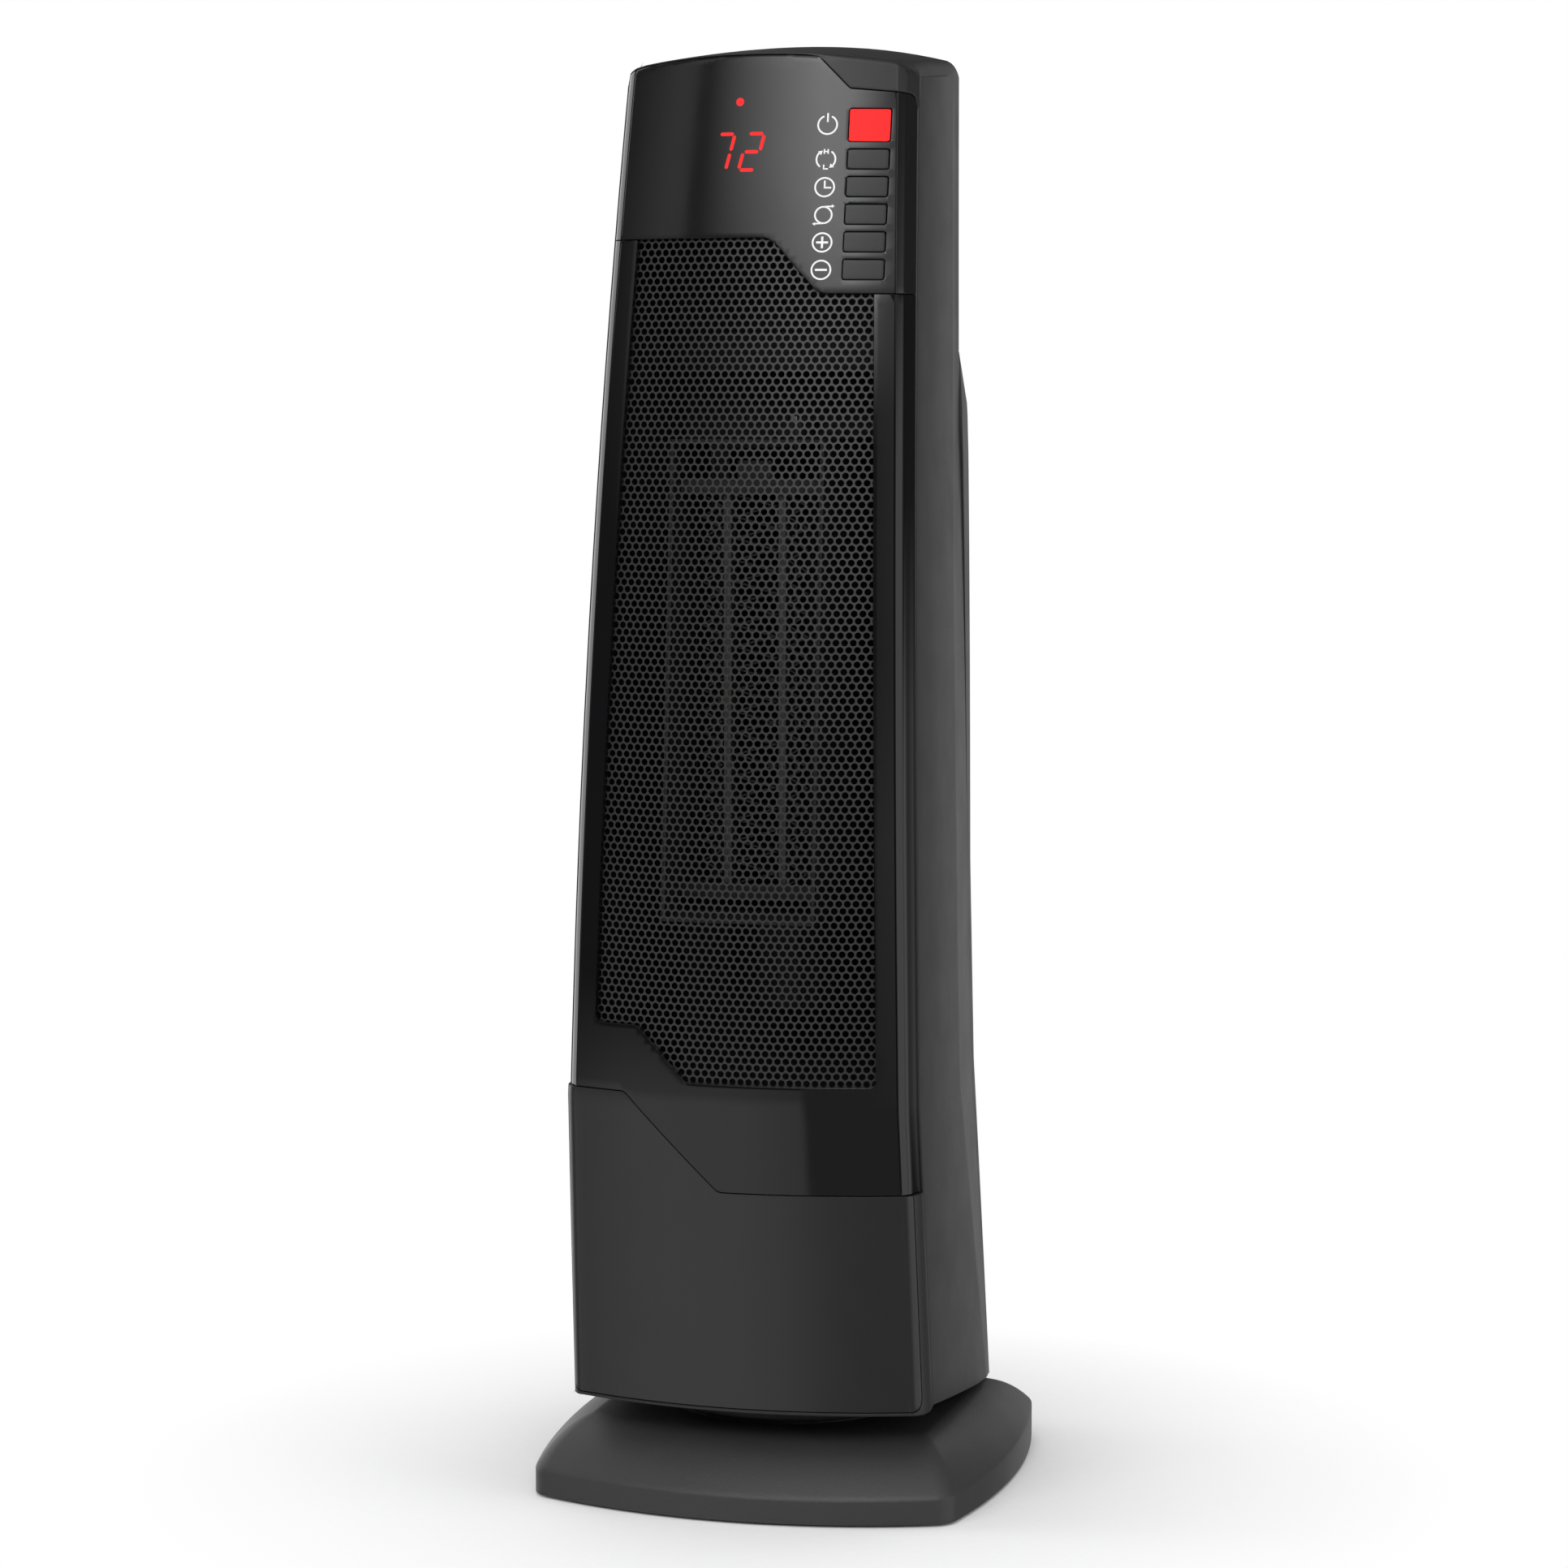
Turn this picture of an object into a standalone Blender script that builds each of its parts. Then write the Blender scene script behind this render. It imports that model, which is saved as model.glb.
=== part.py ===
"""Swinging ceramic tower heater on a square stand, as separate pieces.

Metres, +Z up, the front towards -Y, the origin on the floor under the swing axis.
Every size is a named value below; shares are fractions of the size they follow.
"""

import math

import bpy
import numpy as np
from mathutils import Matrix, Vector
from mathutils.geometry import delaunay_2d_cdt

# General clearances and wall thicknesses
FIT_GAP = 0.0003
SEAM_GAP = 0.0005
OVERRUN = 0.030
JOIN_OVERLAP = 0.0010
SHELL_WALL = 0.0024
PANEL_WALL = 0.0018
LEAST_MITRE_SHARE = 0.2
ROUND_STEPS = 40
SMALL_ROUND_STEPS = 12

# Stand
FOOT_HEIGHT = 0.0013
FOOT_RADIUS = 0.0080
FOOT_INSET_X = 0.0310
FOOT_INSET_Y = 0.0350
STAND_CLEARANCE = 0.0010
STAND_HALF = 0.0950
STAND_SIDE_BULGE = 0.0071
STAND_FRONT_BULGE = 0.0155
STAND_CORNER_RADIUS = 0.0110
STAND_RIM_HEIGHT = 0.0105
STAND_RIM_SLOPE_SHARE = 0.030
DECK_Z = 0.0296
DECK_HALF_X = 0.0703
DECK_HALF_Y = 0.0647
DECK_SIDE_BULGE = 0.0005
DECK_FRONT_BULGE = 0.0147
DECK_CORNER_RADIUS = 0.0030
DECK_INNER_CORNER_SHARE = 0.25
STAND_SLOPE_SHARES = (0.0, 0.20, 0.42, 0.68, 1.0)
STAND_SLOPE_POWER_SHARE = 1.81
STAND_WALL = 0.0024
PLATE_Z = 0.0016
PLATE_THICKNESS = 0.0022
SCREW_POST_X = 0.056
SCREW_POST_Y = 0.036
SCREW_POST_RADIUS = 0.0045
SCREW_SHANK_RADIUS = 0.0015
SCREW_HEAD_RADIUS = 0.0030
SCREW_HEAD_HEIGHT = 0.0014
STAND_SCREW_HEAD_HEIGHT = 0.0010
SCREW_LENGTH = 0.0100

# Turntable under the tower
WELL_RADIUS = 0.0470
WELL_FLOOR_Z = 0.0160
CUP_FLANGE_RADIUS = 0.0560
CUP_FLANGE_THICKNESS = 0.0020
COLLAR_TOP_Z = 0.0303
SLIDE_RING_HEIGHT = 0.0015
DISH_RADIUS = 0.0526
DISH_WALL = 0.0025
HUB_RADIUS = 0.0160
HUB_BORE_RADIUS = 0.0125
RETAINER_RADIUS = 0.0220
RETAINER_THICKNESS = 0.0026
RETAINER_RUN_GAP = 0.0004

# Swing drive: a crank pin in a radial guide
SWING_DEGREES = 30.0
CRANK_OFFSET = 0.0250
CRANK_THROW = CRANK_OFFSET * math.tan(math.radians(SWING_DEGREES))
CRANK_PIN_RADIUS = 0.0025
CRANK_ARM_HALF_WIDTH = 0.0048
CRANK_ARM_THICKNESS = 0.0040
CRANK_ARM_Z = 0.0245
CRANK_PIN_DEPTH = 0.0050
CRANK_SHAFT_RADIUS = 0.0030
CRANK_SHAFT_CLEARANCE = 0.0006
GUIDE_SLOT_CLEARANCE = 0.0011
GUIDE_WALL = 0.0045
GUIDE_HEIGHT = 0.0040
GUIDE_END_CLEARANCE = 0.0009
GUIDE_END_WALL = 0.0030
SWING_MOTOR_RADIUS = 0.0210
SWING_MOTOR_HEIGHT = 0.0160

# Tower outline: heights
TOWER_BOTTOM_Z = 0.0310
TOWER_FRONT_BOTTOM_Z = 0.0406
TOWER_BOTTOM_SLOPE_SHARE = 0.088
TOWER_BOTTOM_LEVEL_Y = 0.0550
BELLY_Z = 0.1653
TOP_FRONT_Z = 0.5782
TOP_FRONT_Y = 0.0500
TOP_SLOPE_SHARE = 0.140
TOP_CROWN_RADIUS = 1.25
TOP_ARCH_RISE = 0.0064
TOP_ARCH_GROWTH_SHARE = 0.018
TOP_HALF_WIDTH = 0.0600
TOP_EDGE_RADIUS = 0.0052
TOP_REAR_RADIUS = 0.0062
TOP_RING_SHARES = (0.0, 0.35, 0.65, 0.85)
TOP_EDGE_SHARES = (1.0, 0.60, 0.25, 0.05, 0.0)
LOFT_END_RISE = 0.0318

# Tower outline: plan, as it changes with height
BOTTOM_HALF_WIDTH = 0.0746
WIDTH_TAPER_SHARE = 0.0151
WIDTH_CURVE_RADIUS = 23.1
FRONT_EDGE_BELLY = 0.0816
FRONT_LEAN_SHARE = 0.024
FRONT_CURVE_RADIUS = 2.40
FRONT_UNDERCUT_SHARE = 0.104
RIM_SETBACK = 0.0108
RIM_UNDERCUT_SHARE = 0.018
FRONT_BULGE = 0.0120
SIDE_REAR_BELLY = 0.0045
SIDE_CURVE_RADIUS = 2.50
SIDE_FLARE_SHARE = 0.312
SIDE_EDGE_DEPTH = 0.0080
SIDE_EDGE_INSET = 0.0006
FACET_DEPTH = 0.0215
FACET_SHARES = (0.112, 0.062)
FACET_SHARE_HEIGHTS = (0.250, 0.420)
SEAM_KNEE_DROP = 0.1472
HUMP_FULL_DROP = 0.1382
HUMP_TOP_DROP = 0.1157
HUMP_REAR_TOP = 0.0530
REAR_BOTTOM = 0.0575
REAR_CORNER_RADIUS = 0.0020
REAR_CORNER_SHARES = (0.0, 0.3, 1.0)
TOWER_STATION_SHARES = (0.0, 0.30, 0.62, 0.83, 1.0)

# Front skin: how the raised panels turn their edges
FLAT_END_INSET = 0.0065
SHOULDER_INSET = 0.0038
SHOULDER_DEPTH = 0.0040
TURN_INSET = 0.0046
TURN_DEPTH = 0.0013
PANEL_FOOT_INSET = 0.0005
COVER_FOOT_INSET = 0.0032
ARC_STEPS = 10
LIP_THICKNESS = 0.0012
COVER_BOTTOM_Z = 0.0430
COVER_CORNER_SHARE = 0.075
FRONT_OPENING_INSET = 0.0090
FRONT_OPENING_BOTTOM_Z = 0.0460
FRONT_OPENING_TOP_DROP = 0.0182

# Seams between the front panels, seen from the front
PANEL_NOTCH_TOP_X = 0.0241
PANEL_NOTCH_X = 0.0369
PANEL_NOTCH_DROP = 0.0142
PANEL_SIDE_TOP_DROP = 0.0165
PANEL_BOTTOM_LEFT_DROP = 0.0722
PANEL_BOTTOM_RIGHT_DROP = 0.0942
PANEL_STEP_LEFT_X = 0.0082
PANEL_STEP_RIGHT_X = 0.0278
BEZEL_BOTTOM_LEFT_Z = 0.1699
BEZEL_BOTTOM_RIGHT_Z = 0.1315
BEZEL_STEP_LEFT_X = -0.0440
BEZEL_STEP_RIGHT_X = -0.0048

# Air outlet
MESH_SIDE_INSET = 0.0140
MESH_BOTTOM_LEFT_Z = 0.1966
MESH_BOTTOM_RIGHT_Z = 0.1749
MESH_STEP_LEFT_X = -0.0385
MESH_STEP_RIGHT_X = -0.0171
MESH_MARGIN = 0.0030
MESH_THICKNESS = 0.0008
MESH_PITCH = 0.0175
MESH_HOLE_RADIUS = 0.0080
MESH_LAND = 0.0022
HOLE_SIDES = 6

# Buttons and what is behind them
BUTTON_LEFT_X = 0.0374
BUTTON_WIDTH = 0.0151
POWER_TOP_DROP = 0.0221
POWER_HEIGHT = 0.0127
BUTTON_HEIGHT = 0.0076
BUTTON_SPACING = 0.0032
BUTTON_CLEARANCE = 0.00035
BUTTON_PROUD = 0.0004
BUTTON_TRAVEL = 0.0010
BUTTON_FLANGE = 0.0009
BUTTON_FLANGE_THICKNESS = 0.0012
BUTTON_FLANGE_SETBACK = 0.0035
BUTTON_STEM = 0.0044
SWITCH_SIZE = 0.0050
SWITCH_HEIGHT = 0.0016
BOARD_SETBACK = 0.0125
BOARD_THICKNESS = 0.0016
BOARD_LEFT_X = -0.0280
BOARD_RIGHT_X = 0.0503
BOARD_BOTTOM_DROP = 0.0902
BOARD_TOP_DROP = 0.0202
BOARD_EDGE_CLEARANCE = 0.0030
BOARD_POST_RADIUS = 0.0026
BOARD_POST_LEFT_X = -0.0240
BOARD_POST_RIGHT_X = 0.0300
BOARD_POST_HIGH_DROP = 0.0232
BOARD_POST_LEFT_LOW_DROP = 0.0652
BOARD_POST_RIGHT_LOW_DROP = 0.0852
DISPLAY_CENTRE_X = -0.0045
DISPLAY_WIDTH = 0.0270
DISPLAY_BOTTOM_DROP = 0.0492
DISPLAY_TOP_DROP = 0.0282
DISPLAY_DEPTH = 0.0200

# Heater duct and ceramic element
DUCT_HALF_WIDTH = 0.0315
DUCT_WALL = 0.0016
DUCT_BOTTOM_Z = 0.2370
DUCT_TOP_DROP = 0.1512
DUCT_REAR_Y = -0.0343
DUCT_FRONT_BOTTOM_Y = -0.0790
DUCT_FRONT_TOP_Y = -0.0640
ELEMENT_FRONT_Y = -0.0530
ELEMENT_DEPTH = 0.0100
ELEMENT_BOTTOM_Z = 0.2500
ELEMENT_TOP_DROP = 0.1732
RAIL_CENTRE_X = 0.0113
RAIL_WIDTH = 0.0030
FIN_PACK_OUTER_X = 0.0225
FIN_THICKNESS = 0.0006
FIN_TURNS = 18
HOLDER_HEIGHT = 0.0055
HOLDER_EXTRA_DEPTH = 0.0030
CUTOUT_WIDTH = 0.0140
CUTOUT_HEIGHT = 0.0075

# Blower
WHEEL_Y = 0.0080
WHEEL_RADIUS = 0.0280
WHEEL_INNER_RADIUS = 0.0220
BLADE_COUNT = 16
BLADE_THICKNESS = 0.0010
BLADE_SKEW_DEGREES = 14.0
BLADE_MIDDLE_SKEW_SHARE = 0.35
WHEEL_DISC = 0.0016
WHEEL_HUB_RADIUS = 0.0065
WHEEL_END_GAP = 0.0025
SHAFT_RADIUS = 0.0030
SHAFT_CLEARANCE = 0.00035
SHAFT_PASS_CLEARANCE = 0.0015
CASING_WALL = 0.0018
CASING_PLATE = 0.0020
CASING_REAR_Y = 0.0415
CASING_MOUTH_Y = -0.0340
INTAKE_EDGE_X = -0.0060
INTAKE_EDGE_Y = -0.0100
MOTOR_RADIUS = 0.0270
MOTOR_HEIGHT = 0.0420
BEARING_RADIUS = 0.0100
BEARING_HEIGHT = 0.0065
SHAFT_TOP_PAST_BEARING = 0.0020
SHELF_HALF_WIDTH = 0.0220
SHELF_THICKNESS = 0.0020
SHELF_REACH_Y = 0.0370

# Rear
INTAKE_HALF_WIDTH = 0.0440
INTAKE_BOTTOM_Z = 0.2440
INTAKE_TOP_DROP = 0.1582
LOUVRE_ROWS = 11
LOUVRE_COLUMNS = 2
LOUVRE_BORDER = 0.0070
LOUVRE_BAR = 0.0050
REAR_SCREW_TOP_X = 0.0520
REAR_SCREW_TOP_DROP = 0.1582
REAR_SCREW_BOTTOM_X = 0.0580
REAR_SCREW_BOTTOM_Z = 0.0700
INLET_X = 0.0300
INLET_Z = 0.0620
INLET_RADIUS = 0.0070
INLET_BORE_RADIUS = 0.0036
INLET_FLANGE_RADIUS = 0.0090
INLET_FLANGE_THICKNESS = 0.0020
INLET_INNER_LENGTH = 0.0060

# Heights that follow the tower's top, and places that follow the stand's width
SEAM_KNEE_Z = TOP_FRONT_Z - SEAM_KNEE_DROP
HUMP_FULL_Z = TOP_FRONT_Z - HUMP_FULL_DROP
HUMP_TOP_Z = TOP_FRONT_Z - HUMP_TOP_DROP
FRONT_OPENING_TOP_Z = TOP_FRONT_Z - FRONT_OPENING_TOP_DROP
PANEL_NOTCH_Z = TOP_FRONT_Z - PANEL_NOTCH_DROP
PANEL_SIDE_TOP_Z = TOP_FRONT_Z - PANEL_SIDE_TOP_DROP
PANEL_BOTTOM_LEFT_Z = TOP_FRONT_Z - PANEL_BOTTOM_LEFT_DROP
PANEL_BOTTOM_RIGHT_Z = TOP_FRONT_Z - PANEL_BOTTOM_RIGHT_DROP
POWER_TOP_Z = TOP_FRONT_Z - POWER_TOP_DROP
BOARD_BOTTOM_Z = TOP_FRONT_Z - BOARD_BOTTOM_DROP
BOARD_TOP_Z = TOP_FRONT_Z - BOARD_TOP_DROP
BOARD_POST_HIGH_Z = TOP_FRONT_Z - BOARD_POST_HIGH_DROP
BOARD_POST_LEFT_LOW_Z = TOP_FRONT_Z - BOARD_POST_LEFT_LOW_DROP
BOARD_POST_RIGHT_LOW_Z = TOP_FRONT_Z - BOARD_POST_RIGHT_LOW_DROP
DISPLAY_BOTTOM_Z = TOP_FRONT_Z - DISPLAY_BOTTOM_DROP
DISPLAY_TOP_Z = TOP_FRONT_Z - DISPLAY_TOP_DROP
DUCT_TOP_Z = TOP_FRONT_Z - DUCT_TOP_DROP
ELEMENT_TOP_Z = TOP_FRONT_Z - ELEMENT_TOP_DROP
INTAKE_TOP_Z = TOP_FRONT_Z - INTAKE_TOP_DROP
REAR_SCREW_TOP_Z = TOP_FRONT_Z - REAR_SCREW_TOP_DROP
LOFT_END_Z = TOP_FRONT_Z + LOFT_END_RISE
FOOT_PLACE_X = STAND_HALF - FOOT_INSET_X
FOOT_PLACE_Y = STAND_HALF - FOOT_INSET_Y

# Finishes: colour, roughness, metallic
GRAINED_BLACK = ((0.034, 0.034, 0.035), 0.62, 0.0)
SATIN_BLACK = ((0.022, 0.022, 0.023), 0.38, 0.0)
GLOSS_BLACK = ((0.008, 0.008, 0.009), 0.12, 0.0)
RED_PLASTIC = ((0.85, 0.045, 0.04), 0.40, 0.0)
BLACK_STEEL = ((0.030, 0.030, 0.032), 0.45, 0.6)
BRIGHT_STEEL = ((0.52, 0.52, 0.54), 0.30, 1.0)
ALUMINIUM = ((0.60, 0.61, 0.62), 0.35, 1.0)
CERAMIC = ((0.55, 0.53, 0.48), 0.60, 0.0)
BOARD_GREEN = ((0.030, 0.120, 0.050), 0.50, 0.0)
HEAT_PLASTIC = ((0.060, 0.060, 0.060), 0.55, 0.0)
WHITE_PLASTIC = ((0.62, 0.62, 0.60), 0.45, 0.0)
RUBBER = ((0.020, 0.020, 0.020), 0.90, 0.0)


# Mesh helpers


def material_of(name, finish):
    colour, roughness, metallic = finish
    material = bpy.data.materials.new(name)
    material.use_nodes = True
    surface = material.node_tree.nodes["Principled BSDF"]
    surface.inputs["Base Color"].default_value = (*colour, 1.0)
    surface.inputs["Roughness"].default_value = roughness
    surface.inputs["Metallic"].default_value = metallic
    material.diffuse_color = (*colour, 1.0)
    return material


def solid(name, points, faces, finish):
    """One closed mesh object with its faces turned outwards."""
    mesh = bpy.data.meshes.new(name)
    mesh.from_pydata(np.asarray(points).tolist(), [], faces)
    mesh.validate()
    if signed_volume(mesh) < 0.0:
        mesh.flip_normals()
    mesh.materials.append(material_of(name, finish))
    item = bpy.data.objects.new(name, mesh)
    bpy.context.scene.collection.objects.link(item)
    return item


def signed_volume(mesh):
    mesh.calc_loop_triangles()
    corners = [[mesh.vertices[i].co for i in face.vertices] for face in mesh.loop_triangles]
    return sum(a.dot(b.cross(c)) for a, b, c in corners)


def loft(name, rings, finish, flat_sides=False):
    """A solid through rings of equally many points, its first and last ring closed flat."""
    rings = np.asarray(rings, float)
    levels, count = rings.shape[:2]
    faces = [list(range(count))[::-1]]
    for level in range(levels - 1):
        for i in range(count):
            j = (i + 1) % count
            low, high = level * count, (level + 1) * count
            side = [low + i, low + j, high + j, high + i]
            if i >= count // 2:
                side = side[1:] + side[:1]
            faces += [side] if flat_sides else [side[:3], side[2:] + side[:1]]
    faces.append(list(range((levels - 1) * count, levels * count)))
    return solid(name, rings.reshape(-1, 3), faces, finish)


def prism(name, outline, low, high, axis, finish):
    """An outline in the plane square to the axis, carried from low to high along it."""
    flat = np.asarray(outline, float)
    order = {"X": (2, 0, 1), "Y": (0, 2, 1), "Z": (0, 1, 2)}[axis]
    rings = []
    for level in (low, high):
        ring = np.column_stack([flat, np.full(len(flat), level)])
        rings.append(ring[:, order])
    return loft(name, rings, finish, flat_sides=True)


def box(name, low, high, finish):
    outline = [(low[0], low[1]), (high[0], low[1]), (high[0], high[1]), (low[0], high[1])]
    return prism(name, outline, low[2], high[2], "Z", finish)


def circle(radius, steps, centre=(0.0, 0.0)):
    turn = np.linspace(0.0, 2.0 * math.pi, steps, endpoint=False)
    return np.column_stack([centre[0] + radius * np.cos(turn), centre[1] + radius * np.sin(turn)])


def cylinder(name, radius, low, high, finish, centre=(0.0, 0.0), axis="Z", steps=ROUND_STEPS):
    return prism(name, circle(radius, steps, centre), low, high, axis, finish)


def ring(name, inner, outer, low, high, finish, centre=(0.0, 0.0), axis="Z", steps=ROUND_STEPS):
    body = cylinder(name, outer, low, high, finish, centre, axis, steps)
    bore = cylinder("bore", inner, low - OVERRUN, high + OVERRUN, finish, centre, axis, steps)
    return combine(body, bore, "DIFFERENCE")


def combine(body, tool, operation):
    """Joins, cuts or intersects the body with the tool, which is used up."""
    modifier = body.modifiers.new("Shape", "BOOLEAN")
    modifier.operation = operation
    modifier.solver = "EXACT"
    modifier.object = tool
    graph = bpy.context.evaluated_depsgraph_get()
    shaped = bpy.data.meshes.new_from_object(body.evaluated_get(graph))
    body.modifiers.clear()
    own = body.data.materials[0]
    body.data = shaped
    shaped.materials.clear()
    shaped.materials.append(own)
    for face in shaped.polygons:
        face.material_index = 0
    bpy.data.objects.remove(tool)
    return body


def copy_of(item, name):
    twin = item.copy()
    twin.data = item.data.copy()
    twin.name = name
    bpy.context.scene.collection.objects.link(twin)
    return twin


def merged(name, items):
    """Several separate closed meshes as one tool."""
    points, faces = [], []
    for item in items:
        start = len(points)
        points += [tuple(vertex.co) for vertex in item.data.vertices]
        faces += [[start + i for i in face.vertices] for face in item.data.polygons]
        bpy.data.objects.remove(item)
    return solid(name, points, faces, GRAINED_BLACK)


def inset_outline(outline, distance):
    """The outline, counter-clockwise, with each side moved inwards by the distance."""
    points = np.asarray(outline, float)
    before, after = np.roll(points, 1, axis=0), np.roll(points, -1, axis=0)
    back = (points - before) / np.linalg.norm(points - before, axis=1)[:, None]
    ahead = (after - points) / np.linalg.norm(after - points, axis=1)[:, None]
    back_normal = np.column_stack([-back[:, 1], back[:, 0]])
    ahead_normal = np.column_stack([-ahead[:, 1], ahead[:, 0]])
    mitre = back_normal + ahead_normal
    scale = distance / np.maximum(np.sum(mitre * ahead_normal, axis=1), LEAST_MITRE_SHARE)
    return points + mitre * scale[:, None]


def inside(outline, spots):
    """Whether each spot lies within the outline."""
    a = np.asarray(outline, float)
    b = np.roll(a, -1, axis=0)
    spots = np.asarray(spots, float)[:, None, :]
    crosses = (a[:, 1] > spots[..., 1]) != (b[:, 1] > spots[..., 1])
    rise = np.where(b[:, 1] == a[:, 1], 1.0, b[:, 1] - a[:, 1])
    meet = a[:, 0] + (spots[..., 1] - a[:, 1]) * (b[:, 0] - a[:, 0]) / rise
    return (crosses & (spots[..., 0] < meet)).sum(axis=1) % 2 == 1


def pivot(item, place):
    """Puts a moving piece's origin on its joint's axis."""
    item.data.transform(Matrix.Translation(-Vector(place)))
    item.location = place
    return item


def carried_by(empty, items):
    for item in items:
        item.parent = empty
        item.matrix_parent_inverse = Matrix.Translation(-empty.location)


def smooth(item, degrees=32.0):
    item.data.shade_smooth()
    item.data.set_sharp_from_angle(angle=math.radians(degrees))
    return item


# The tower's outline


def over_belly(z):
    return np.maximum(z - BELLY_Z, 0.0)


def under_belly(z):
    return np.maximum(BELLY_Z - z, 0.0)


def half_width(z):
    rise = z - TOWER_BOTTOM_Z
    return BOTTOM_HALF_WIDTH - WIDTH_TAPER_SHARE * rise - rise**2 / (2.0 * WIDTH_CURVE_RADIUS)


def front_edge(z):
    """Where the panels' flat fronts end, left and right."""
    rise = over_belly(z)
    lean = FRONT_LEAN_SHARE * rise + rise**2 / (2.0 * FRONT_CURVE_RADIUS)
    return lean - FRONT_EDGE_BELLY + FRONT_UNDERCUT_SHARE * under_belly(z)


def rim(z):
    """The housing's front corner, behind the panels."""
    return front_edge(z) + RIM_SETBACK + RIM_UNDERCUT_SHARE * under_belly(z)


def flat_half(z):
    return half_width(z) - FLAT_END_INSET


def front_surface(x, z):
    return front_edge(z) - FRONT_BULGE * (1.0 - (x / flat_half(z)) ** 2)


def side_rear(z):
    """Where the flat sides end and turn towards the rear facets."""
    rise = over_belly(z)
    return rise**2 / (2.0 * SIDE_CURVE_RADIUS) - SIDE_REAR_BELLY + SIDE_FLARE_SHARE * under_belly(z)


def housing_rear(z):
    """The line where the rear cover begins."""
    knee = side_rear(SEAM_KNEE_Z) + FACET_DEPTH
    start = REAR_BOTTOM - SHELL_WALL - JOIN_OVERLAP
    low = np.interp(z, (TOWER_BOTTOM_Z, SEAM_KNEE_Z), (start, knee))
    return np.where(z > SEAM_KNEE_Z, side_rear(z) + FACET_DEPTH, low)


def tower_rear(z):
    """The rear face: upright behind the blower, leaning above it."""
    upright = np.interp(z, (TOWER_BOTTOM_Z, HUMP_FULL_Z), (REAR_BOTTOM, HUMP_REAR_TOP))
    ramp = np.interp(z, (HUMP_FULL_Z, HUMP_TOP_Z), (HUMP_REAR_TOP, housing_rear(HUMP_TOP_Z)))
    return np.where(z <= HUMP_FULL_Z, upright, np.where(z >= HUMP_TOP_Z, housing_rear(z), ramp))


def rear_half_width(z):
    share = np.interp(z, FACET_SHARE_HEIGHTS, FACET_SHARES)
    return half_width(z) - share * (tower_rear(z) - side_rear(z))


def top_half(y):
    """Half the top's width, from the front to the rear."""
    behind = np.maximum(y - side_rear(TOP_FRONT_Z), 0.0)
    return half_width(TOP_FRONT_Z) - FACET_SHARES[-1] * behind


def rounded_down(past, radius):
    """How far an edge of this radius has dropped, by how far a spot lies past its start."""
    past = np.clip(past, 0.0, radius)
    return radius - np.sqrt(radius**2 - past**2)


def top_height(x, y):
    """The arched top, which rises to the rear and rounds down at the sides and the rear."""
    back = y + TOP_FRONT_Y
    lift = TOP_FRONT_Z + TOP_SLOPE_SHARE * back - back**2 / (2.0 * TOP_CROWN_RADIUS)
    arch = (TOP_ARCH_RISE + TOP_ARCH_GROWTH_SHARE * back) * (x / TOP_HALF_WIDTH) ** 2
    side = rounded_down(abs(x) - top_half(y) + TOP_EDGE_RADIUS, TOP_EDGE_RADIUS)
    rear = rounded_down(y - top_rear() + TOP_REAR_RADIUS, TOP_REAR_RADIUS)
    return lift - arch - side - rear


def top_rear():
    return float(tower_rear(TOP_FRONT_Z))


def bottom_height(y):
    return TOWER_FRONT_BOTTOM_Z - TOWER_BOTTOM_SLOPE_SHARE * np.maximum(y + TOWER_BOTTOM_LEVEL_Y, 0.0)


def tower_stations():
    below = TOWER_BOTTOM_Z + (BELLY_Z - TOWER_BOTTOM_Z) * np.array(TOWER_STATION_SHARES)
    below = np.concatenate([[TOWER_BOTTOM_Z - OVERRUN], below])
    middle = BELLY_Z + (SEAM_KNEE_Z - BELLY_Z) * np.array(TOWER_STATION_SHARES[1:-1])
    upper = (SEAM_KNEE_Z, HUMP_FULL_Z, HUMP_TOP_Z)
    last = HUMP_TOP_Z + (LOFT_END_Z - HUMP_TOP_Z) * np.array(TOWER_STATION_SHARES[1:])
    return np.concatenate([below, middle, upper, last])


def tower_ring(z, inset):
    """The tower's plan at one height, drawn in by the inset."""
    half = half_width(z) - inset
    front, side, rear = rim(z) + inset, side_rear(z), tower_rear(z) - inset
    rear_half = rear_half_width(z) - inset
    turns = REAR_CORNER_RADIUS * np.array(REAR_CORNER_SHARES)
    right = [(half, front), (half, side), (half - SIDE_EDGE_INSET, side + SIDE_EDGE_DEPTH)]
    right += [(rear_half - a, rear - b) for a, b in zip(turns, turns[::-1])]
    left = [(-x, y) for x, y in right[::-1]]
    return [(x, y, z) for x, y in right + left]


def tower_block(name, inset):
    return loft(name, [tower_ring(z, inset) for z in tower_stations()], GRAINED_BLACK)


def trim_block(name, top_drop, bottom_drop):
    """Everything between the tower's sloping bottom and its arched top."""
    front, rear = -FRONT_EDGE_BELLY - OVERRUN, REAR_BOTTOM + OVERRUN
    side = float(side_rear(TOP_FRONT_Z))
    turn = top_rear() - TOP_REAR_RADIUS * np.array(TOP_EDGE_SHARES)
    crown = np.linspace(side, turn[0], len(TOP_RING_SHARES))
    top_ys = np.concatenate([[front, -TOP_FRONT_Y], crown, turn[1:], [rear]])[::-1]
    rings = []
    for inwards in top_ring_insets():
        low = [(inwards(y), y, bottom_height(y) - bottom_drop)
               for y in (front, -TOWER_BOTTOM_LEVEL_Y, rear)]
        high = [(inwards(y), y, top_height(inwards(y), y) - top_drop) for y in top_ys]
        rings.append(low + high)
    return loft(name, rings, GRAINED_BLACK)


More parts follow.
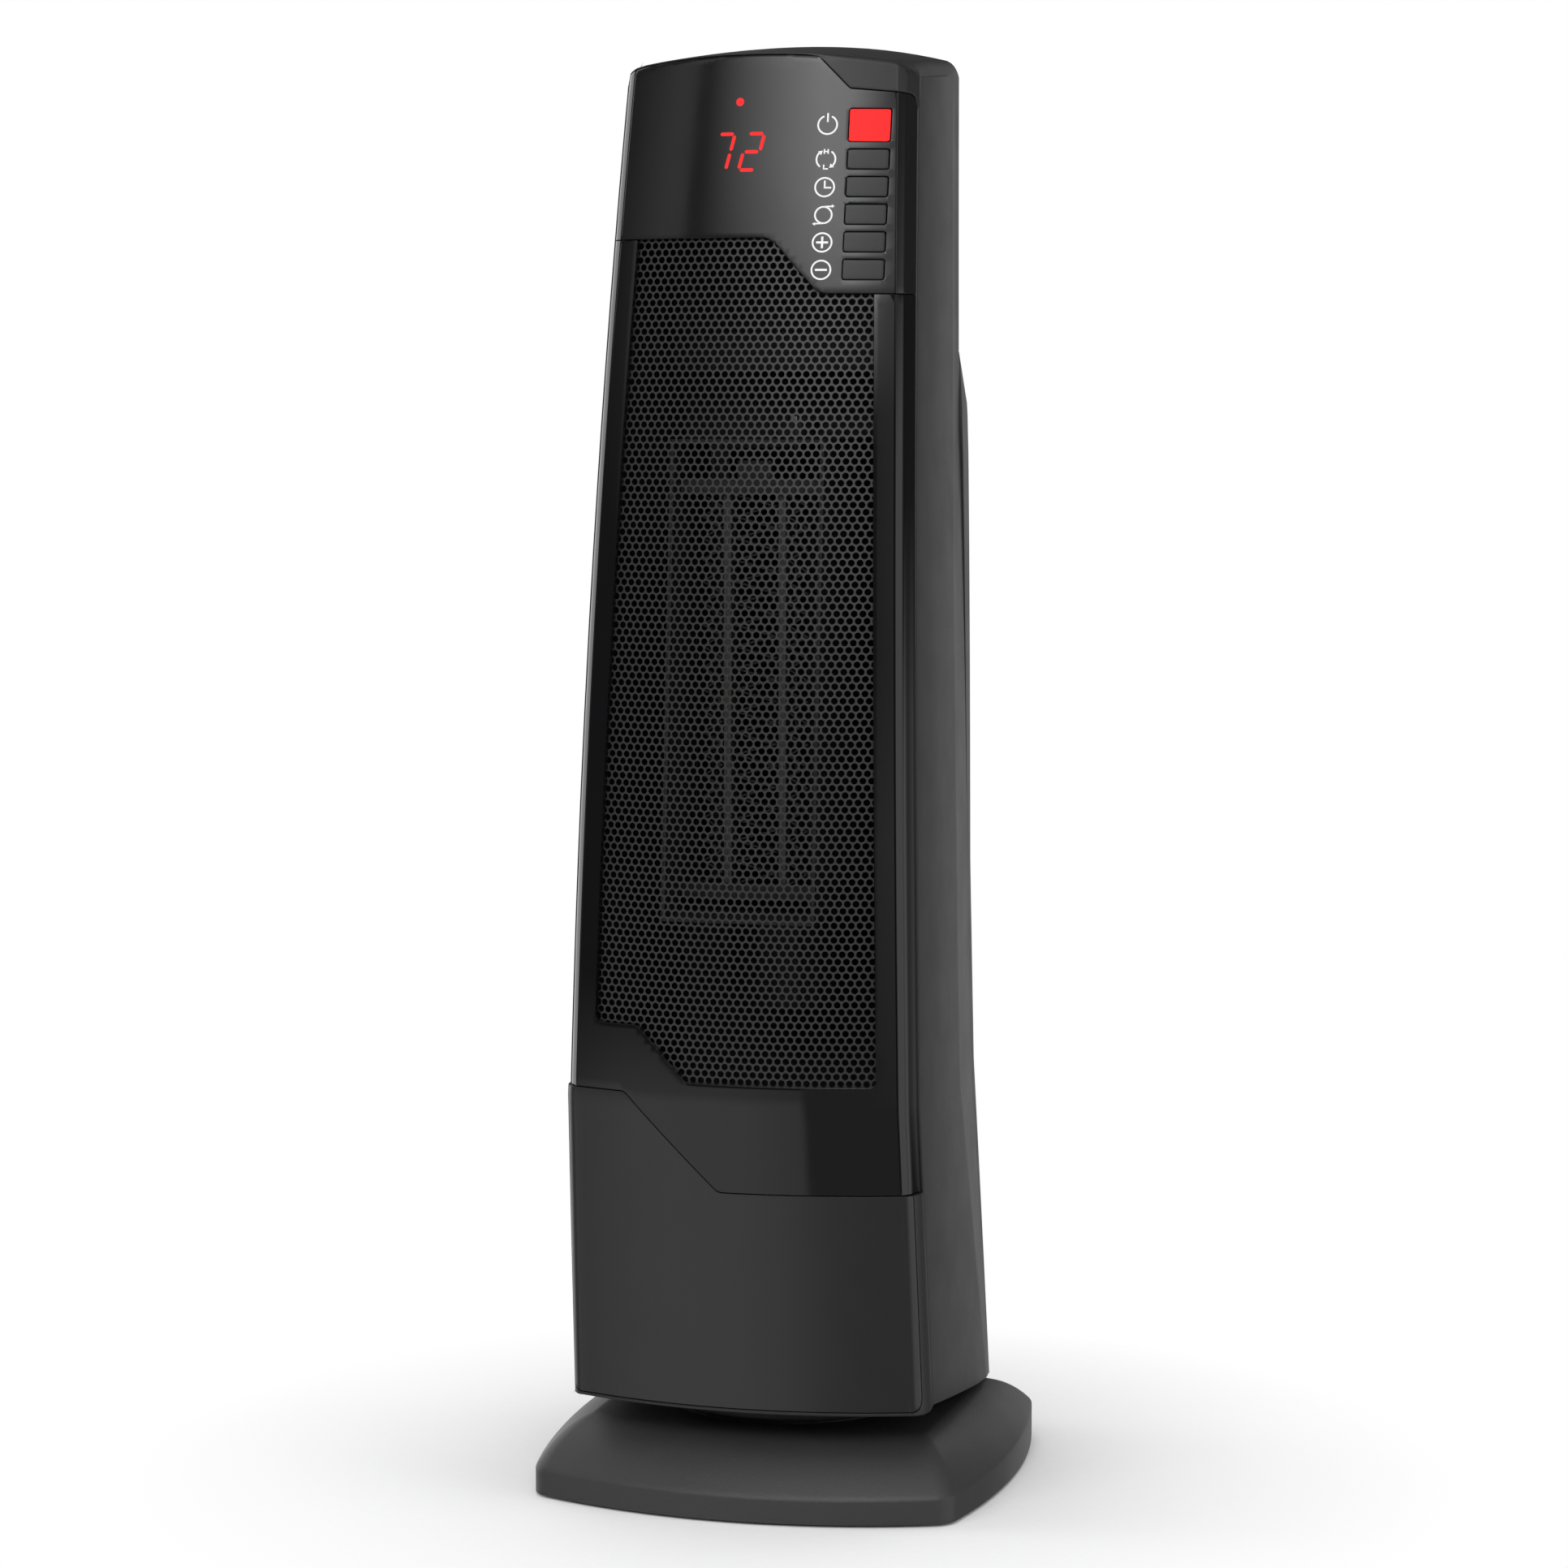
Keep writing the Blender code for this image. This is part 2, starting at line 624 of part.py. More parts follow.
def top_ring_insets():
    """Each ring's place across the top, as x for a given y, from the left to the right."""
    limit = TOP_HALF_WIDTH + OVERRUN
    edges = [lambda y, s=s: float(top_half(y)) - s * TOP_EDGE_RADIUS for s in TOP_EDGE_SHARES]
    across = [lambda y, s=s: s * (float(top_half(y)) - TOP_EDGE_RADIUS) for s in TOP_RING_SHARES]
    right = across + edges + [lambda y: limit]
    left = [lambda y, f=f: -f(y) for f in right[:0:-1]]
    return left + right


def front_stations():
    upper = BELLY_Z + (LOFT_END_Z - BELLY_Z) * np.linspace(0.0, 1.0, ARC_STEPS)
    return np.concatenate([[TOWER_BOTTOM_Z - OVERRUN], upper])


def front_ring(z, foot_inset, skin, back):
    """The raised front's plan at one height, its skin drawn in, closed along a line at the back."""
    half, edge = half_width(z), front_edge(z)
    reach = np.linspace(-1.0, 1.0, ARC_STEPS + 1)
    xs = reach * (flat_half(z) - skin)
    arc = [(x, front_surface(x, z) + skin) for x in xs]
    turn = (half - TURN_INSET - skin, edge + TURN_DEPTH + skin)
    shoulder = (half - SHOULDER_INSET - skin, edge + SHOULDER_DEPTH + skin)
    foot = (half - foot_inset - skin, rim(z) + back)
    right = [turn, shoulder, foot]
    left = [(-x, y) for x, y in right[::-1]]
    return [(x, y, z) for x, y in left + arc + right]


def front_block(name, foot_inset, skin, back):
    rings = [front_ring(z, foot_inset, skin, back) for z in front_stations()]
    return loft(name, rings, GRAINED_BLACK)


# Outlines seen from the front, counter-clockwise


def far_side():
    return BOTTOM_HALF_WIDTH + OVERRUN


def panel_top():
    """The arch along the control panel's top edge, from the notch to the left side."""
    half = half_width(TOP_FRONT_Z)
    turn = -half + TOP_EDGE_RADIUS * np.array(TOP_EDGE_SHARES)
    xs = np.concatenate([np.linspace(PANEL_NOTCH_TOP_X, turn[0], ARC_STEPS), turn[1:], [-far_side()]])
    front = front_surface(np.clip(xs, -flat_half(TOP_FRONT_Z), half), TOP_FRONT_Z)
    heights = top_height(xs, front) - LIP_THICKNESS - SEAM_GAP
    return list(zip(xs.tolist(), heights.tolist()))


def control_panel_outline():
    return [
        (-far_side(), PANEL_BOTTOM_LEFT_Z),
        (PANEL_STEP_LEFT_X, PANEL_BOTTOM_LEFT_Z),
        (PANEL_STEP_RIGHT_X, PANEL_BOTTOM_RIGHT_Z),
        (far_side(), PANEL_BOTTOM_RIGHT_Z),
        (far_side(), PANEL_SIDE_TOP_Z),
        (PANEL_NOTCH_X, PANEL_NOTCH_Z),
    ] + panel_top()


def corner_outline():
    """The housing's own front surface above and right of the control panel."""
    roof = TOP_FRONT_Z + OVERRUN
    return [(-far_side(), roof)] + panel_top()[::-1] + [
        (PANEL_NOTCH_X, PANEL_NOTCH_Z),
        (far_side(), PANEL_SIDE_TOP_Z),
        (far_side(), roof),
    ]


def bezel_bottom():
    return [
        (-far_side(), BEZEL_BOTTOM_LEFT_Z),
        (BEZEL_STEP_LEFT_X, BEZEL_BOTTOM_LEFT_Z),
        (BEZEL_STEP_RIGHT_X, BEZEL_BOTTOM_RIGHT_Z),
        (far_side(), BEZEL_BOTTOM_RIGHT_Z),
    ]


def bezel_outline():
    return bezel_bottom() + [
        (far_side(), PANEL_BOTTOM_RIGHT_Z),
        (PANEL_STEP_RIGHT_X, PANEL_BOTTOM_RIGHT_Z),
        (PANEL_STEP_LEFT_X, PANEL_BOTTOM_LEFT_Z),
        (-far_side(), PANEL_BOTTOM_LEFT_Z),
    ]


def cover_outline():
    corner = COVER_CORNER_SHARE * BOTTOM_HALF_WIDTH
    half = half_width(COVER_BOTTOM_Z) - COVER_FOOT_INSET
    low = [(-half, COVER_BOTTOM_Z + corner), (-half + corner, COVER_BOTTOM_Z)]
    low += [(half - corner, COVER_BOTTOM_Z), (half, COVER_BOTTOM_Z + corner)]
    side = far_side()
    low = [(-side, COVER_BOTTOM_Z + corner)] + low + [(side, COVER_BOTTOM_Z + corner)]
    return low + bezel_bottom()[::-1]


def mesh_opening_outline(margin):
    """The air outlet's edge up to the control panel, grown by the margin except beside the panel."""
    def side(z, extra):
        return half_width(z) - MESH_SIDE_INSET + extra

    left_low, right_low = MESH_BOTTOM_LEFT_Z - margin, MESH_BOTTOM_RIGHT_Z - margin
    left_high, right_high = PANEL_BOTTOM_LEFT_Z - margin, PANEL_BOTTOM_RIGHT_Z - margin
    right = [(side(z, margin), z) for z in np.linspace(right_low, right_high, ARC_STEPS)]
    left = [(-side(z, margin), z) for z in np.linspace(left_high, left_low, ARC_STEPS)]
    if margin:
        right += [(side(z, 0.0), z) for z in (right_high, PANEL_BOTTOM_RIGHT_Z)]
        left = [(-side(z, 0.0), z) for z in (PANEL_BOTTOM_LEFT_Z, left_high)] + left
    return [
        (MESH_STEP_LEFT_X - margin, left_low),
        (MESH_STEP_RIGHT_X - margin, right_low),
    ] + right + [
        (PANEL_STEP_RIGHT_X, PANEL_BOTTOM_RIGHT_Z),
        (PANEL_STEP_LEFT_X, PANEL_BOTTOM_LEFT_Z),
    ] + left


def bulged_outline(half_x, half_y, bulge_x, bulge_y, radius):
    """A rectangle with bowed sides and rounded corners, counter-clockwise from the front left."""
    reach = np.linspace(-1.0, 1.0, ARC_STEPS - 1)
    bow = 1.0 - reach**2
    across, along = half_x - bulge_x - radius, half_y - bulge_y - radius
    front = np.column_stack([across * reach, -along - bulge_y * bow])
    right = np.column_stack([across + bulge_x * bow, along * reach])
    sides = []
    for line in (front, right, -front, -right):
        step = np.gradient(line, axis=0)
        outward = np.column_stack([step[:, 1], -step[:, 0]])
        sides.append((line, outward / np.linalg.norm(outward, axis=1)[:, None]))
    outline = []
    for (line, outward), (_, following) in zip(sides, sides[1:] + sides[:1]):
        outline += (line + radius * outward).tolist()
        middle = outward[-1] + following[0]
        outline.append((line[-1] + radius * middle / np.linalg.norm(middle)).tolist())
    return outline


# Stand


def stand_outlines(inset):
    foot = bulged_outline(STAND_HALF - inset, STAND_HALF - inset, STAND_SIDE_BULGE,
                          STAND_FRONT_BULGE, STAND_CORNER_RADIUS - inset)
    deck_corner = max(DECK_CORNER_RADIUS - inset, DECK_CORNER_RADIUS * DECK_INNER_CORNER_SHARE)
    deck = bulged_outline(DECK_HALF_X - inset, DECK_HALF_Y - inset, DECK_SIDE_BULGE,
                          DECK_FRONT_BULGE, deck_corner)
    return np.array(foot), np.array(deck)


def slope_rings(inset, drop):
    """The stand's rounded slope, from its rim, which rises to the rear, up to the flat deck."""
    foot, deck = stand_outlines(inset)
    front = STAND_HALF - STAND_FRONT_BULGE
    rim_z = STAND_CLEARANCE + STAND_RIM_HEIGHT + STAND_RIM_SLOPE_SHARE * (foot[:, 1] + front)
    rings = []
    for share in STAND_SLOPE_SHARES:
        climb = 1.0 - (1.0 - share) ** STAND_SLOPE_POWER_SHARE
        heights = rim_z + (DECK_Z - rim_z) * climb - drop
        rings.append(np.column_stack([foot + (deck - foot) * share, heights]))
    return rings


def at_height(outline, z):
    return [(x, y, z) for x, y in outline]


def screw_post_places():
    return [(x, y) for x in (-SCREW_POST_X, SCREW_POST_X) for y in (-SCREW_POST_Y, SCREW_POST_Y)]


def make_stand_cover():
    foot, _ = stand_outlines(0.0)
    rings = [at_height(foot, STAND_CLEARANCE)] + slope_rings(0.0, 0.0)
    cover = loft("stand_cover", rings, GRAINED_BLACK)
    foot, _ = stand_outlines(STAND_WALL)
    rings = [at_height(foot, STAND_CLEARANCE - OVERRUN)] + slope_rings(STAND_WALL, STAND_WALL)
    combine(cover, loft("hollow", rings, GRAINED_BLACK), "DIFFERENCE")
    ceiling = DECK_Z - JOIN_OVERLAP
    plate_top = PLATE_Z + PLATE_THICKNESS
    posts = [cylinder("post", SCREW_POST_RADIUS, plate_top + FIT_GAP, ceiling, GRAINED_BLACK, place,
                      steps=SMALL_ROUND_STEPS) for place in screw_post_places()]
    combine(cover, merged("posts", posts), "UNION")
    mouth = cylinder("mouth", cup_radius() + FIT_GAP, DECK_Z - OVERRUN / 2.0, DECK_Z + OVERRUN,
                     GRAINED_BLACK)
    combine(cover, mouth, "DIFFERENCE")
    holes = [cylinder("hole", SCREW_SHANK_RADIUS + FIT_GAP, PLATE_Z, PLATE_Z + SCREW_LENGTH + FIT_GAP,
                      GRAINED_BLACK, place, steps=SMALL_ROUND_STEPS) for place in screw_post_places()]
    combine(cover, merged("holes", holes), "DIFFERENCE")
    return smooth(cover)


def cup_radius():
    return WELL_RADIUS + STAND_WALL


def make_bearing_cup():
    """The cup in the stand that the tower turns in: its flange sits under the deck, its collar above."""
    cup = cylinder("bearing_cup", cup_radius(), WELL_FLOOR_Z, COLLAR_TOP_Z, GRAINED_BLACK)
    flange_top = DECK_Z - STAND_WALL - FIT_GAP
    flange = cylinder("flange", CUP_FLANGE_RADIUS, flange_top - CUP_FLANGE_THICKNESS, flange_top,
                      GRAINED_BLACK)
    combine(cup, flange, "UNION")
    well = cylinder("well", WELL_RADIUS, WELL_FLOOR_Z + STAND_WALL, COLLAR_TOP_Z + OVERRUN, GRAINED_BLACK)
    combine(cup, well, "DIFFERENCE")
    bore = cylinder("bore", HUB_RADIUS + SEAM_GAP, WELL_FLOOR_Z - OVERRUN, COLLAR_TOP_Z, GRAINED_BLACK)
    return smooth(combine(cup, bore, "DIFFERENCE"))


def make_stand_plate():
    inset = STAND_WALL + FIT_GAP
    foot, _ = stand_outlines(inset)
    plate = prism("stand_plate", foot, PLATE_Z, PLATE_Z + PLATE_THICKNESS, "Z", BLACK_STEEL)
    below, above = PLATE_Z - OVERRUN, PLATE_Z + OVERRUN
    holes = [cylinder("hole", SCREW_SHANK_RADIUS + FIT_GAP, below, above, BLACK_STEEL, place,
                      steps=SMALL_ROUND_STEPS) for place in screw_post_places()]
    return combine(plate, merged("holes", holes), "DIFFERENCE")


def make_feet():
    feet = []
    for side_x, left_right in ((-1, "left"), (1, "right")):
        for side_y, front_rear in ((-1, "front"), (1, "rear")):
            place = (side_x * FOOT_PLACE_X, side_y * FOOT_PLACE_Y)
            name = f"foot_{front_rear}_{left_right}"
            feet.append(cylinder(name, FOOT_RADIUS, 0.0, FOOT_HEIGHT, RUBBER, place,
                                 steps=SMALL_ROUND_STEPS))
    return feet


def make_screw(name, place, head_z, axis="Z", direction=1.0):
    """A pan head and its shank, which runs from the head in the given direction."""
    ends = sorted((head_z, head_z - direction * SCREW_HEAD_HEIGHT))
    head = cylinder(name, SCREW_HEAD_RADIUS, *ends, BRIGHT_STEEL, place, axis, SMALL_ROUND_STEPS)
    reach = SCREW_LENGTH - SCREW_HEAD_HEIGHT
    ends = sorted((head_z - direction * JOIN_OVERLAP, head_z + direction * reach))
    shank = cylinder("shank", SCREW_SHANK_RADIUS, *ends, BRIGHT_STEEL, place, axis, SMALL_ROUND_STEPS)
    return combine(head, shank, "UNION")


def make_stand_screws():
    """Under the plate, their flat heads just clear of the floor."""
    head_z = PLATE_Z - FIT_GAP
    names = ("stand_screw_front_left", "stand_screw_rear_left",
             "stand_screw_front_right", "stand_screw_rear_right")
    screws = []
    for name, place in zip(names, screw_post_places()):
        head = cylinder(name, SCREW_HEAD_RADIUS, head_z - STAND_SCREW_HEAD_HEIGHT, head_z, BRIGHT_STEEL,
                        place, steps=SMALL_ROUND_STEPS)
        shank = cylinder("shank", SCREW_SHANK_RADIUS, head_z - STAND_SCREW_HEAD_HEIGHT / 2.0,
                         head_z + SCREW_LENGTH - SCREW_HEAD_HEIGHT, BRIGHT_STEEL, place,
                         steps=SMALL_ROUND_STEPS)
        screws.append(combine(head, shank, "UNION"))
    return screws


def guide_reach():
    """The pin's nearest and farthest distance from the swing axis."""
    return math.hypot(CRANK_OFFSET, CRANK_THROW), CRANK_OFFSET + CRANK_THROW


def make_drive_guide():
    """The radial slot in the well that the crank pin pushes against."""
    near, far = guide_reach()
    slot_half = CRANK_PIN_RADIUS + GUIDE_SLOT_CLEARANCE
    slot_near = near - CRANK_PIN_RADIUS - GUIDE_END_CLEARANCE
    slot_far = far + CRANK_PIN_RADIUS + GUIDE_END_CLEARANCE
    low = WELL_FLOOR_Z + STAND_WALL + FIT_GAP
    half = slot_half + GUIDE_WALL
    guide = box("drive_guide", (-half, slot_near - GUIDE_END_WALL, low),
                (half, slot_far + GUIDE_END_WALL, low + GUIDE_HEIGHT), WHITE_PLASTIC)
    slot = box("slot", (-slot_half, slot_near, low - OVERRUN), (slot_half, slot_far, low + OVERRUN),
               WHITE_PLASTIC)
    return combine(guide, slot, "DIFFERENCE")


def make_slide_ring():
    low = COLLAR_TOP_Z + FIT_GAP
    return ring("slide_ring", WELL_RADIUS, cup_radius(), low, low + SLIDE_RING_HEIGHT, WHITE_PLASTIC)


# Turntable and swing drive in the tower


def dish_z():
    return COLLAR_TOP_Z + SLIDE_RING_HEIGHT + 2.0 * FIT_GAP


def floor_z():
    return COVER_BOTTOM_Z + DISH_WALL


def make_tower_floor():
    """The tower's floor: a plate with a round opening over the dish."""
    low, high = floor_z(), floor_z() + DISH_WALL
    inset = SHELL_WALL + FIT_GAP
    floor = loft("tower_floor", [tower_ring(z, inset) for z in (low, high)], GRAINED_BLACK)
    mouth = cylinder("mouth", DISH_RADIUS - DISH_WALL, low - OVERRUN, high + OVERRUN, GRAINED_BLACK)
    return combine(floor, mouth, "DIFFERENCE")


def make_turntable_dish():
    """The dish under the tower's floor: it turns on the stand's collar, its hub in the cup's bore."""
    low, high = dish_z(), floor_z() - FIT_GAP
    dish = cylinder("turntable_dish", DISH_RADIUS, low, high, GRAINED_BLACK)
    hollow = cylinder("hollow", DISH_RADIUS - DISH_WALL, low + DISH_WALL, high + OVERRUN, GRAINED_BLACK)
    combine(dish, hollow, "DIFFERENCE")
    hub = cylinder("hub", HUB_RADIUS, retainer_top() + FIT_GAP, low + JOIN_OVERLAP, GRAINED_BLACK)
    combine(dish, hub, "UNION")
    bore = cylinder("bore", HUB_BORE_RADIUS, PLATE_Z, high + OVERRUN, GRAINED_BLACK)
    combine(dish, bore, "DIFFERENCE")
    hole = cylinder("hole", CRANK_SHAFT_RADIUS + CRANK_SHAFT_CLEARANCE, low - OVERRUN / 2.0, high + OVERRUN,
                    GRAINED_BLACK, (0.0, CRANK_OFFSET), steps=SMALL_ROUND_STEPS)
    return smooth(combine(dish, hole, "DIFFERENCE"))


def retainer_top():
    return WELL_FLOOR_Z - RETAINER_RUN_GAP


def make_retainer():
    """Holds the tower down from under the well."""
    top = retainer_top()
    return ring("retainer", HUB_BORE_RADIUS, RETAINER_RADIUS, top - RETAINER_THICKNESS, top, BRIGHT_STEEL)


def make_swing_motor():
    low = dish_z() + DISH_WALL + FIT_GAP
    return smooth(cylinder("swing_motor", SWING_MOTOR_RADIUS, low, low + SWING_MOTOR_HEIGHT, BRIGHT_STEEL,
                           (0.0, CRANK_OFFSET), steps=ROUND_STEPS // 2))


def make_swing_crank():
    """At rest the arm points away from the swing axis."""
    axis_y, pin_y = CRANK_OFFSET, CRANK_OFFSET + CRANK_THROW
    low, high = CRANK_ARM_Z, CRANK_ARM_Z + CRANK_ARM_THICKNESS
    half = CRANK_ARM_HALF_WIDTH
    turn = np.linspace(0.0, math.pi, SMALL_ROUND_STEPS // 2 + 1)
    outline = [(half * math.cos(a), pin_y + half * math.sin(a)) for a in turn]
    outline += [(half * math.cos(a), axis_y + half * math.sin(a)) for a in turn + math.pi]
    crank = prism("swing_crank", outline, low, high, "Z", WHITE_PLASTIC)
    pin = cylinder("pin", CRANK_PIN_RADIUS, low - CRANK_PIN_DEPTH, low + JOIN_OVERLAP, WHITE_PLASTIC,
                   (0.0, pin_y), steps=SMALL_ROUND_STEPS)
    combine(crank, pin, "UNION")
    shaft = cylinder("shaft", CRANK_SHAFT_RADIUS, high - JOIN_OVERLAP, dish_z() + DISH_WALL, WHITE_PLASTIC,
                     (0.0, axis_y), steps=SMALL_ROUND_STEPS)
    combine(crank, shaft, "UNION")
    return pivot(crank, (0.0, CRANK_OFFSET, CRANK_ARM_Z))


# Housing and rear cover


def seam_block(name, gap):
    """Everything behind the seam between the housing and the rear cover, as seen from the side."""
    top = HUMP_TOP_Z - gap
    start = float(housing_rear(HUMP_TOP_Z)) - SHELL_WALL - JOIN_OVERLAP
    low = TOWER_BOTTOM_Z - OVERRUN
    line = [(start + gap, top), (float(housing_rear(SEAM_KNEE_Z)) + gap, SEAM_KNEE_Z),
            (float(housing_rear(TOWER_BOTTOM_Z)) + gap, TOWER_BOTTOM_Z),
            (float(housing_rear(TOWER_BOTTOM_Z)) + gap, low)]
    rear = REAR_BOTTOM + OVERRUN
    side = far_side()
    return prism(name, [(rear, low), (rear, top)] + line, -side, side, "X", GRAINED_BLACK)


def tower_shell(name, additions=()):
    """The tower's wall, open at the bottom, with any additions joined to its outside first."""
    shell = tower_block(name, 0.0)
    for addition in additions:
        combine(shell, addition, "UNION")
    combine(shell, trim_block("trim", 0.0, 0.0), "INTERSECT")
    inner = combine(tower_block("inner", SHELL_WALL), trim_block("trim", SHELL_WALL, OVERRUN / 2.0),
                    "INTERSECT")
    return combine(shell, inner, "DIFFERENCE")


def make_housing():
    housing = tower_shell("tower_housing", (make_top_lip(), make_bottom_lip()))
    combine(housing, seam_block("behind", 0.0), "DIFFERENCE")
    heights = np.linspace(FRONT_OPENING_BOTTOM_Z, FRONT_OPENING_TOP_Z, ARC_STEPS)
    right = [(half_width(z) - FRONT_OPENING_INSET, z) for z in heights]
    outline = right + [(-x, z) for x, z in right[::-1]]
    opening = prism("opening", outline, -FRONT_EDGE_BELLY - OVERRUN, 0.0, "Y", GRAINED_BLACK)
    return smooth(combine(housing, opening, "DIFFERENCE"))


def make_top_lip():
    """The flush front corner beside the control panel and the thin lip over it."""
    lip = front_block("lip", PANEL_FOOT_INSET, 0.0, JOIN_OVERLAP)
    edge = prism("edge", corner_outline(), -FRONT_EDGE_BELLY - OVERRUN, 0.0, "Y", GRAINED_BLACK)
    return combine(lip, edge, "INTERSECT")


def make_bottom_lip():
    lip = front_block("lip", PANEL_FOOT_INSET, 0.0, JOIN_OVERLAP)
    side = far_side()
    low = (-side, -FRONT_EDGE_BELLY - OVERRUN, TOWER_FRONT_BOTTOM_Z - JOIN_OVERLAP)
    high = (side, 0.0, COVER_BOTTOM_Z - SEAM_GAP)
    return combine(lip, box("edge", low, high, GRAINED_BLACK), "INTERSECT")


def intake_outline(inset):
    half = INTAKE_HALF_WIDTH - inset
    low, high = INTAKE_BOTTOM_Z + inset, INTAKE_TOP_Z - inset
    return [(-half, low), (half, low), (half, high), (-half, high)]


def rear_screw_places():
    rows = ((REAR_SCREW_TOP_Z, REAR_SCREW_TOP_X), (REAR_SCREW_BOTTOM_Z, REAR_SCREW_BOTTOM_X))
    return [(x, z) for z, x_size in rows for x in (-x_size, x_size)]


def make_rear_cover():
    """The humped back, with two shelves that hold the blower casing between them."""
    cover = combine(tower_shell("rear_cover"), seam_block("behind", FIT_GAP), "INTERSECT")
    for low in (DUCT_BOTTOM_Z - FIT_GAP - SHELF_THICKNESS, DUCT_TOP_Z + FIT_GAP):
        rear = float(tower_rear(low)) - SHELL_WALL + JOIN_OVERLAP
        shelf = box("shelf", (-SHELF_HALF_WIDTH, SHELF_REACH_Y, low),
                    (SHELF_HALF_WIDTH, rear, low + SHELF_THICKNESS), GRAINED_BLACK)
        combine(cover, shelf, "UNION")
    inner_face, outside = HUMP_REAR_TOP - SHELL_WALL - JOIN_OVERLAP, REAR_BOTTOM + OVERRUN
    holes = [cylinder("hole", SCREW_SHANK_RADIUS + FIT_GAP, inner_face, outside, GRAINED_BLACK, place, "Y",
                      SMALL_ROUND_STEPS) for place in rear_screw_places()]
    holes.append(cylinder("hole", INLET_RADIUS + FIT_GAP, inner_face, outside, GRAINED_BLACK,
                          (INLET_X, INLET_Z), "Y", SMALL_ROUND_STEPS * 2))
    combine(cover, merged("holes", holes), "DIFFERENCE")
    intake = prism("intake", intake_outline(0.0), inner_face, outside, "Y", GRAINED_BLACK)
    return smooth(combine(cover, intake, "DIFFERENCE"))


def make_intake_grille():
    """The louvred panel that the blower draws through."""
    grille = tower_shell("intake_grille")
    inner_face = HUMP_REAR_TOP - SHELL_WALL - JOIN_OVERLAP
    rear = REAR_BOTTOM + OVERRUN
    edge = prism("edge", intake_outline(FIT_GAP), inner_face, rear, "Y", GRAINED_BLACK)
    combine(grille, edge, "INTERSECT")
    left, right = -INTAKE_HALF_WIDTH + LOUVRE_BORDER, INTAKE_HALF_WIDTH - LOUVRE_BORDER
    low, high = INTAKE_BOTTOM_Z + LOUVRE_BORDER, INTAKE_TOP_Z - LOUVRE_BORDER
    pitch = (high - low + LOUVRE_BAR) / LOUVRE_ROWS
    width = (right - left + LOUVRE_BAR) / LOUVRE_COLUMNS
    slots = []
    for row in range(LOUVRE_ROWS):
        for column in range(LOUVRE_COLUMNS):
            x, z = left + column * width, low + row * pitch
            corner = (x + width - LOUVRE_BAR, rear, z + pitch - LOUVRE_BAR)
            slots.append(box("slot", (x, inner_face - OVERRUN, z), corner, GRAINED_BLACK))
    return combine(grille, merged("slots", slots), "DIFFERENCE")


def make_rear_screws():
    names = ("rear_screw_bottom_left", "rear_screw_bottom_right",
             "rear_screw_top_left", "rear_screw_top_right")
    screws = []
    for name, (x, z) in zip(names[2:] + names[:2], rear_screw_places()):
        head_y = float(tower_rear(z)) + FIT_GAP
        screws.append(make_screw(name, (x, z), head_y, "Y", -1.0))
    return screws


def make_cord_inlet():
    """A flanged bush through the rear cover, open right through."""
    face = float(tower_rear(INLET_Z)) + FIT_GAP
    place = (INLET_X, INLET_Z)
    steps = SMALL_ROUND_STEPS * 2
    inlet = cylinder("cord_inlet", INLET_FLANGE_RADIUS, face, face + INLET_FLANGE_THICKNESS, RUBBER,
                     place, "Y", steps)
    barrel_start = face - SHELL_WALL - INLET_INNER_LENGTH
    barrel = cylinder("barrel", INLET_RADIUS, barrel_start, face + JOIN_OVERLAP, RUBBER, place, "Y", steps)
    combine(inlet, barrel, "UNION")
    bore = cylinder("bore", INLET_BORE_RADIUS, barrel_start - OVERRUN, face + OVERRUN, RUBBER,
                    place, "Y", steps)
    return smooth(combine(inlet, bore, "DIFFERENCE"))


# Front panels


def front_panel(name, outline, foot_inset, finish):
    """A hollow panel cut from the raised front, with a wall along every edge."""
    front = -FRONT_EDGE_BELLY - OVERRUN
    outline = inset_outline(outline, SEAM_GAP / 2.0)
    panel = front_block(name, foot_inset, 0.0, -FIT_GAP)
    combine(panel, prism("edge", outline, front, 0.0, "Y", finish), "INTERSECT")
    hollow = front_block("hollow", foot_inset, PANEL_WALL, JOIN_OVERLAP)
    edge = prism("edge", inset_outline(outline, PANEL_WALL), front, 0.0, "Y", finish)
    combine(hollow, edge, "INTERSECT")
    combine(panel, hollow, "DIFFERENCE")
    panel.data.materials.clear()
    panel.data.materials.append(material_of(name, finish))
    return panel


def button_spans():
    """Name, bottom and top of each button, from the highest down."""
    spans = [("power_button", POWER_TOP_Z - POWER_HEIGHT, POWER_TOP_Z)]
    top = POWER_TOP_Z - POWER_HEIGHT - BUTTON_SPACING
    for name in ("heat_button", "timer_button", "swing_button", "plus_button", "minus_button"):
        spans.append((name, top - BUTTON_HEIGHT, top))
        top -= BUTTON_HEIGHT + BUTTON_SPACING
    return spans


def button_outline(low, high, grow):
    left, right = BUTTON_LEFT_X - grow, BUTTON_LEFT_X + BUTTON_WIDTH + grow
    return [(left, low - grow), (right, low - grow), (right, high + grow), (left, high + grow)]


def board_front(z):
    """The control board stands parallel to the leaning front."""
    ends = (BOARD_BOTTOM_Z, BOARD_TOP_Z)
    faces = [float(front_edge(end)) + BOARD_SETBACK for end in ends]
    return faces[0] + (faces[1] - faces[0]) * (z - ends[0]) / (ends[1] - ends[0])


def board_slab(name, near, far, left, right, low, high, finish):
    """A slab parallel to the board, between two distances in front of its face."""
    outline = [(board_front(low) - near, low), (board_front(low) - far, low),
               (board_front(high) - far, high), (board_front(high) - near, high)]
    return prism(name, outline, left, right, "X", finish)


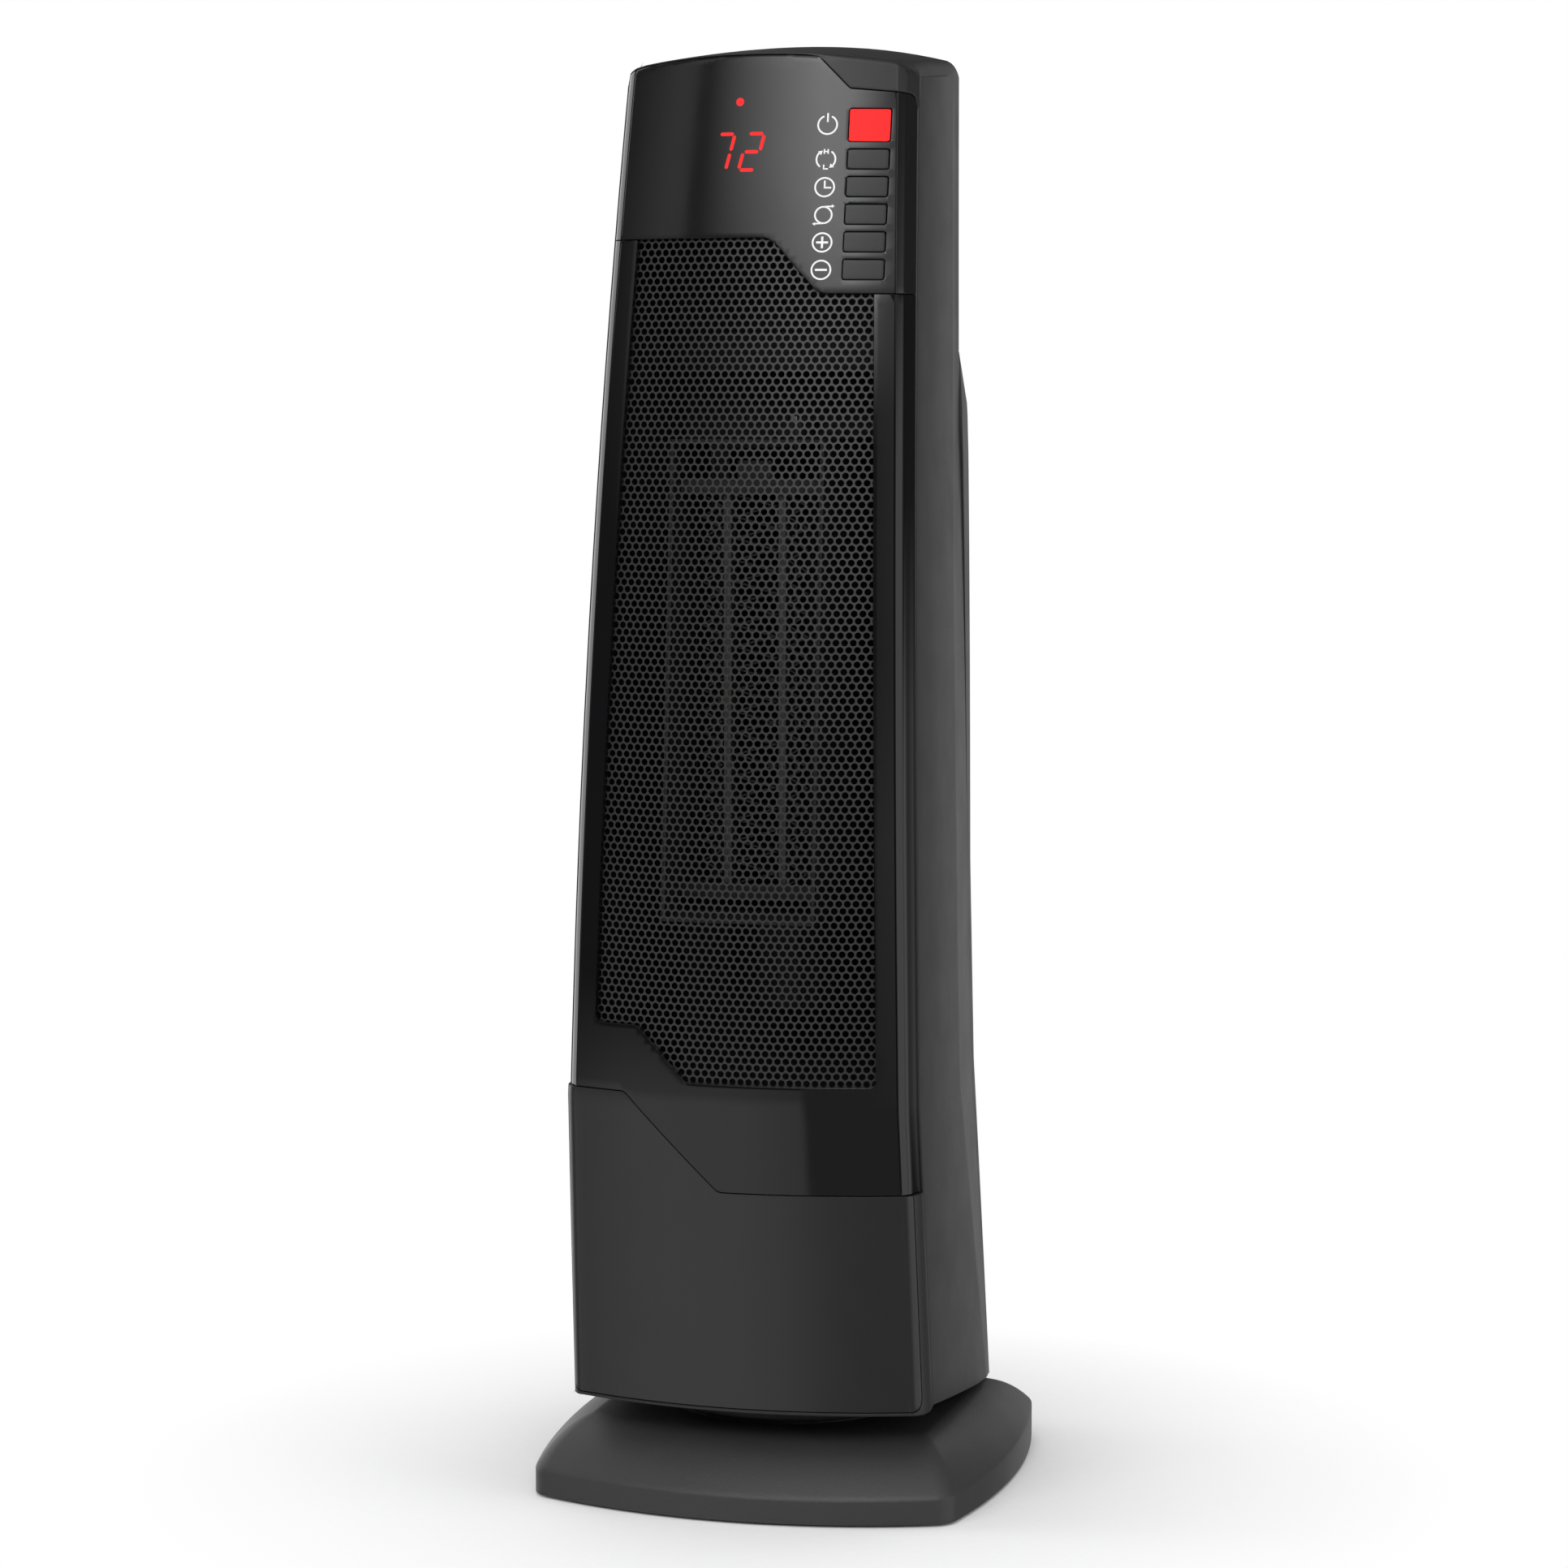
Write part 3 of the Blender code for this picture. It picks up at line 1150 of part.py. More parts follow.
def make_control_panel():
    panel = front_panel("control_panel", control_panel_outline(), PANEL_FOOT_INSET, SATIN_BLACK)
    front = -FRONT_EDGE_BELLY - OVERRUN
    holes = [prism("hole", button_outline(low, high, BUTTON_CLEARANCE), front, 0.0, "Y", SATIN_BLACK)
             for _, low, high in button_spans()]
    combine(panel, merged("holes", holes), "DIFFERENCE")
    places = [(BOARD_POST_LEFT_X, BOARD_POST_HIGH_Z), (BOARD_POST_LEFT_X, BOARD_POST_LEFT_LOW_Z),
              (BOARD_POST_RIGHT_X, BOARD_POST_HIGH_Z), (BOARD_POST_RIGHT_X, BOARD_POST_RIGHT_LOW_Z)]
    posts = [cylinder("post", BOARD_POST_RADIUS, float(front_surface(x, z)) + PANEL_WALL / 2.0, 0.0,
                      SATIN_BLACK, (x, z), "Y", SMALL_ROUND_STEPS) for x, z in places]
    posts = merged("posts", posts)
    behind = board_slab("behind", FIT_GAP, -OVERRUN * 2.0, -far_side(), far_side(),
                        BOARD_BOTTOM_Z - OVERRUN, BOARD_TOP_Z + OVERRUN, SATIN_BLACK)
    combine(posts, behind, "DIFFERENCE")
    return smooth(combine(panel, posts, "UNION"))


def make_button(name, low, high):
    """A cap through the panel, a flange behind it and a stem that presses the switch."""
    finish = RED_PLASTIC if name == "power_button" else SATIN_BLACK
    centre_x, centre_z = BUTTON_LEFT_X + BUTTON_WIDTH / 2.0, (low + high) / 2.0
    flange_y = float(front_edge(high)) + BUTTON_FLANGE_SETBACK
    cap = front_block(name, 0.0, -BUTTON_PROUD, 0.0)
    front = -FRONT_EDGE_BELLY - OVERRUN
    edge = prism("edge", button_outline(low, high, 0.0), front, flange_y + JOIN_OVERLAP / 2.0, "Y", finish)
    combine(cap, edge, "INTERSECT")
    flange = prism("flange", button_outline(low, high, BUTTON_FLANGE), flange_y,
                   flange_y + BUTTON_FLANGE_THICKNESS, "Y", finish)
    combine(cap, flange, "UNION")
    stem_end = board_front(centre_z) - SWITCH_HEIGHT - BUTTON_TRAVEL - FIT_GAP
    half = BUTTON_STEM / 2.0
    stem = box("stem", (centre_x - half, flange_y + JOIN_OVERLAP / 2.0, centre_z - half),
               (centre_x + half, stem_end, centre_z + half), finish)
    combine(cap, stem, "UNION")
    cap.data.materials.clear()
    cap.data.materials.append(material_of(name, finish))
    return pivot(cap, (centre_x, flange_y, centre_z))


def make_control_board():
    """The board, cut to the panel's outline, with one switch behind each button."""
    board = board_slab("control_board", 0.0, -BOARD_THICKNESS, BOARD_LEFT_X, BOARD_RIGHT_X,
                       BOARD_BOTTOM_Z, BOARD_TOP_Z, BOARD_GREEN)
    outline = inset_outline(control_panel_outline(), BOARD_EDGE_CLEARANCE)
    combine(board, prism("edge", outline, -FRONT_EDGE_BELLY - OVERRUN, 0.0, "Y", BOARD_GREEN), "INTERSECT")
    centre_x, half = BUTTON_LEFT_X + BUTTON_WIDTH / 2.0, SWITCH_SIZE / 2.0
    switches = []
    for _, low, high in button_spans():
        z = (low + high) / 2.0
        face = board_front(z)
        switches.append(box("switch", (centre_x - half, face - SWITCH_HEIGHT, z - half),
                            (centre_x + half, face + JOIN_OVERLAP, z + half), BOARD_GREEN))
    return combine(board, merged("switches", switches), "UNION")


def make_display_module():
    half = DISPLAY_WIDTH / 2.0
    return board_slab("display_module", FIT_GAP, FIT_GAP + DISPLAY_DEPTH, DISPLAY_CENTRE_X - half,
                      DISPLAY_CENTRE_X + half, DISPLAY_BOTTOM_Z, DISPLAY_TOP_Z, WHITE_PLASTIC)


def make_bezel():
    bezel = front_panel("grille_bezel", bezel_outline(), PANEL_FOOT_INSET, GLOSS_BLACK)
    outline = np.array(mesh_opening_outline(0.0))
    top = outline[:, 1] > PANEL_BOTTOM_RIGHT_Z - SEAM_GAP
    outline[top, 1] += OVERRUN
    opening = prism("opening", outline, -FRONT_EDGE_BELLY - OVERRUN, 0.0, "Y", GLOSS_BLACK)
    return smooth(combine(bezel, opening, "DIFFERENCE"))


def make_lower_cover():
    return smooth(front_panel("lower_front_cover", cover_outline(), COVER_FOOT_INSET, SATIN_BLACK))


def grille_holes(outline):
    """Staggered six-sided holes, whole ones only."""
    row_pitch = MESH_PITCH * math.sqrt(3.0) / 2.0
    room = inset_outline(outline, MESH_HOLE_RADIUS + MESH_LAND)
    low, high = np.min(outline, axis=0), np.max(outline, axis=0)
    rows = int((high[1] - low[1]) / row_pitch) + 1
    columns = int((high[0] - low[0]) / MESH_PITCH) + 2
    holes = []
    for row in range(rows):
        z = low[1] + MESH_HOLE_RADIUS + MESH_LAND + row * row_pitch
        shift = MESH_PITCH / 2.0 * (row % 2)
        spots = [((column - columns // 2) * MESH_PITCH + shift, z) for column in range(columns)]
        kept = inside(room, spots)
        for (x, z), keep in zip(spots, kept):
            if keep:
                holes.append(circle(MESH_HOLE_RADIUS, HOLE_SIDES, (x, z))[::-1])
    return holes


def make_mesh_grille():
    """A bowed plate behind the bezel; its holes are coarser here than the real ones."""
    outline = np.array(mesh_opening_outline(MESH_MARGIN))
    outline = inset_outline(outline, SEAM_GAP)
    holes = grille_holes(np.array(mesh_opening_outline(0.0)))
    flat, edges = [], []
    for loop in [outline] + holes:
        start = len(flat)
        flat += [Vector(point) for point in loop]
        edges += [(start + i, start + (i + 1) % len(loop)) for i in range(len(loop))]
    spots, _, triangles, _, _, _ = delaunay_2d_cdt(flat, edges, [], 0, FIT_GAP / 1000.0)
    spots = np.array([tuple(spot) for spot in spots])
    triangles = np.array([list(face) for face in triangles])
    middles = spots[triangles].mean(axis=1)
    keep = inside(outline, middles)
    for hole in holes:
        keep &= ~inside(hole, middles)
    triangles = triangles[keep]
    front_depth = PANEL_WALL + FIT_GAP
    surface = front_surface(spots[:, 0], spots[:, 1])
    layers = [np.column_stack([spots[:, 0], surface + depth, spots[:, 1]])
              for depth in (front_depth, front_depth + MESH_THICKNESS)]
    count = len(spots)
    faces = [list(face) for face in triangles] + [[i + count for i in face[::-1]] for face in triangles]
    ends = np.concatenate([triangles[:, [0, 1]], triangles[:, [1, 2]], triangles[:, [2, 0]]])
    paired = {(a, b) for a, b in ends.tolist()}
    faces += [[b, a, a + count, b + count] for a, b in sorted(paired) if (b, a) not in paired]
    return solid("mesh_grille", np.concatenate(layers), faces, BLACK_STEEL)


# Heater duct and element


def make_duct_frame():
    """The rectangular mouth in front of the element, cut to follow the leaning front."""
    high, low = DUCT_TOP_Z, DUCT_BOTTOM_Z
    front = DUCT_FRONT_BOTTOM_Y - OVERRUN
    half = DUCT_HALF_WIDTH
    outline = [(-half, low), (half, low), (half, high), (-half, high)]
    duct = prism("duct_frame", outline, front, DUCT_REAR_Y, "Y", HEAT_PLASTIC)
    hole = prism("hole", inset_outline(outline, DUCT_WALL), front - OVERRUN, DUCT_REAR_Y + OVERRUN, "Y",
                 HEAT_PLASTIC)
    combine(duct, hole, "DIFFERENCE")
    slope = (DUCT_FRONT_TOP_Y - DUCT_FRONT_BOTTOM_Y) / (high - low)
    ahead = [(DUCT_FRONT_BOTTOM_Y - slope * OVERRUN, low - OVERRUN),
             (DUCT_FRONT_TOP_Y + slope * OVERRUN, high + OVERRUN),
             (front - OVERRUN, high + OVERRUN), (front - OVERRUN, low - OVERRUN)]
    return combine(duct, prism("ahead", ahead, -far_side(), far_side(), "X", HEAT_PLASTIC), "DIFFERENCE")


def make_heater_rail(name, centre_x):
    half = RAIL_WIDTH / 2.0
    low = (centre_x - half, ELEMENT_FRONT_Y, ELEMENT_BOTTOM_Z)
    high = (centre_x + half, ELEMENT_FRONT_Y + ELEMENT_DEPTH, ELEMENT_TOP_Z)
    return box(name, low, high, CERAMIC)


def make_fin_pack(name, left, right):
    """One zigzag strip of aluminium between the rails."""
    heights = np.linspace(ELEMENT_BOTTOM_Z, ELEMENT_TOP_Z, 2 * FIN_TURNS + 1)
    step, width = heights[1] - heights[0], right - left
    half = FIN_THICKNESS / 2.0 * math.hypot(step, width) / step
    ends = (left + FIT_GAP + half, right - FIT_GAP - half)
    middle = [(ends[i % 2], z) for i, z in enumerate(heights)]
    outline = [(x + half, z) for x, z in middle] + [(x - half, z) for x, z in middle[::-1]]
    return prism(name, outline, ELEMENT_FRONT_Y, ELEMENT_FRONT_Y + ELEMENT_DEPTH, "Y", ALUMINIUM)


def make_element_holder(name, low):
    half = DUCT_HALF_WIDTH - DUCT_WALL - FIT_GAP
    front, rear = ELEMENT_FRONT_Y - HOLDER_EXTRA_DEPTH, ELEMENT_FRONT_Y + ELEMENT_DEPTH + HOLDER_EXTRA_DEPTH
    return box(name, (-half, front, low), (half, rear, low + HOLDER_HEIGHT), HEAT_PLASTIC)


def make_thermal_cutout():
    low = ELEMENT_TOP_Z + 2.0 * FIT_GAP + HOLDER_HEIGHT
    half = CUTOUT_WIDTH / 2.0
    return box("thermal_cutout", (-half, ELEMENT_FRONT_Y, low),
               (half, ELEMENT_FRONT_Y + ELEMENT_DEPTH, low + CUTOUT_HEIGHT), BRIGHT_STEEL)


def make_element():
    rail_half = RAIL_WIDTH / 2.0
    inner, outer = RAIL_CENTRE_X - rail_half, RAIL_CENTRE_X + rail_half
    return [
        make_heater_rail("heater_rail_left", -RAIL_CENTRE_X),
        make_heater_rail("heater_rail_right", RAIL_CENTRE_X),
        make_fin_pack("fin_pack_left", -FIN_PACK_OUTER_X, -outer),
        make_fin_pack("fin_pack_centre", -inner, inner),
        make_fin_pack("fin_pack_right", outer, FIN_PACK_OUTER_X),
        make_element_holder("element_holder_top", ELEMENT_TOP_Z + FIT_GAP),
        make_element_holder("element_holder_bottom", ELEMENT_BOTTOM_Z - FIT_GAP - HOLDER_HEIGHT),
        make_thermal_cutout(),
    ]


# Blower


def casing_outline(inset):
    """The casing's plan: a rising curve round the wheel that ends in the duct's mouth."""
    half = DUCT_HALF_WIDTH
    bend = WHEEL_RADIUS + CASING_WALL
    depth = CASING_REAR_Y - WHEEL_Y
    turn = np.radians([0.0, 22.5, 45.0, 67.5, 90.0, 112.5, 135.0, 157.5, 180.0])
    width = np.interp(turn, (0.0, math.pi), (half + 2.0 * CASING_WALL, bend + 2.0 * CASING_WALL))
    arc = [(w * math.cos(a), WHEEL_Y + depth * math.sin(a)) for a, w in zip(turn, width)]
    outline = [(-half, CASING_MOUTH_Y), (half, CASING_MOUTH_Y)] + arc
    return inset_outline(outline, inset) if inset else np.array(outline)


def make_blower_casing():
    casing = prism("blower_casing", casing_outline(0.0), DUCT_BOTTOM_Z, DUCT_TOP_Z, "Z", HEAT_PLASTIC)
    low, high = DUCT_BOTTOM_Z + CASING_PLATE, DUCT_TOP_Z - CASING_PLATE
    combine(casing, prism("hollow", casing_outline(CASING_WALL), low, high, "Z", HEAT_PLASTIC), "DIFFERENCE")
    half = DUCT_HALF_WIDTH - CASING_WALL
    mouth = box("mouth", (-half, CASING_MOUTH_Y - OVERRUN, low),
                (half, CASING_MOUTH_Y + 2.0 * CASING_WALL, high), HEAT_PLASTIC)
    combine(casing, mouth, "DIFFERENCE")
    intake = box("intake", (-far_side(), INTAKE_EDGE_Y, low), (INTAKE_EDGE_X, CASING_REAR_Y + OVERRUN, high),
                 HEAT_PLASTIC)
    combine(casing, intake, "DIFFERENCE")
    bore = cylinder("bore", SHAFT_RADIUS + SHAFT_PASS_CLEARANCE, low - OVERRUN, high + OVERRUN, HEAT_PLASTIC,
                    (0.0, WHEEL_Y), steps=SMALL_ROUND_STEPS)
    return combine(casing, bore, "DIFFERENCE")


def blade_outline(angle):
    """A bent blade between the wheel's inner and outer radius."""
    middle = (WHEEL_INNER_RADIUS + WHEEL_RADIUS) / 2.0
    skew = math.radians(BLADE_SKEW_DEGREES)
    radii = (WHEEL_INNER_RADIUS, middle, WHEEL_RADIUS - BLADE_THICKNESS)
    turns = (angle, angle + skew * BLADE_MIDDLE_SKEW_SHARE, angle + skew)
    half = BLADE_THICKNESS / 2.0
    points = [(r * math.cos(a), r * math.sin(a)) for r, a in zip(radii, turns)]
    across = [(-half * math.sin(a), half * math.cos(a)) for a in turns]
    near = [(x - u, y - v) for (x, y), (u, v) in zip(points, across)]
    far = [(x + u, y + v) for (x, y), (u, v) in zip(points, across)]
    return [(x, WHEEL_Y + y) for x, y in near + far[::-1]]


def make_blower_wheel():
    low = DUCT_BOTTOM_Z + CASING_PLATE + WHEEL_END_GAP
    high = DUCT_TOP_Z - CASING_PLATE - WHEEL_END_GAP
    centre = (0.0, WHEEL_Y)
    wheel = cylinder("blower_wheel", WHEEL_RADIUS, low, low + WHEEL_DISC, BLACK_STEEL, centre,
                     steps=ROUND_STEPS - 8)
    angles = np.linspace(0.0, 2.0 * math.pi, BLADE_COUNT, endpoint=False)
    start, end = low + WHEEL_DISC / 2.0, high - WHEEL_DISC / 2.0
    blades = [prism("blade", blade_outline(a), start, end, "Z", BLACK_STEEL) for a in angles]
    combine(wheel, merged("blades", blades), "UNION")
    top = cylinder("disc", WHEEL_RADIUS, high - WHEEL_DISC, high, BLACK_STEEL, centre, steps=ROUND_STEPS - 8)
    combine(wheel, top, "UNION")
    bore = cylinder("bore", SHAFT_RADIUS + SHAFT_CLEARANCE, low - OVERRUN, high + OVERRUN, BLACK_STEEL,
                    centre, steps=SMALL_ROUND_STEPS)
    combine(wheel, bore, "DIFFERENCE")
    return smooth(pivot(wheel, (0.0, WHEEL_Y, low)))


def make_blower_shaft():
    low = DUCT_BOTTOM_Z
    high = DUCT_TOP_Z + FIT_GAP + BEARING_HEIGHT + SHAFT_TOP_PAST_BEARING
    shaft = cylinder("blower_shaft", SHAFT_RADIUS, low, high, BRIGHT_STEEL, (0.0, WHEEL_Y),
                     steps=SMALL_ROUND_STEPS)
    return pivot(shaft, (0.0, WHEEL_Y, low))


def make_upper_bearing():
    low = DUCT_TOP_Z + FIT_GAP
    return ring("upper_bearing", SHAFT_RADIUS + SHAFT_CLEARANCE, BEARING_RADIUS, low,
                low + BEARING_HEIGHT, BRIGHT_STEEL, (0.0, WHEEL_Y), steps=SMALL_ROUND_STEPS)


def make_blower_motor():
    high = DUCT_BOTTOM_Z - FIT_GAP
    return smooth(cylinder("blower_motor", MOTOR_RADIUS, high - MOTOR_HEIGHT, high, BRIGHT_STEEL,
                           (0.0, WHEEL_Y), steps=ROUND_STEPS // 2))


# Assembly


def clear_scene():
    for item in list(bpy.data.objects):
        bpy.data.objects.remove(item)


def make_empty(name, place):
    empty = bpy.data.objects.new(name, None)
    empty.location = place
    bpy.context.scene.collection.objects.link(empty)
    return empty


def build():
    clear_scene()
    make_stand_cover()
    make_bearing_cup()
    make_stand_plate()
    make_feet()
    make_stand_screws()
    make_drive_guide()
    make_slide_ring()
    tower = [make_tower_floor(), make_turntable_dish(), make_retainer(), make_swing_motor(),
             make_housing(), make_rear_cover(),
             make_intake_grille(), make_cord_inlet(), make_control_panel(), make_control_board(),
             make_display_module(), make_bezel(), make_lower_cover(), make_mesh_grille(), make_duct_frame(),
             make_blower_casing(), make_upper_bearing(), make_blower_motor()]
    tower += make_rear_screws() + make_element()
    movers = [make_swing_crank(), make_blower_wheel(), make_blower_shaft()]
    movers += [make_button(name, low, high) for name, low, high in button_spans()]
    carried_by(make_empty("swing_axis", (0.0, 0.0, dish_z())), tower + movers)


if __name__ == "__main__":
    build()
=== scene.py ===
"""Looks of the swinging tower heater: finer surfaces, finishes, camera and studio.

Metres, +Z up, the front towards -Y. Each shape is a function of two parameters worked out
with numpy on the same named sizes as the solid model, so every piece sits where its solid is.
"""

import logging
import math
from dataclasses import dataclass
from enum import Enum
from typing import Callable, Sequence, Union

import bmesh
import bpy
import numpy as np
from mathutils import Euler, Matrix, Vector
from mathutils.geometry import delaunay_2d_cdt

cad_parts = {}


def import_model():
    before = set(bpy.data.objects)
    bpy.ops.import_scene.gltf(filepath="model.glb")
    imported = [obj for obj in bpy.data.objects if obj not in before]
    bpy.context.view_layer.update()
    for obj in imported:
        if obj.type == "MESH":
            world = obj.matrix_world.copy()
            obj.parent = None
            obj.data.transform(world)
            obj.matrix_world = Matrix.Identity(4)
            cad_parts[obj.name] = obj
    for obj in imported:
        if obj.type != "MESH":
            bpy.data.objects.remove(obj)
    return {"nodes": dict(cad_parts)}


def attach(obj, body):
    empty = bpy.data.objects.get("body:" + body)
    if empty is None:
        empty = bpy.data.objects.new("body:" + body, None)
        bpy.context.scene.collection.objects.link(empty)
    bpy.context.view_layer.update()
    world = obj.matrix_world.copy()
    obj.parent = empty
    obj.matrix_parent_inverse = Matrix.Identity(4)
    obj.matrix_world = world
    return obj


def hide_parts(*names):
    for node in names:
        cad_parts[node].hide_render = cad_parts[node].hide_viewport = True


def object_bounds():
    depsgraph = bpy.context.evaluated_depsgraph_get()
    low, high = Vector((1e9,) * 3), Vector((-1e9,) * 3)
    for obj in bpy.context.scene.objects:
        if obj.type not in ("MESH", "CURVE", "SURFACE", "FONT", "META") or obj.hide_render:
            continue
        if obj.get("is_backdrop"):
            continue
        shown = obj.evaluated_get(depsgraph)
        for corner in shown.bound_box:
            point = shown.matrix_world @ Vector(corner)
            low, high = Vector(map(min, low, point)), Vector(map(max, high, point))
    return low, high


LOG = logging.getLogger("tower_heater")
Array = np.ndarray
Item = bpy.types.Object
Spot = Sequence[float]
Surface = Callable[[Array, Array], Array]
MM = 0.001
# Shares: the most of a side that a corner's curve takes, and how near a net's loose points come
# to extra columns and to edges, in pitches. CUT_GAP is the same for an edge's own points.
CURVE_SHARE, COLUMN_SHARE, EDGE_SHARE = 0.48, 0.4, 0.3
CUT_GAP = 0.4 * MM


class Body(str, Enum):
    """The two bodies that the shells ride on; each key has its own."""

    STAND = "stand"
    TOWER = "tower"


# Shader maths


class Wire:
    """A value socket on which arithmetic adds Math nodes."""

    def __init__(self, graph: "Graph", socket: bpy.types.NodeSocket) -> None:
        """Wraps a socket.

        Args:
            graph: The graph that the socket belongs to.
            socket: The output socket.
        """
        self.graph = graph
        self.socket = socket

    def __add__(self, other: "Feed") -> "Wire":
        """Sum of two values."""
        return self.graph.maths("ADD", self, other)

    __radd__ = __add__

    def __mul__(self, other: "Feed") -> "Wire":
        """Product of two values."""
        return self.graph.maths("MULTIPLY", self, other)

    __rmul__ = __mul__

    def __sub__(self, other: "Feed") -> "Wire":
        """Difference of two values."""
        return self.graph.maths("SUBTRACT", self, other)

    def __rsub__(self, other: "Feed") -> "Wire":
        """Difference with this value taken away."""
        return self.graph.maths("SUBTRACT", other, self)

    def __truediv__(self, other: "Feed") -> "Wire":
        """Quotient of two values."""
        return self.graph.maths("DIVIDE", self, other)

    def clamped(self) -> "Wire":
        """The value kept between 0 and 1."""
        return self.graph.node("ShaderNodeClamp", {}, {"Value": self})


Feed = Union[float, tuple, Wire]


class Graph:
    """The node tree of a material or of the world, written as expressions."""

    def __init__(self, name: str, kind: str = "materials", shader: str = "Principled BSDF") -> None:
        """Starts a tree that holds one shader.

        Args:
            name: The material's or the world's name.
            kind: Whether it is one of the materials or of the worlds.
            shader: The name of the shader that it starts with.
        """
        self.owner = getattr(bpy.data, kind).new(name)
        self.owner.use_nodes = True
        self.tree = self.owner.node_tree
        self.shader = self.tree.nodes[shader]

    def node(self, kind: str, settings: dict, inputs: dict, output: Union[int, str] = 0) -> Wire:
        """Adds one node.

        Args:
            kind: The node's type.
            settings: Attributes that are set before the inputs.
            inputs: A value or wire for each named or numbered input.
            output: The name or number of the output that is returned.

        Returns:
            The chosen output.
        """
        made = self.tree.nodes.new(kind)
        for key, value in settings.items():
            setattr(made, key, value)
        for key, value in inputs.items():
            self.feed(made.inputs[key], value)
        return Wire(self, made.outputs[output])

    def feed(self, socket: bpy.types.NodeSocket, value: Feed) -> None:
        """Sets a socket or links a wire to it.

        Args:
            socket: The input.
            value: What it gets.
        """
        if isinstance(value, Wire):
            self.tree.links.new(value.socket, socket)
        else:
            socket.default_value = value

    def maths(self, operation: str, *values: Feed) -> Wire:
        """One Math node on one or two values."""
        return self.node("ShaderNodeMath", {"operation": operation}, dict(enumerate(values)))

    def place(self) -> Wire:
        """Object coordinates, in metres."""
        return self.node("ShaderNodeTexCoord", {}, {}, "Object")

    def axes(self) -> tuple:
        """The three object coordinates as separate wires."""
        split = self.node("ShaderNodeSeparateXYZ", {}, {0: self.place()})
        return tuple(Wire(self, socket) for socket in split.socket.node.outputs)

    def noise(self, grain: float, detail: float = 2.0, rough: float = 0.5) -> Wire:
        """Noise whose features are about the grain's size.

        Args:
            grain: The size of a feature in metres.
            detail: How many finer layers it has.
            rough: How strong the finer layers are.

        Returns:
            A value between 0 and 1.
        """
        inputs = {"Vector": self.place(), "Scale": 1.0 / grain, "Detail": detail, "Roughness": rough}
        return self.node("ShaderNodeTexNoise", {}, inputs, "Fac")

    def mix(self, share: Feed, first: Feed, second: Feed) -> Wire:
        """A colour between two colours."""
        return self.node("ShaderNodeMix", {"data_type": "RGBA"}, {0: share, 6: first, 7: second}, 2)

    def bump(self, height: Wire, depth: float, strength: float = 1.0) -> None:
        """Feeds the Normal from a height between 0 and 1, which stands for the depth in metres."""
        inputs = {"Height": height, "Distance": depth, "Strength": strength}
        self.feed(self.shader.inputs["Normal"], self.node("ShaderNodeBump", {}, inputs))

    def surface(self, shader: Wire) -> None:
        """Makes a shader what the material shows."""
        self.feed(self.tree.nodes["Material Output"].inputs["Surface"], shader)

    def put(self, **values: Feed) -> None:
        """Sets or links inputs of the shader, named with underscores for blanks."""
        for key, value in values.items():
            self.feed(self.shader.inputs[key.replace("_", " ")], value)


def opaque(colour: Spot) -> tuple:
    """A colour with full alpha."""
    return (*colour, 1.0)


@dataclass(frozen=True)
class MouldedPlastic:
    """Moulded plastic: an even colour with a fine grain pressed into it.

    The grain is noise bump of the grain's size; broad soft noise varies the roughness and, a
    little, the colour.
    """

    name: str
    colour: tuple
    roughness: float
    grain: float = 0.45 * MM
    depth: float = 0.05 * MM
    mottle: float = 0.12
    gloss: float = 0.5
    blotch: float = 18.0 * MM
    unevenness: float = 0.10

    def material(self) -> bpy.types.Material:
        """Builds the material.

        Returns:
            The material.
        """
        graph = Graph(self.name)
        fine = graph.noise(self.grain, 2.0, 0.6)
        broad = graph.noise(self.blotch)
        light = tuple(min(1.0, c * (1.0 + self.mottle)) for c in self.colour)
        dark = tuple(c * (1.0 - self.mottle) for c in self.colour)
        graph.put(
            Base_Color=graph.mix(fine * 0.7 + broad * 0.3, opaque(dark), opaque(light)),
            Roughness=(broad - 0.5) * self.unevenness + (fine - 0.5) * self.unevenness + self.roughness,
            Specular_IOR_Level=self.gloss,
        )
        graph.bump(fine, self.depth)
        return graph.owner


@dataclass(frozen=True)
class BrushedMetal:
    """Metal with a fine scratched grain and soft blotches in its colour."""

    name: str
    colour: tuple
    roughness: float
    metallic: float = 1.0
    scratch: float = 0.2 * MM
    blotch: float = 7.0 * MM
    depth: float = 0.01 * MM
    unevenness: float = 0.2

    def material(self) -> bpy.types.Material:
        """Builds the material.

        Returns:
            The material.
        """
        graph = Graph(self.name)
        fine = graph.noise(self.scratch, 3.0, 0.7)
        broad = graph.noise(self.blotch)
        dark = tuple(c * 0.82 for c in self.colour)
        graph.put(
            Base_Color=graph.mix(broad, opaque(dark), opaque(self.colour)),
            Roughness=(fine - 0.5) * self.unevenness + self.roughness,
            Metallic=self.metallic,
        )
        graph.bump(fine, self.depth)
        return graph.owner


@dataclass(frozen=True)
class Ink:
    """Printed or lit lettering, with the print's slightly uneven cover."""

    name: str
    colour: tuple
    glow: float = 0.0
    roughness: float = 0.45
    gloss: float = 0.5
    unlit: tuple = ()
    grain: float = 0.5 * MM

    def material(self) -> bpy.types.Material:
        """Builds the material.

        Returns:
            The material.
        """
        graph = Graph(self.name)
        patchy = graph.noise(self.grain)
        base = self.unlit or self.colour
        worn = tuple(c * 0.9 for c in base)
        graph.put(
            Base_Color=graph.mix(patchy, opaque(worn), opaque(base)),
            Roughness=(patchy - 0.5) * 0.1 + self.roughness,
            Specular_IOR_Level=self.gloss,
            Emission_Color=opaque(self.colour),
            Emission_Strength=self.glow,
        )
        return graph.owner


# Mesh helpers


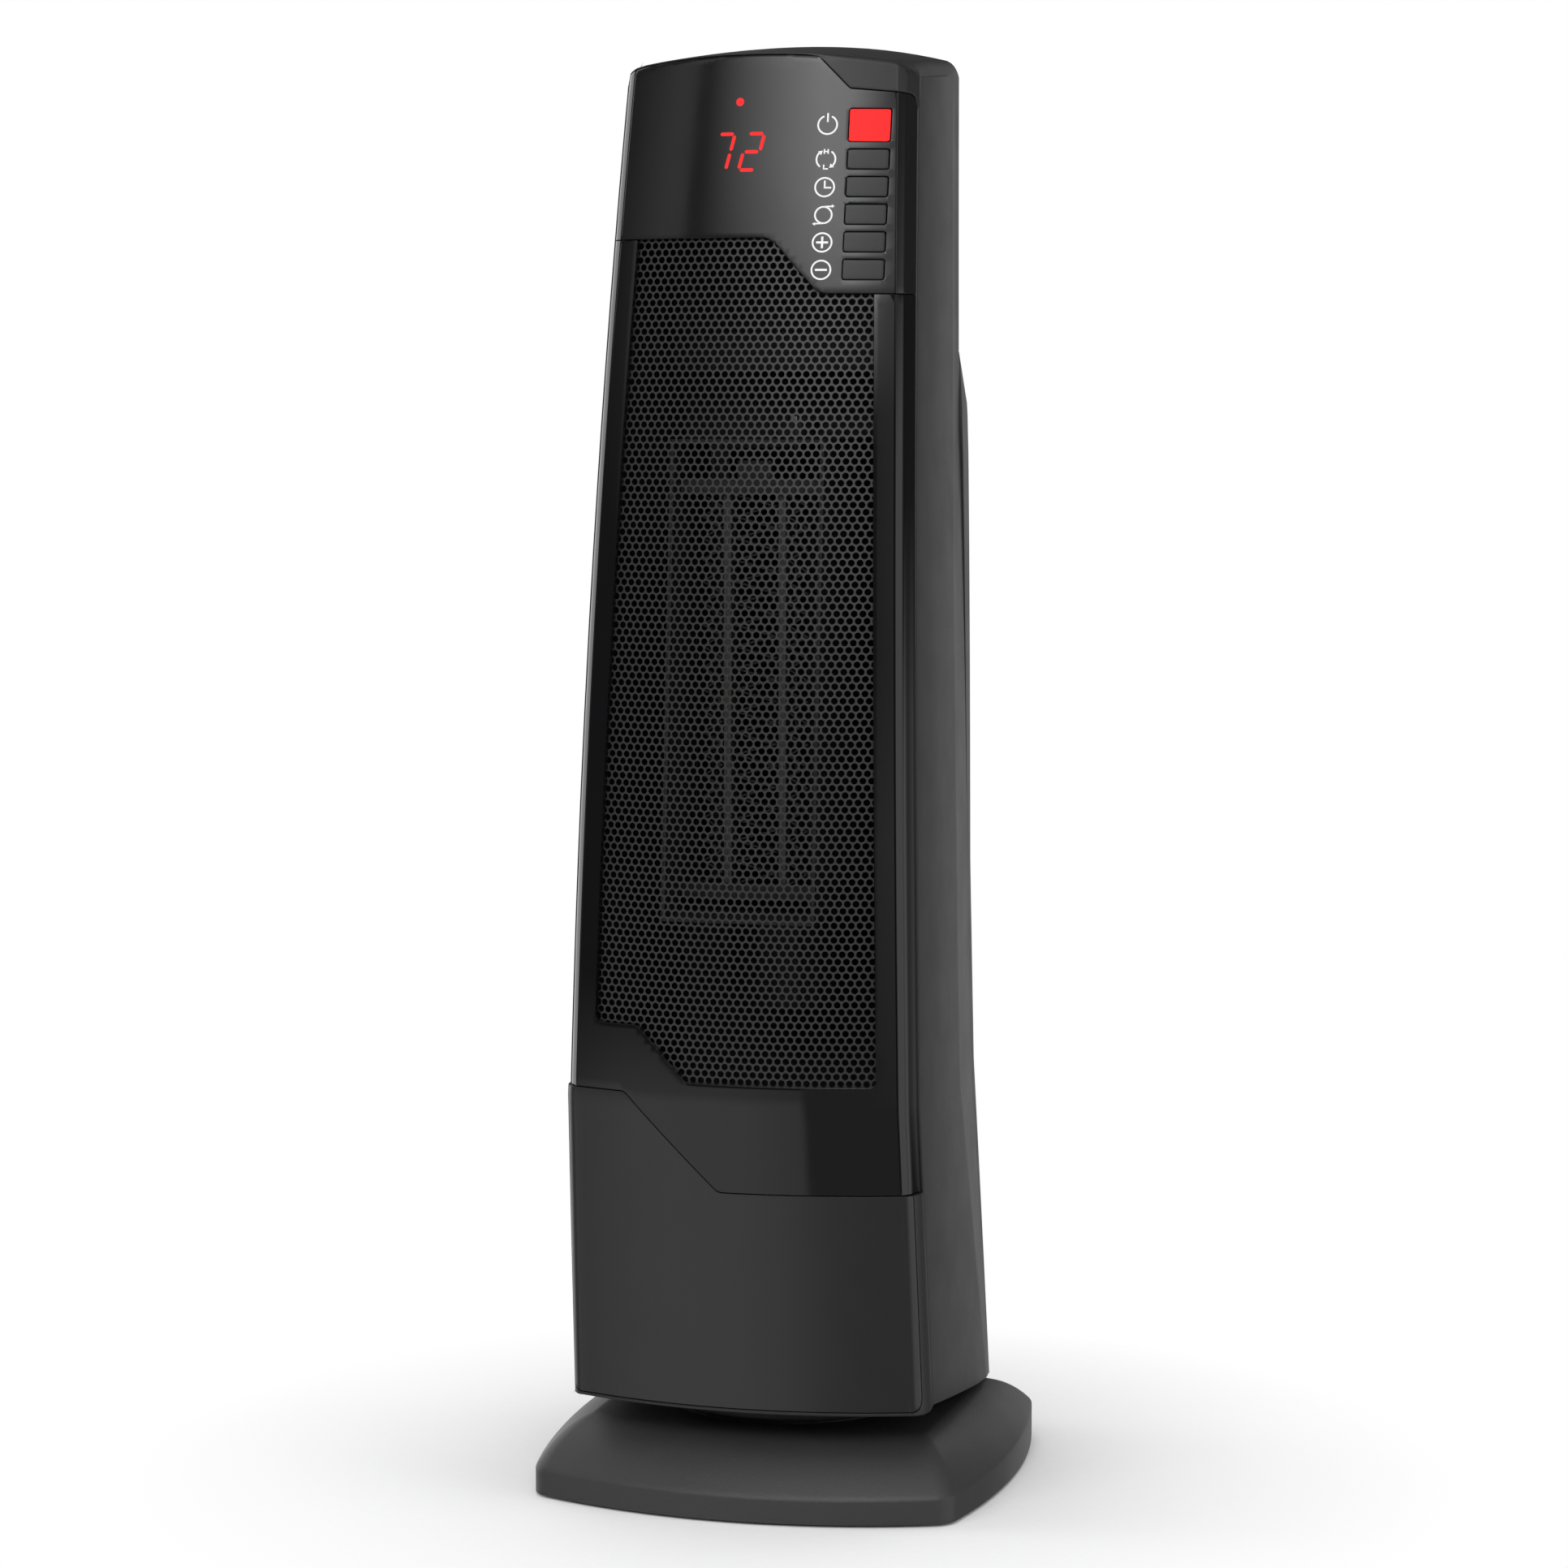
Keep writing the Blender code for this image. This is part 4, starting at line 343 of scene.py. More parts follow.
def linked(name: str, data: bpy.types.ID) -> Item:
    """A new object of a mesh, a lamp or a camera in the scene.

    Args:
        name: The piece's name.
        data: What it shows.

    Returns:
        The object.
    """
    item = bpy.data.objects.new(name, data)
    bpy.context.scene.collection.objects.link(item)
    return item


def circle(degrees: Array, radius: float, centre: Spot = (0.0, 0.0)) -> Array:
    """Points on a circle at angles in degrees."""
    turn = np.radians(degrees)
    return np.asarray(centre) + np.column_stack([np.cos(turn), np.sin(turn)]) * radius


def unit(rows: Array) -> Array:
    """Rows scaled to length 1."""
    return rows / np.linalg.norm(rows, axis=1)[:, None]


def stacked(*parts: Array) -> Array:
    """Matching arrays as the columns of a new last axis."""
    return np.stack(np.broadcast_arrays(*parts), -1)


def left_normals(line: Array, order: int = 1) -> Array:
    """Directions of length 1 that point to the left of a line at each of its points."""
    step = np.gradient(line, axis=0, edge_order=order)
    return unit(np.column_stack([-step[:, 1], step[:, 0]]))


def from_arrays(name: str, points: Array, faces: Array) -> Item:
    """An object from vertex positions and equally sided faces.

    Args:
        name: The object's name.
        points: Positions, one row each.
        faces: Vertex numbers, one row of three or four for each face.

    Returns:
        The new object.
    """
    mesh = bpy.data.meshes.new(name)
    sides = faces.shape[1]
    mesh.vertices.add(len(points))
    mesh.vertices.foreach_set("co", np.ascontiguousarray(points, np.float32).ravel())
    mesh.loops.add(faces.size)
    mesh.loops.foreach_set("vertex_index", np.ascontiguousarray(faces, np.int32).ravel())
    mesh.polygons.add(len(faces))
    mesh.polygons.foreach_set("loop_start", np.arange(0, faces.size, sides, dtype=np.int32))
    mesh.update(calc_edges=True)
    mesh.validate()
    return linked(name, mesh)


def grid_faces(rows: int, columns: int, around: bool = False, closed: bool = False) -> Array:
    """Quads between the points of a grid.

    Args:
        rows: How many rows of points.
        columns: How many points in a row.
        around: Whether each row's end joins its start.
        closed: Whether the last row joins the first.

    Returns:
        Four vertex numbers for each quad.
    """
    down = np.arange(rows if closed else rows - 1)[:, None]
    across = np.arange(columns if around else columns - 1)[None, :]
    below = (down + 1) % rows
    beside = (across + 1) % columns
    return stacked(down * columns + across, down * columns + beside,
                   below * columns + beside, below * columns + across).reshape(-1, 4)


def grid_piece(name: str, points: Array, around: bool = False, closed: bool = False,
               turned: bool = False) -> Item:
    """An object from a grid of points, rows by columns by three."""
    faces = grid_faces(points.shape[0], points.shape[1], around, closed)
    return from_arrays(name, points.reshape(-1, 3), faces[:, ::-1] if turned else faces)


def merged(name: str, items: Sequence[Item], reach: float = 0.01 * MM) -> Item:
    """Joins objects into one mesh and merges vertices that meet.

    Args:
        name: The new object's name.
        items: The objects, which are used up.
        reach: How near vertices are merged.

    Returns:
        The joined object.
    """
    made = bmesh.new()
    for item in items:
        made.from_mesh(item.data)
        bpy.data.objects.remove(item)
    bmesh.ops.remove_doubles(made, verts=made.verts, dist=reach)
    bmesh.ops.dissolve_degenerate(made, edges=made.edges, dist=reach * 0.1)
    mesh = bpy.data.meshes.new(name)
    made.to_mesh(mesh)
    made.free()
    return linked(name, mesh)


def walled(item: Item, wall: float, edge: float, degrees: float = 50.0,
           segments: int = 2) -> Item:
    """Gives a sheet a wall behind it and rounds its edges.

    Args:
        item: The sheet, its faces turned outwards.
        wall: The wall's thickness.
        edge: The edges' rounding.
        degrees: The least angle that is rounded.
        segments: How many steps the rounding has.

    Returns:
        The same object.
    """
    if wall:
        thick = item.modifiers.new("Wall", "SOLIDIFY")
        thick.thickness = wall
        thick.offset = -1.0
        thick.use_quality_normals = True
    round_off = item.modifiers.new("Edge", "BEVEL")
    round_off.width = edge
    round_off.segments = segments
    round_off.limit_method = "ANGLE"
    round_off.angle_limit = math.radians(degrees)
    round_off.use_clamp_overlap = False
    return applied(item)


def applied(item: Item) -> Item:
    """Makes the modifiers' result the mesh.

    Args:
        item: The piece.

    Returns:
        The same object.
    """
    graph = bpy.context.evaluated_depsgraph_get()
    shaped = bpy.data.meshes.new_from_object(item.evaluated_get(graph))
    item.modifiers.clear()
    item.data = shaped
    return item


def smooth(item: Item, degrees: float = 38.0) -> Item:
    """Shades the piece smooth up to an angle, its large faces leading the shading.

    Args:
        item: The piece.
        degrees: Edges sharper than this stay sharp.

    Returns:
        The same object.
    """
    item.data.shade_smooth()
    item.data.set_sharp_from_angle(angle=math.radians(degrees))
    even = item.modifiers.new("Normals", "WEIGHTED_NORMAL")
    even.mode = "FACE_AREA_WITH_ANGLE"
    even.keep_sharp = True
    return applied(item)


def dressed(item: Item, finish: bpy.types.Material, slot: str, body: str,
            *nodes: str) -> Item:
    """Gives a new piece its finish and its body, and hides the solids it stands for.

    Args:
        item: The piece.
        finish: Its material.
        slot: The record's material slot; not used.
        body: The body that it rides on.
        nodes: The solids that it replaces.

    Returns:
        The same object.
    """
    item.data.materials.clear()
    item.data.materials.append(finish)
    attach(item, body)
    if nodes:
        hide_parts(*nodes)
    LOG.info("%s on %s: %d faces", item.name, str(body.value if isinstance(body, Body) else body),
             len(item.data.polygons))
    return item


def filleted(outline: Sequence[Spot], cuts: Spot, steps: int = 6) -> Array:
    """An outline whose corners are rounded by a quadratic curve.

    Args:
        outline: Corners in order.
        cuts: How far from each corner its curve starts.
        steps: How many pieces each curve has.

    Returns:
        The rounded outline's points.
    """
    points = np.asarray(outline, float)
    made = []
    for i, corner in enumerate(points):
        before, after = points[i - 1] - corner, points[(i + 1) % len(points)] - corner
        cut = cuts[i]
        if not cut:
            made.append(corner[None])
            continue
        start, end = (corner + way / np.linalg.norm(way) * min(cut, CURVE_SHARE * np.linalg.norm(way))
                      for way in (before, after))
        t = np.linspace(0.0, 1.0, steps + 1)[:, None]
        made.append((1 - t) ** 2 * start + 2 * t * (1 - t) * corner + t**2 * end)
    return np.concatenate(made)


def divided(outline: Array, longest: float, across: Spot = ()) -> Array:
    """The outline with its long sides cut into equal lengths and at some first parameters.

    Args:
        outline: Points in order.
        longest: The longest side that is left whole.
        across: First parameters at which every side is cut as well.

    Returns:
        The finer outline.
    """
    made = []
    for start, end in zip(outline, np.roll(outline, -1, axis=0)):
        count = max(1, int(math.ceil(np.linalg.norm(end - start) / longest)))
        shares = np.arange(count) / count
        run = end[0] - start[0]
        if len(across) and abs(run) > 0.01 * MM:
            cuts = (np.asarray(across) - start[0]) / run
            cuts = cuts[(cuts > 0.0) & (cuts < 1.0)]
            near = np.abs(shares[:, None] - cuts[None, :]).min(axis=1) if len(cuts) else np.ones(count)
            shares = shares[(near * abs(run) > CUT_GAP) | (shares == 0.0)]
            shares = np.sort(np.concatenate([shares, cuts]))
            shares = shares[np.concatenate([[True], np.diff(shares) * abs(run) > 0.02 * MM])]
        made.append(start + (end - start) * shares[:, None])
    return np.concatenate(made)


def inside(outline: Array, spots: Array) -> Array:
    """Whether each spot lies within the outline, by counting crossings to its right.

    Args:
        outline: The edge's points.
        spots: The spots.

    Returns:
        True or false for each spot.
    """
    a, b = outline, np.roll(outline, -1, axis=0)
    spots = spots[:, None, :]
    crosses = (a[:, 1] > spots[..., 1]) != (b[:, 1] > spots[..., 1])
    rise = np.where(b[:, 1] == a[:, 1], 1.0, b[:, 1] - a[:, 1])
    meet = a[:, 0] + (spots[..., 1] - a[:, 1]) * (b[:, 0] - a[:, 0]) / rise
    return (crosses & (spots[..., 0] < meet)).sum(axis=1) % 2 == 1


def clear_of(outline: Array, spots: Array, distance: float) -> Array:
    """Whether each spot is further than the distance from the outline's sides.

    Args:
        outline: The edge's points.
        spots: The spots.
        distance: The least distance.

    Returns:
        True or false for each spot.
    """
    a, b = outline, np.roll(outline, -1, axis=0)
    step = b - a
    length = np.maximum((step**2).sum(1), 1e-18)
    share = np.clip(((spots[:, None] - a) * step).sum(-1) / length, 0.0, 1.0)
    near = a + share[..., None] * step
    return (((spots[:, None] - near) ** 2).sum(-1) > distance**2).all(axis=1)


def plate(name: str, surface: Surface, outline: Array, holes: Sequence[Array] = (),
          pitch: float = 3.0 * MM, across: Spot = (),
          crease: Array = np.empty((0, 2))) -> Item:
    """A sheet cut to an outline, laid on a surface of two parameters.

    The outline, the holes and a grid of points inside are joined by a constrained Delaunay
    net in the plane of the two parameters, and the whole net is then placed on the surface.

    Args:
        name: The piece's name.
        surface: Gives positions for the two parameters.
        outline: The edge, counter-clockwise.
        holes: Openings' edges.
        pitch: The net's spacing.
        across: First parameters at which extra columns of points stand.
        crease: Points along a line at which the surface bends.

    Returns:
        The sheet, its faces turned to the side from which the outline is counter-clockwise.
    """
    edge = divided(np.asarray(outline, float), pitch, across)
    rings = [edge] + [divided(np.asarray(hole, float), pitch, across) for hole in holes]
    low, high = edge.min(0), edge.max(0)
    columns = np.arange(low[0], high[0], pitch)
    if len(across):
        apart = np.abs(columns[:, None] - np.asarray(across)[None, :]).min(axis=1)
        columns = np.sort(np.concatenate([columns[apart > COLUMN_SHARE * pitch], np.asarray(across)]))
    lattice = np.stack(np.meshgrid(columns, np.arange(low[1], high[1], pitch)), -1).reshape(-1, 2)
    if len(crease):
        lattice = np.concatenate([lattice[clear_of(crease, lattice, EDGE_SHARE * pitch)], crease])
    lattice = lattice[inside(edge, lattice)]
    for ring in rings:
        lattice = lattice[clear_of(ring, lattice, EDGE_SHARE * pitch)]
    for hole in rings[1:]:
        lattice = lattice[~inside(hole, lattice)]
    spots = np.concatenate(rings + [lattice])
    sides, start = [], 0
    for ring in rings:
        numbers = np.arange(start, start + len(ring))
        sides += np.column_stack([numbers, np.roll(numbers, -1)]).tolist()
        start += len(ring)
    net = delaunay_2d_cdt([Vector(s) for s in (spots / MM).tolist()], sides, [], 0, 1e-5)
    flat = np.array([tuple(v) for v in net[0]]) * MM
    faces = np.array([face for face in net[2] if len(face) == 3])
    middles = flat[faces].mean(axis=1)
    keep = inside(edge, middles)
    for hole in rings[1:]:
        keep &= ~inside(hole, middles)
    faces = faces[keep]
    a, b, c = flat[faces[:, 0]], flat[faces[:, 1]], flat[faces[:, 2]]
    turn = (b - a)[:, 0] * (c - a)[:, 1] - (b - a)[:, 1] * (c - a)[:, 0]
    faces[turn < 0] = faces[turn < 0][:, ::-1]
    return from_arrays(name, surface(flat[:, 0], flat[:, 1]), faces)


def rectangle(left: float, low: float, right: float, high: float, cut: float, laid: Callable) -> Array:
    """A rounded rectangle in x and z, laid on a surface.

    Args:
        left: Its left side.
        low: Its lower side.
        right: Its right side.
        high: Its upper side.
        cut: How far from each corner the rounding starts.
        laid: Turns x and z into the surface's parameters.

    Returns:
        The outline in the surface's parameters, counter-clockwise.
    """
    return filleted(laid([(left, low), (right, low), (right, high), (left, high)]), [cut] * 4)


# The tower's outline


@dataclass(frozen=True)
class TowerOutline:
    """The tower's plan as it changes with height, and its sloping top and bottom."""

    bottom_z: float = 0.0310
    front_bottom_z: float = 0.0406
    bottom_slope_share: float = 0.088
    bottom_level_y: float = 0.0550
    belly_z: float = 0.1653
    top_front_z: float = 0.5782
    top_front_y: float = 0.0500
    top_slope_share: float = 0.140
    top_crown_radius: float = 1.25
    top_arch_rise: float = 0.0064
    top_arch_growth_share: float = 0.018
    top_half_width: float = 0.0600
    top_edge_radius: float = 0.0052
    top_edge_reach: float = 0.0095
    top_edge_shares: tuple = (-0.72, -0.16)
    top_rear_radius: float = 0.0062
    bottom_half_width: float = 0.0746
    width_taper_share: float = 0.0151
    width_curve_radius: float = 23.1
    front_edge_belly: float = 0.0816
    front_lean_share: float = 0.024
    front_curve_radius: float = 2.40
    front_undercut_share: float = 0.104
    rim_setback: float = 0.0108
    rim_undercut_share: float = 0.018
    front_bulge: float = 0.0120
    flat_end_inset: float = 0.0065
    side_rear_belly: float = 0.0045
    side_curve_radius: float = 2.50
    side_flare_share: float = 0.312
    side_edge_depth: float = 0.0080
    side_edge_inset: float = 0.0006
    facet_depth: float = 0.0215
    facet_shares: tuple = (0.112, 0.062)
    facet_share_heights: tuple = (0.250, 0.420)
    knee_z: float = 0.4310
    hump_full_z: float = 0.4400
    hump_top_z: float = 0.4625
    hump_rear_top: float = 0.0530
    rear_bottom: float = 0.0575
    rear_corner_radius: float = 0.0020
    seam_inset: float = 0.0034

    def half_width(self, z: Array) -> Array:
        """Half the tower's width: it narrows upwards along a wide curve."""
        rise = z - self.bottom_z
        return (self.bottom_half_width - self.width_taper_share * rise
                - rise**2 / (2.0 * self.width_curve_radius))

    def from_belly(self, z: Array) -> tuple:
        """How far heights lie above the belly and how far below it."""
        return np.maximum(z - self.belly_z, 0.0), np.maximum(self.belly_z - z, 0.0)

    def front_edge(self, z: Array) -> Array:
        """Where the bowed front ends at its sides: it leans back above the belly and below it."""
        rise, under = self.from_belly(z)
        return (self.front_lean_share * rise + rise**2 / (2.0 * self.front_curve_radius)
                - self.front_edge_belly + self.front_undercut_share * under)

    def rim(self, z: Array) -> Array:
        """The housing's front corner, behind the front panels."""
        return self.front_edge(z) + self.rim_setback + self.rim_undercut_share * self.from_belly(z)[1]

    def flat_half(self, z: Array) -> Array:
        """Half the width of the bowed front between its shoulders."""
        return self.half_width(z) - self.flat_end_inset

    def side_rear(self, z: Array) -> Array:
        """Where the flat sides end and turn towards the rear facets."""
        rise, under = self.from_belly(z)
        return (rise**2 / (2.0 * self.side_curve_radius) - self.side_rear_belly
                + self.side_flare_share * under)

    def housing_rear(self, z: Array) -> Array:
        """The line where the rear cover begins.

        Args:
            z: Heights.

        Returns:
            Depths.
        """
        knee = self.side_rear(np.array(self.knee_z)) + self.facet_depth
        start = self.rear_bottom - self.seam_inset
        low = np.interp(z, (self.bottom_z, self.knee_z), (start, float(knee)))
        return np.where(z > self.knee_z, self.side_rear(z) + self.facet_depth, low)

    def tower_rear(self, z: Array) -> Array:
        """The rear face: upright behind the blower, leaning above it.

        Args:
            z: Heights.

        Returns:
            Depths.
        """
        upright = np.interp(z, (self.bottom_z, self.hump_full_z), (self.rear_bottom, self.hump_rear_top))
        top = float(self.housing_rear(np.array(self.hump_top_z)))
        ramp = np.interp(z, (self.hump_full_z, self.hump_top_z), (self.hump_rear_top, top))
        above = np.where(z >= self.hump_top_z, self.housing_rear(z), ramp)
        return np.where(z <= self.hump_full_z, upright, above)

    def rear_half_width(self, z: Array) -> Array:
        """Half the width at the rear, after the facets."""
        share = np.interp(z, self.facet_share_heights, self.facet_shares)
        return self.half_width(z) - share * (self.tower_rear(z) - self.side_rear(z))

    def top_half(self, y: Array) -> Array:
        """Half the top's width, from the front to the rear."""
        behind = np.maximum(y - self.side_rear(np.array(self.top_front_z)), 0.0)
        return self.half_width(np.array(self.top_front_z)) - self.facet_shares[-1] * behind

    def top_height(self, x: Array, y: Array) -> Array:
        """The arched top, which rises to the rear and rounds down at the sides and the rear.

        Args:
            x: Distances to the right.
            y: Distances behind the middle.

        Returns:
            Heights.
        """
        def dropped(past: Array, radius: float) -> Array:
            """How far a rounded edge has dropped."""
            past = np.clip(past, 0.0, radius)
            return radius - np.sqrt(radius**2 - past**2)

        back = y + self.top_front_y
        lift = self.top_front_z + self.top_slope_share * back - back**2 / (2.0 * self.top_crown_radius)
        arch = (self.top_arch_rise + self.top_arch_growth_share * back) * (x / self.top_half_width) ** 2
        rear = float(self.tower_rear(np.array(self.top_front_z)))
        radius = self.top_edge_radius
        ends = [share * self.top_front_y for share in self.top_edge_shares]
        reach = np.interp(y, ends, (self.top_edge_reach, radius))
        side_drop = dropped((np.abs(x) - self.top_half(y) + reach) * radius / reach, radius)
        rear_drop = dropped(y - rear + self.top_rear_radius, self.top_rear_radius)
        return lift - arch - side_drop - rear_drop

    def bottom_height(self, y: Array) -> Array:
        """The tower's lower edge, which falls towards the rear."""
        return self.front_bottom_z - self.bottom_slope_share * np.maximum(y + self.bottom_level_y, 0.0)


TOWER = TowerOutline()
# The front's first parameter where its shoulders begin, and the rounds of each height search.
FLAT = 60.0 * MM
ROUNDS = 5


@dataclass(frozen=True)
class FrontSurface:
    """The bowed front and its turned shoulders as a function of (v, z).

    The first parameter is x scaled so that the bowed part always ends at the same value. Up to
    there y follows a parabola. Beyond it, v runs on along a profile of fixed points in millimetres: a fine
    groove, a narrow chamfer and the long turn back to the housing's corner. A plain shoulder
    is a quarter of an ellipse instead. Close under the arched top the surface leans back as a
    narrow brow. Depth moves a point in along y.
    """

    foot_inset: float = 0.5 * MM
    groove: float = 0.3 * MM
    depth: float = 0.0
    reach: float = 15.0 * MM
    plain: bool = False
    brow: float = 1.9 * MM
    brow_depth: float = 0.9 * MM
    profile_out: tuple = (0.0, 0.15, 0.35, 0.5, 0.8, 1.6, 2.4, 3.1, 3.5, 4.0, 4.6, 5.3, 6.0)
    profile_back: tuple = (0.0, 0.05, 0.10, 0.15, 0.40, 1.2, 2.1, 2.95, 3.7, 5.2, 7.0, 9.0, 10.8)

    def shoulder(self) -> tuple:
        """The shoulder's stations, their distances past the flat end and their shares of the turn.

        Returns:
            Four rows: parameters, distances out, shares of the turn and the groove.
        """
        span = TOWER.flat_end_inset - self.foot_inset
        if self.plain:
            turn = np.linspace(0.0, math.pi / 2.0, len(self.profile_out))
            across, back = span * np.sin(turn), TOWER.rim_setback * (1.0 - np.cos(turn))
        else:
            across, back = np.array(self.profile_out) * MM, np.array(self.profile_back) * MM
            across = across * (span / across[-1])
        length = np.concatenate([[0.0], np.cumsum(np.hypot(np.diff(across), np.diff(back)))])
        dip = np.zeros(len(across))
        dip[1:3] = self.groove
        return length * (self.reach / length[-1]), across, back / back[-1], dip

    def __call__(self, v: Array, z: Array) -> Array:
        """Positions on the surface.

        Args:
            v: Scaled distance from the middle, running on past the shoulders.
            z: Height.

        Returns:
            One position for each pair.
        """
        v, z = np.broadcast_arrays(np.asarray(v, float), np.asarray(z, float))
        flat, edge = TOWER.flat_half(z), TOWER.front_edge(z)
        past = np.maximum(np.abs(v) - FLAT, 0.0)
        stations, across, share, dip = self.shoulder()
        side = np.interp(past, stations, across)
        turn = np.interp(past, stations, share) * (TOWER.rim(z) - edge) + np.interp(past, stations, dip)
        near = np.minimum(np.abs(v) / FLAT, 1.0)
        x = np.sign(v) * (near * flat + side)
        y = edge - TOWER.front_bulge * (1.0 - near**2) + turn
        lean = np.clip(1.0 - (TOWER.top_height(x, y) - z) / self.brow, 0.0, 1.0) * self.brow_depth
        return stacked(x, y + lean + self.depth, z)

    def limit(self) -> float:
        """The largest first parameter."""
        return FLAT + self.reach

    def columns(self) -> Array:
        """First parameters at which the surface bends."""
        past = FLAT + self.shoulder()[0]
        return np.concatenate([-past[::-1], past])


def spread(x: Array, z: Array) -> Array:
    """The front surface's first parameter for a distance from the middle at a height."""
    return np.asarray(x, float) * FLAT / TOWER.flat_half(np.asarray(z, float))


def laid_out(points: Sequence[Spot]) -> Array:
    """An outline in x and z turned into the front surface's parameters."""
    points = np.asarray(points, float)
    return np.column_stack([spread(points[:, 0], points[:, 1]), points[:, 1]])


def under_top(surface: FrontSurface, v: Array, below: float) -> Array:
    """The height at which the surface lies a distance below the arched top, found in a few rounds.

    Args:
        surface: The surface it lies on.
        v: First parameters.
        below: How far under the top.

    Returns:
        Heights.
    """
    z = np.full(np.shape(v), TOWER.top_front_z)
    for _ in range(ROUNDS):
        spots = surface(v, z)
        z = TOWER.top_height(spots[..., 0], spots[..., 1]) - below
    return z


class Finishes:
    """Every material of the heater, built once."""

    def plastic(self, name: str, *values: Union[tuple, float]) -> bpy.types.Material:
        """A moulded plastic's material."""
        return MouldedPlastic(name, *values).material()

    def __init__(self) -> None:
        """Builds the materials."""
        self.grained = self.plastic("grained_black", (0.013, 0.013, 0.0135), 0.48)
        # The stand's copy of the grained black plastic is lighter in colour: painted light, so the stand
        # reads as brightly and evenly lit.
        self.stand = self.plastic("stand_black_painted_light", (0.031, 0.031, 0.0315), 0.50, 0.7 * MM, 0.12 * MM)
        self.satin = self.plastic("satin_black", (0.013, 0.013, 0.0135), 0.32, 0.25 * MM, 0.004 * MM, 0.06)
        self.panel = self.plastic("panel_black", (0.008, 0.008, 0.0085), 0.14, 0.3 * MM, 0.001 * MM, 0.05)
        self.gloss = self.plastic("gloss_black", (0.004, 0.004, 0.0045), 0.07, 0.6 * MM, 0.0, 0.05)
        self.button = self.plastic("button_grey", (0.013, 0.013, 0.0135), 0.42, 0.3 * MM, 0.01 * MM)
        self.red = self.plastic("button_red", (0.92, 0.020, 0.020), 0.50, 0.3 * MM, 0.004 * MM, 0.03, 0.25)
        self.mesh = self.plastic("mesh_black", (0.022, 0.022, 0.0225), 0.34, 0.4 * MM, 0.004 * MM, 0.08)
        # The inner black plastic is its own colour, darkened a little further as painted shade for the dark
        # inside of the outlet.
        self.heat = self.plastic("heat_plastic", (0.009, 0.009, 0.009), 0.60)
        self.white = self.plastic("white_plastic", (0.62, 0.62, 0.60), 0.45, 0.8 * MM, 0.01 * MM, 0.04)
        self.board = self.plastic("board_green", (0.030, 0.120, 0.050), 0.40, 1.2 * MM, 0.01 * MM, 0.2)
        self.rubber = self.plastic("rubber_black", (0.012, 0.012, 0.012), 0.90, 0.3 * MM, 0.04 * MM)
        # The rails' ceramic is its own dark grey, darkened further as painted shade for the dark inside of
        # the outlet.
        self.ceramic = self.plastic("ceramic_grey_shaded", (0.034, 0.033, 0.031), 0.60, 0.5 * MM, 0.02 * MM)
        self.steel = BrushedMetal("bright_steel", (0.52, 0.52, 0.54), 0.32).material()
        self.dark_steel = BrushedMetal("black_steel", (0.020, 0.020, 0.022), 0.45, 0.6).material()
        # The fins' aluminium is darkened far below its own tone: painted shade for the dark inside of the
        # outlet.
        self.aluminium = BrushedMetal(
            "fin_aluminium_shaded", (0.045, 0.045, 0.047), 0.45, 0.8, 0.1 * MM
        ).material()
        self.print = Ink("print_white", (0.80, 0.80, 0.80), 0.0).material()
        self.lit = Ink("lit_red", (1.0, 0.045, 0.045), 1.0, 0.6, 0.0, (0.05, 0.0, 0.0)).material()


# Front


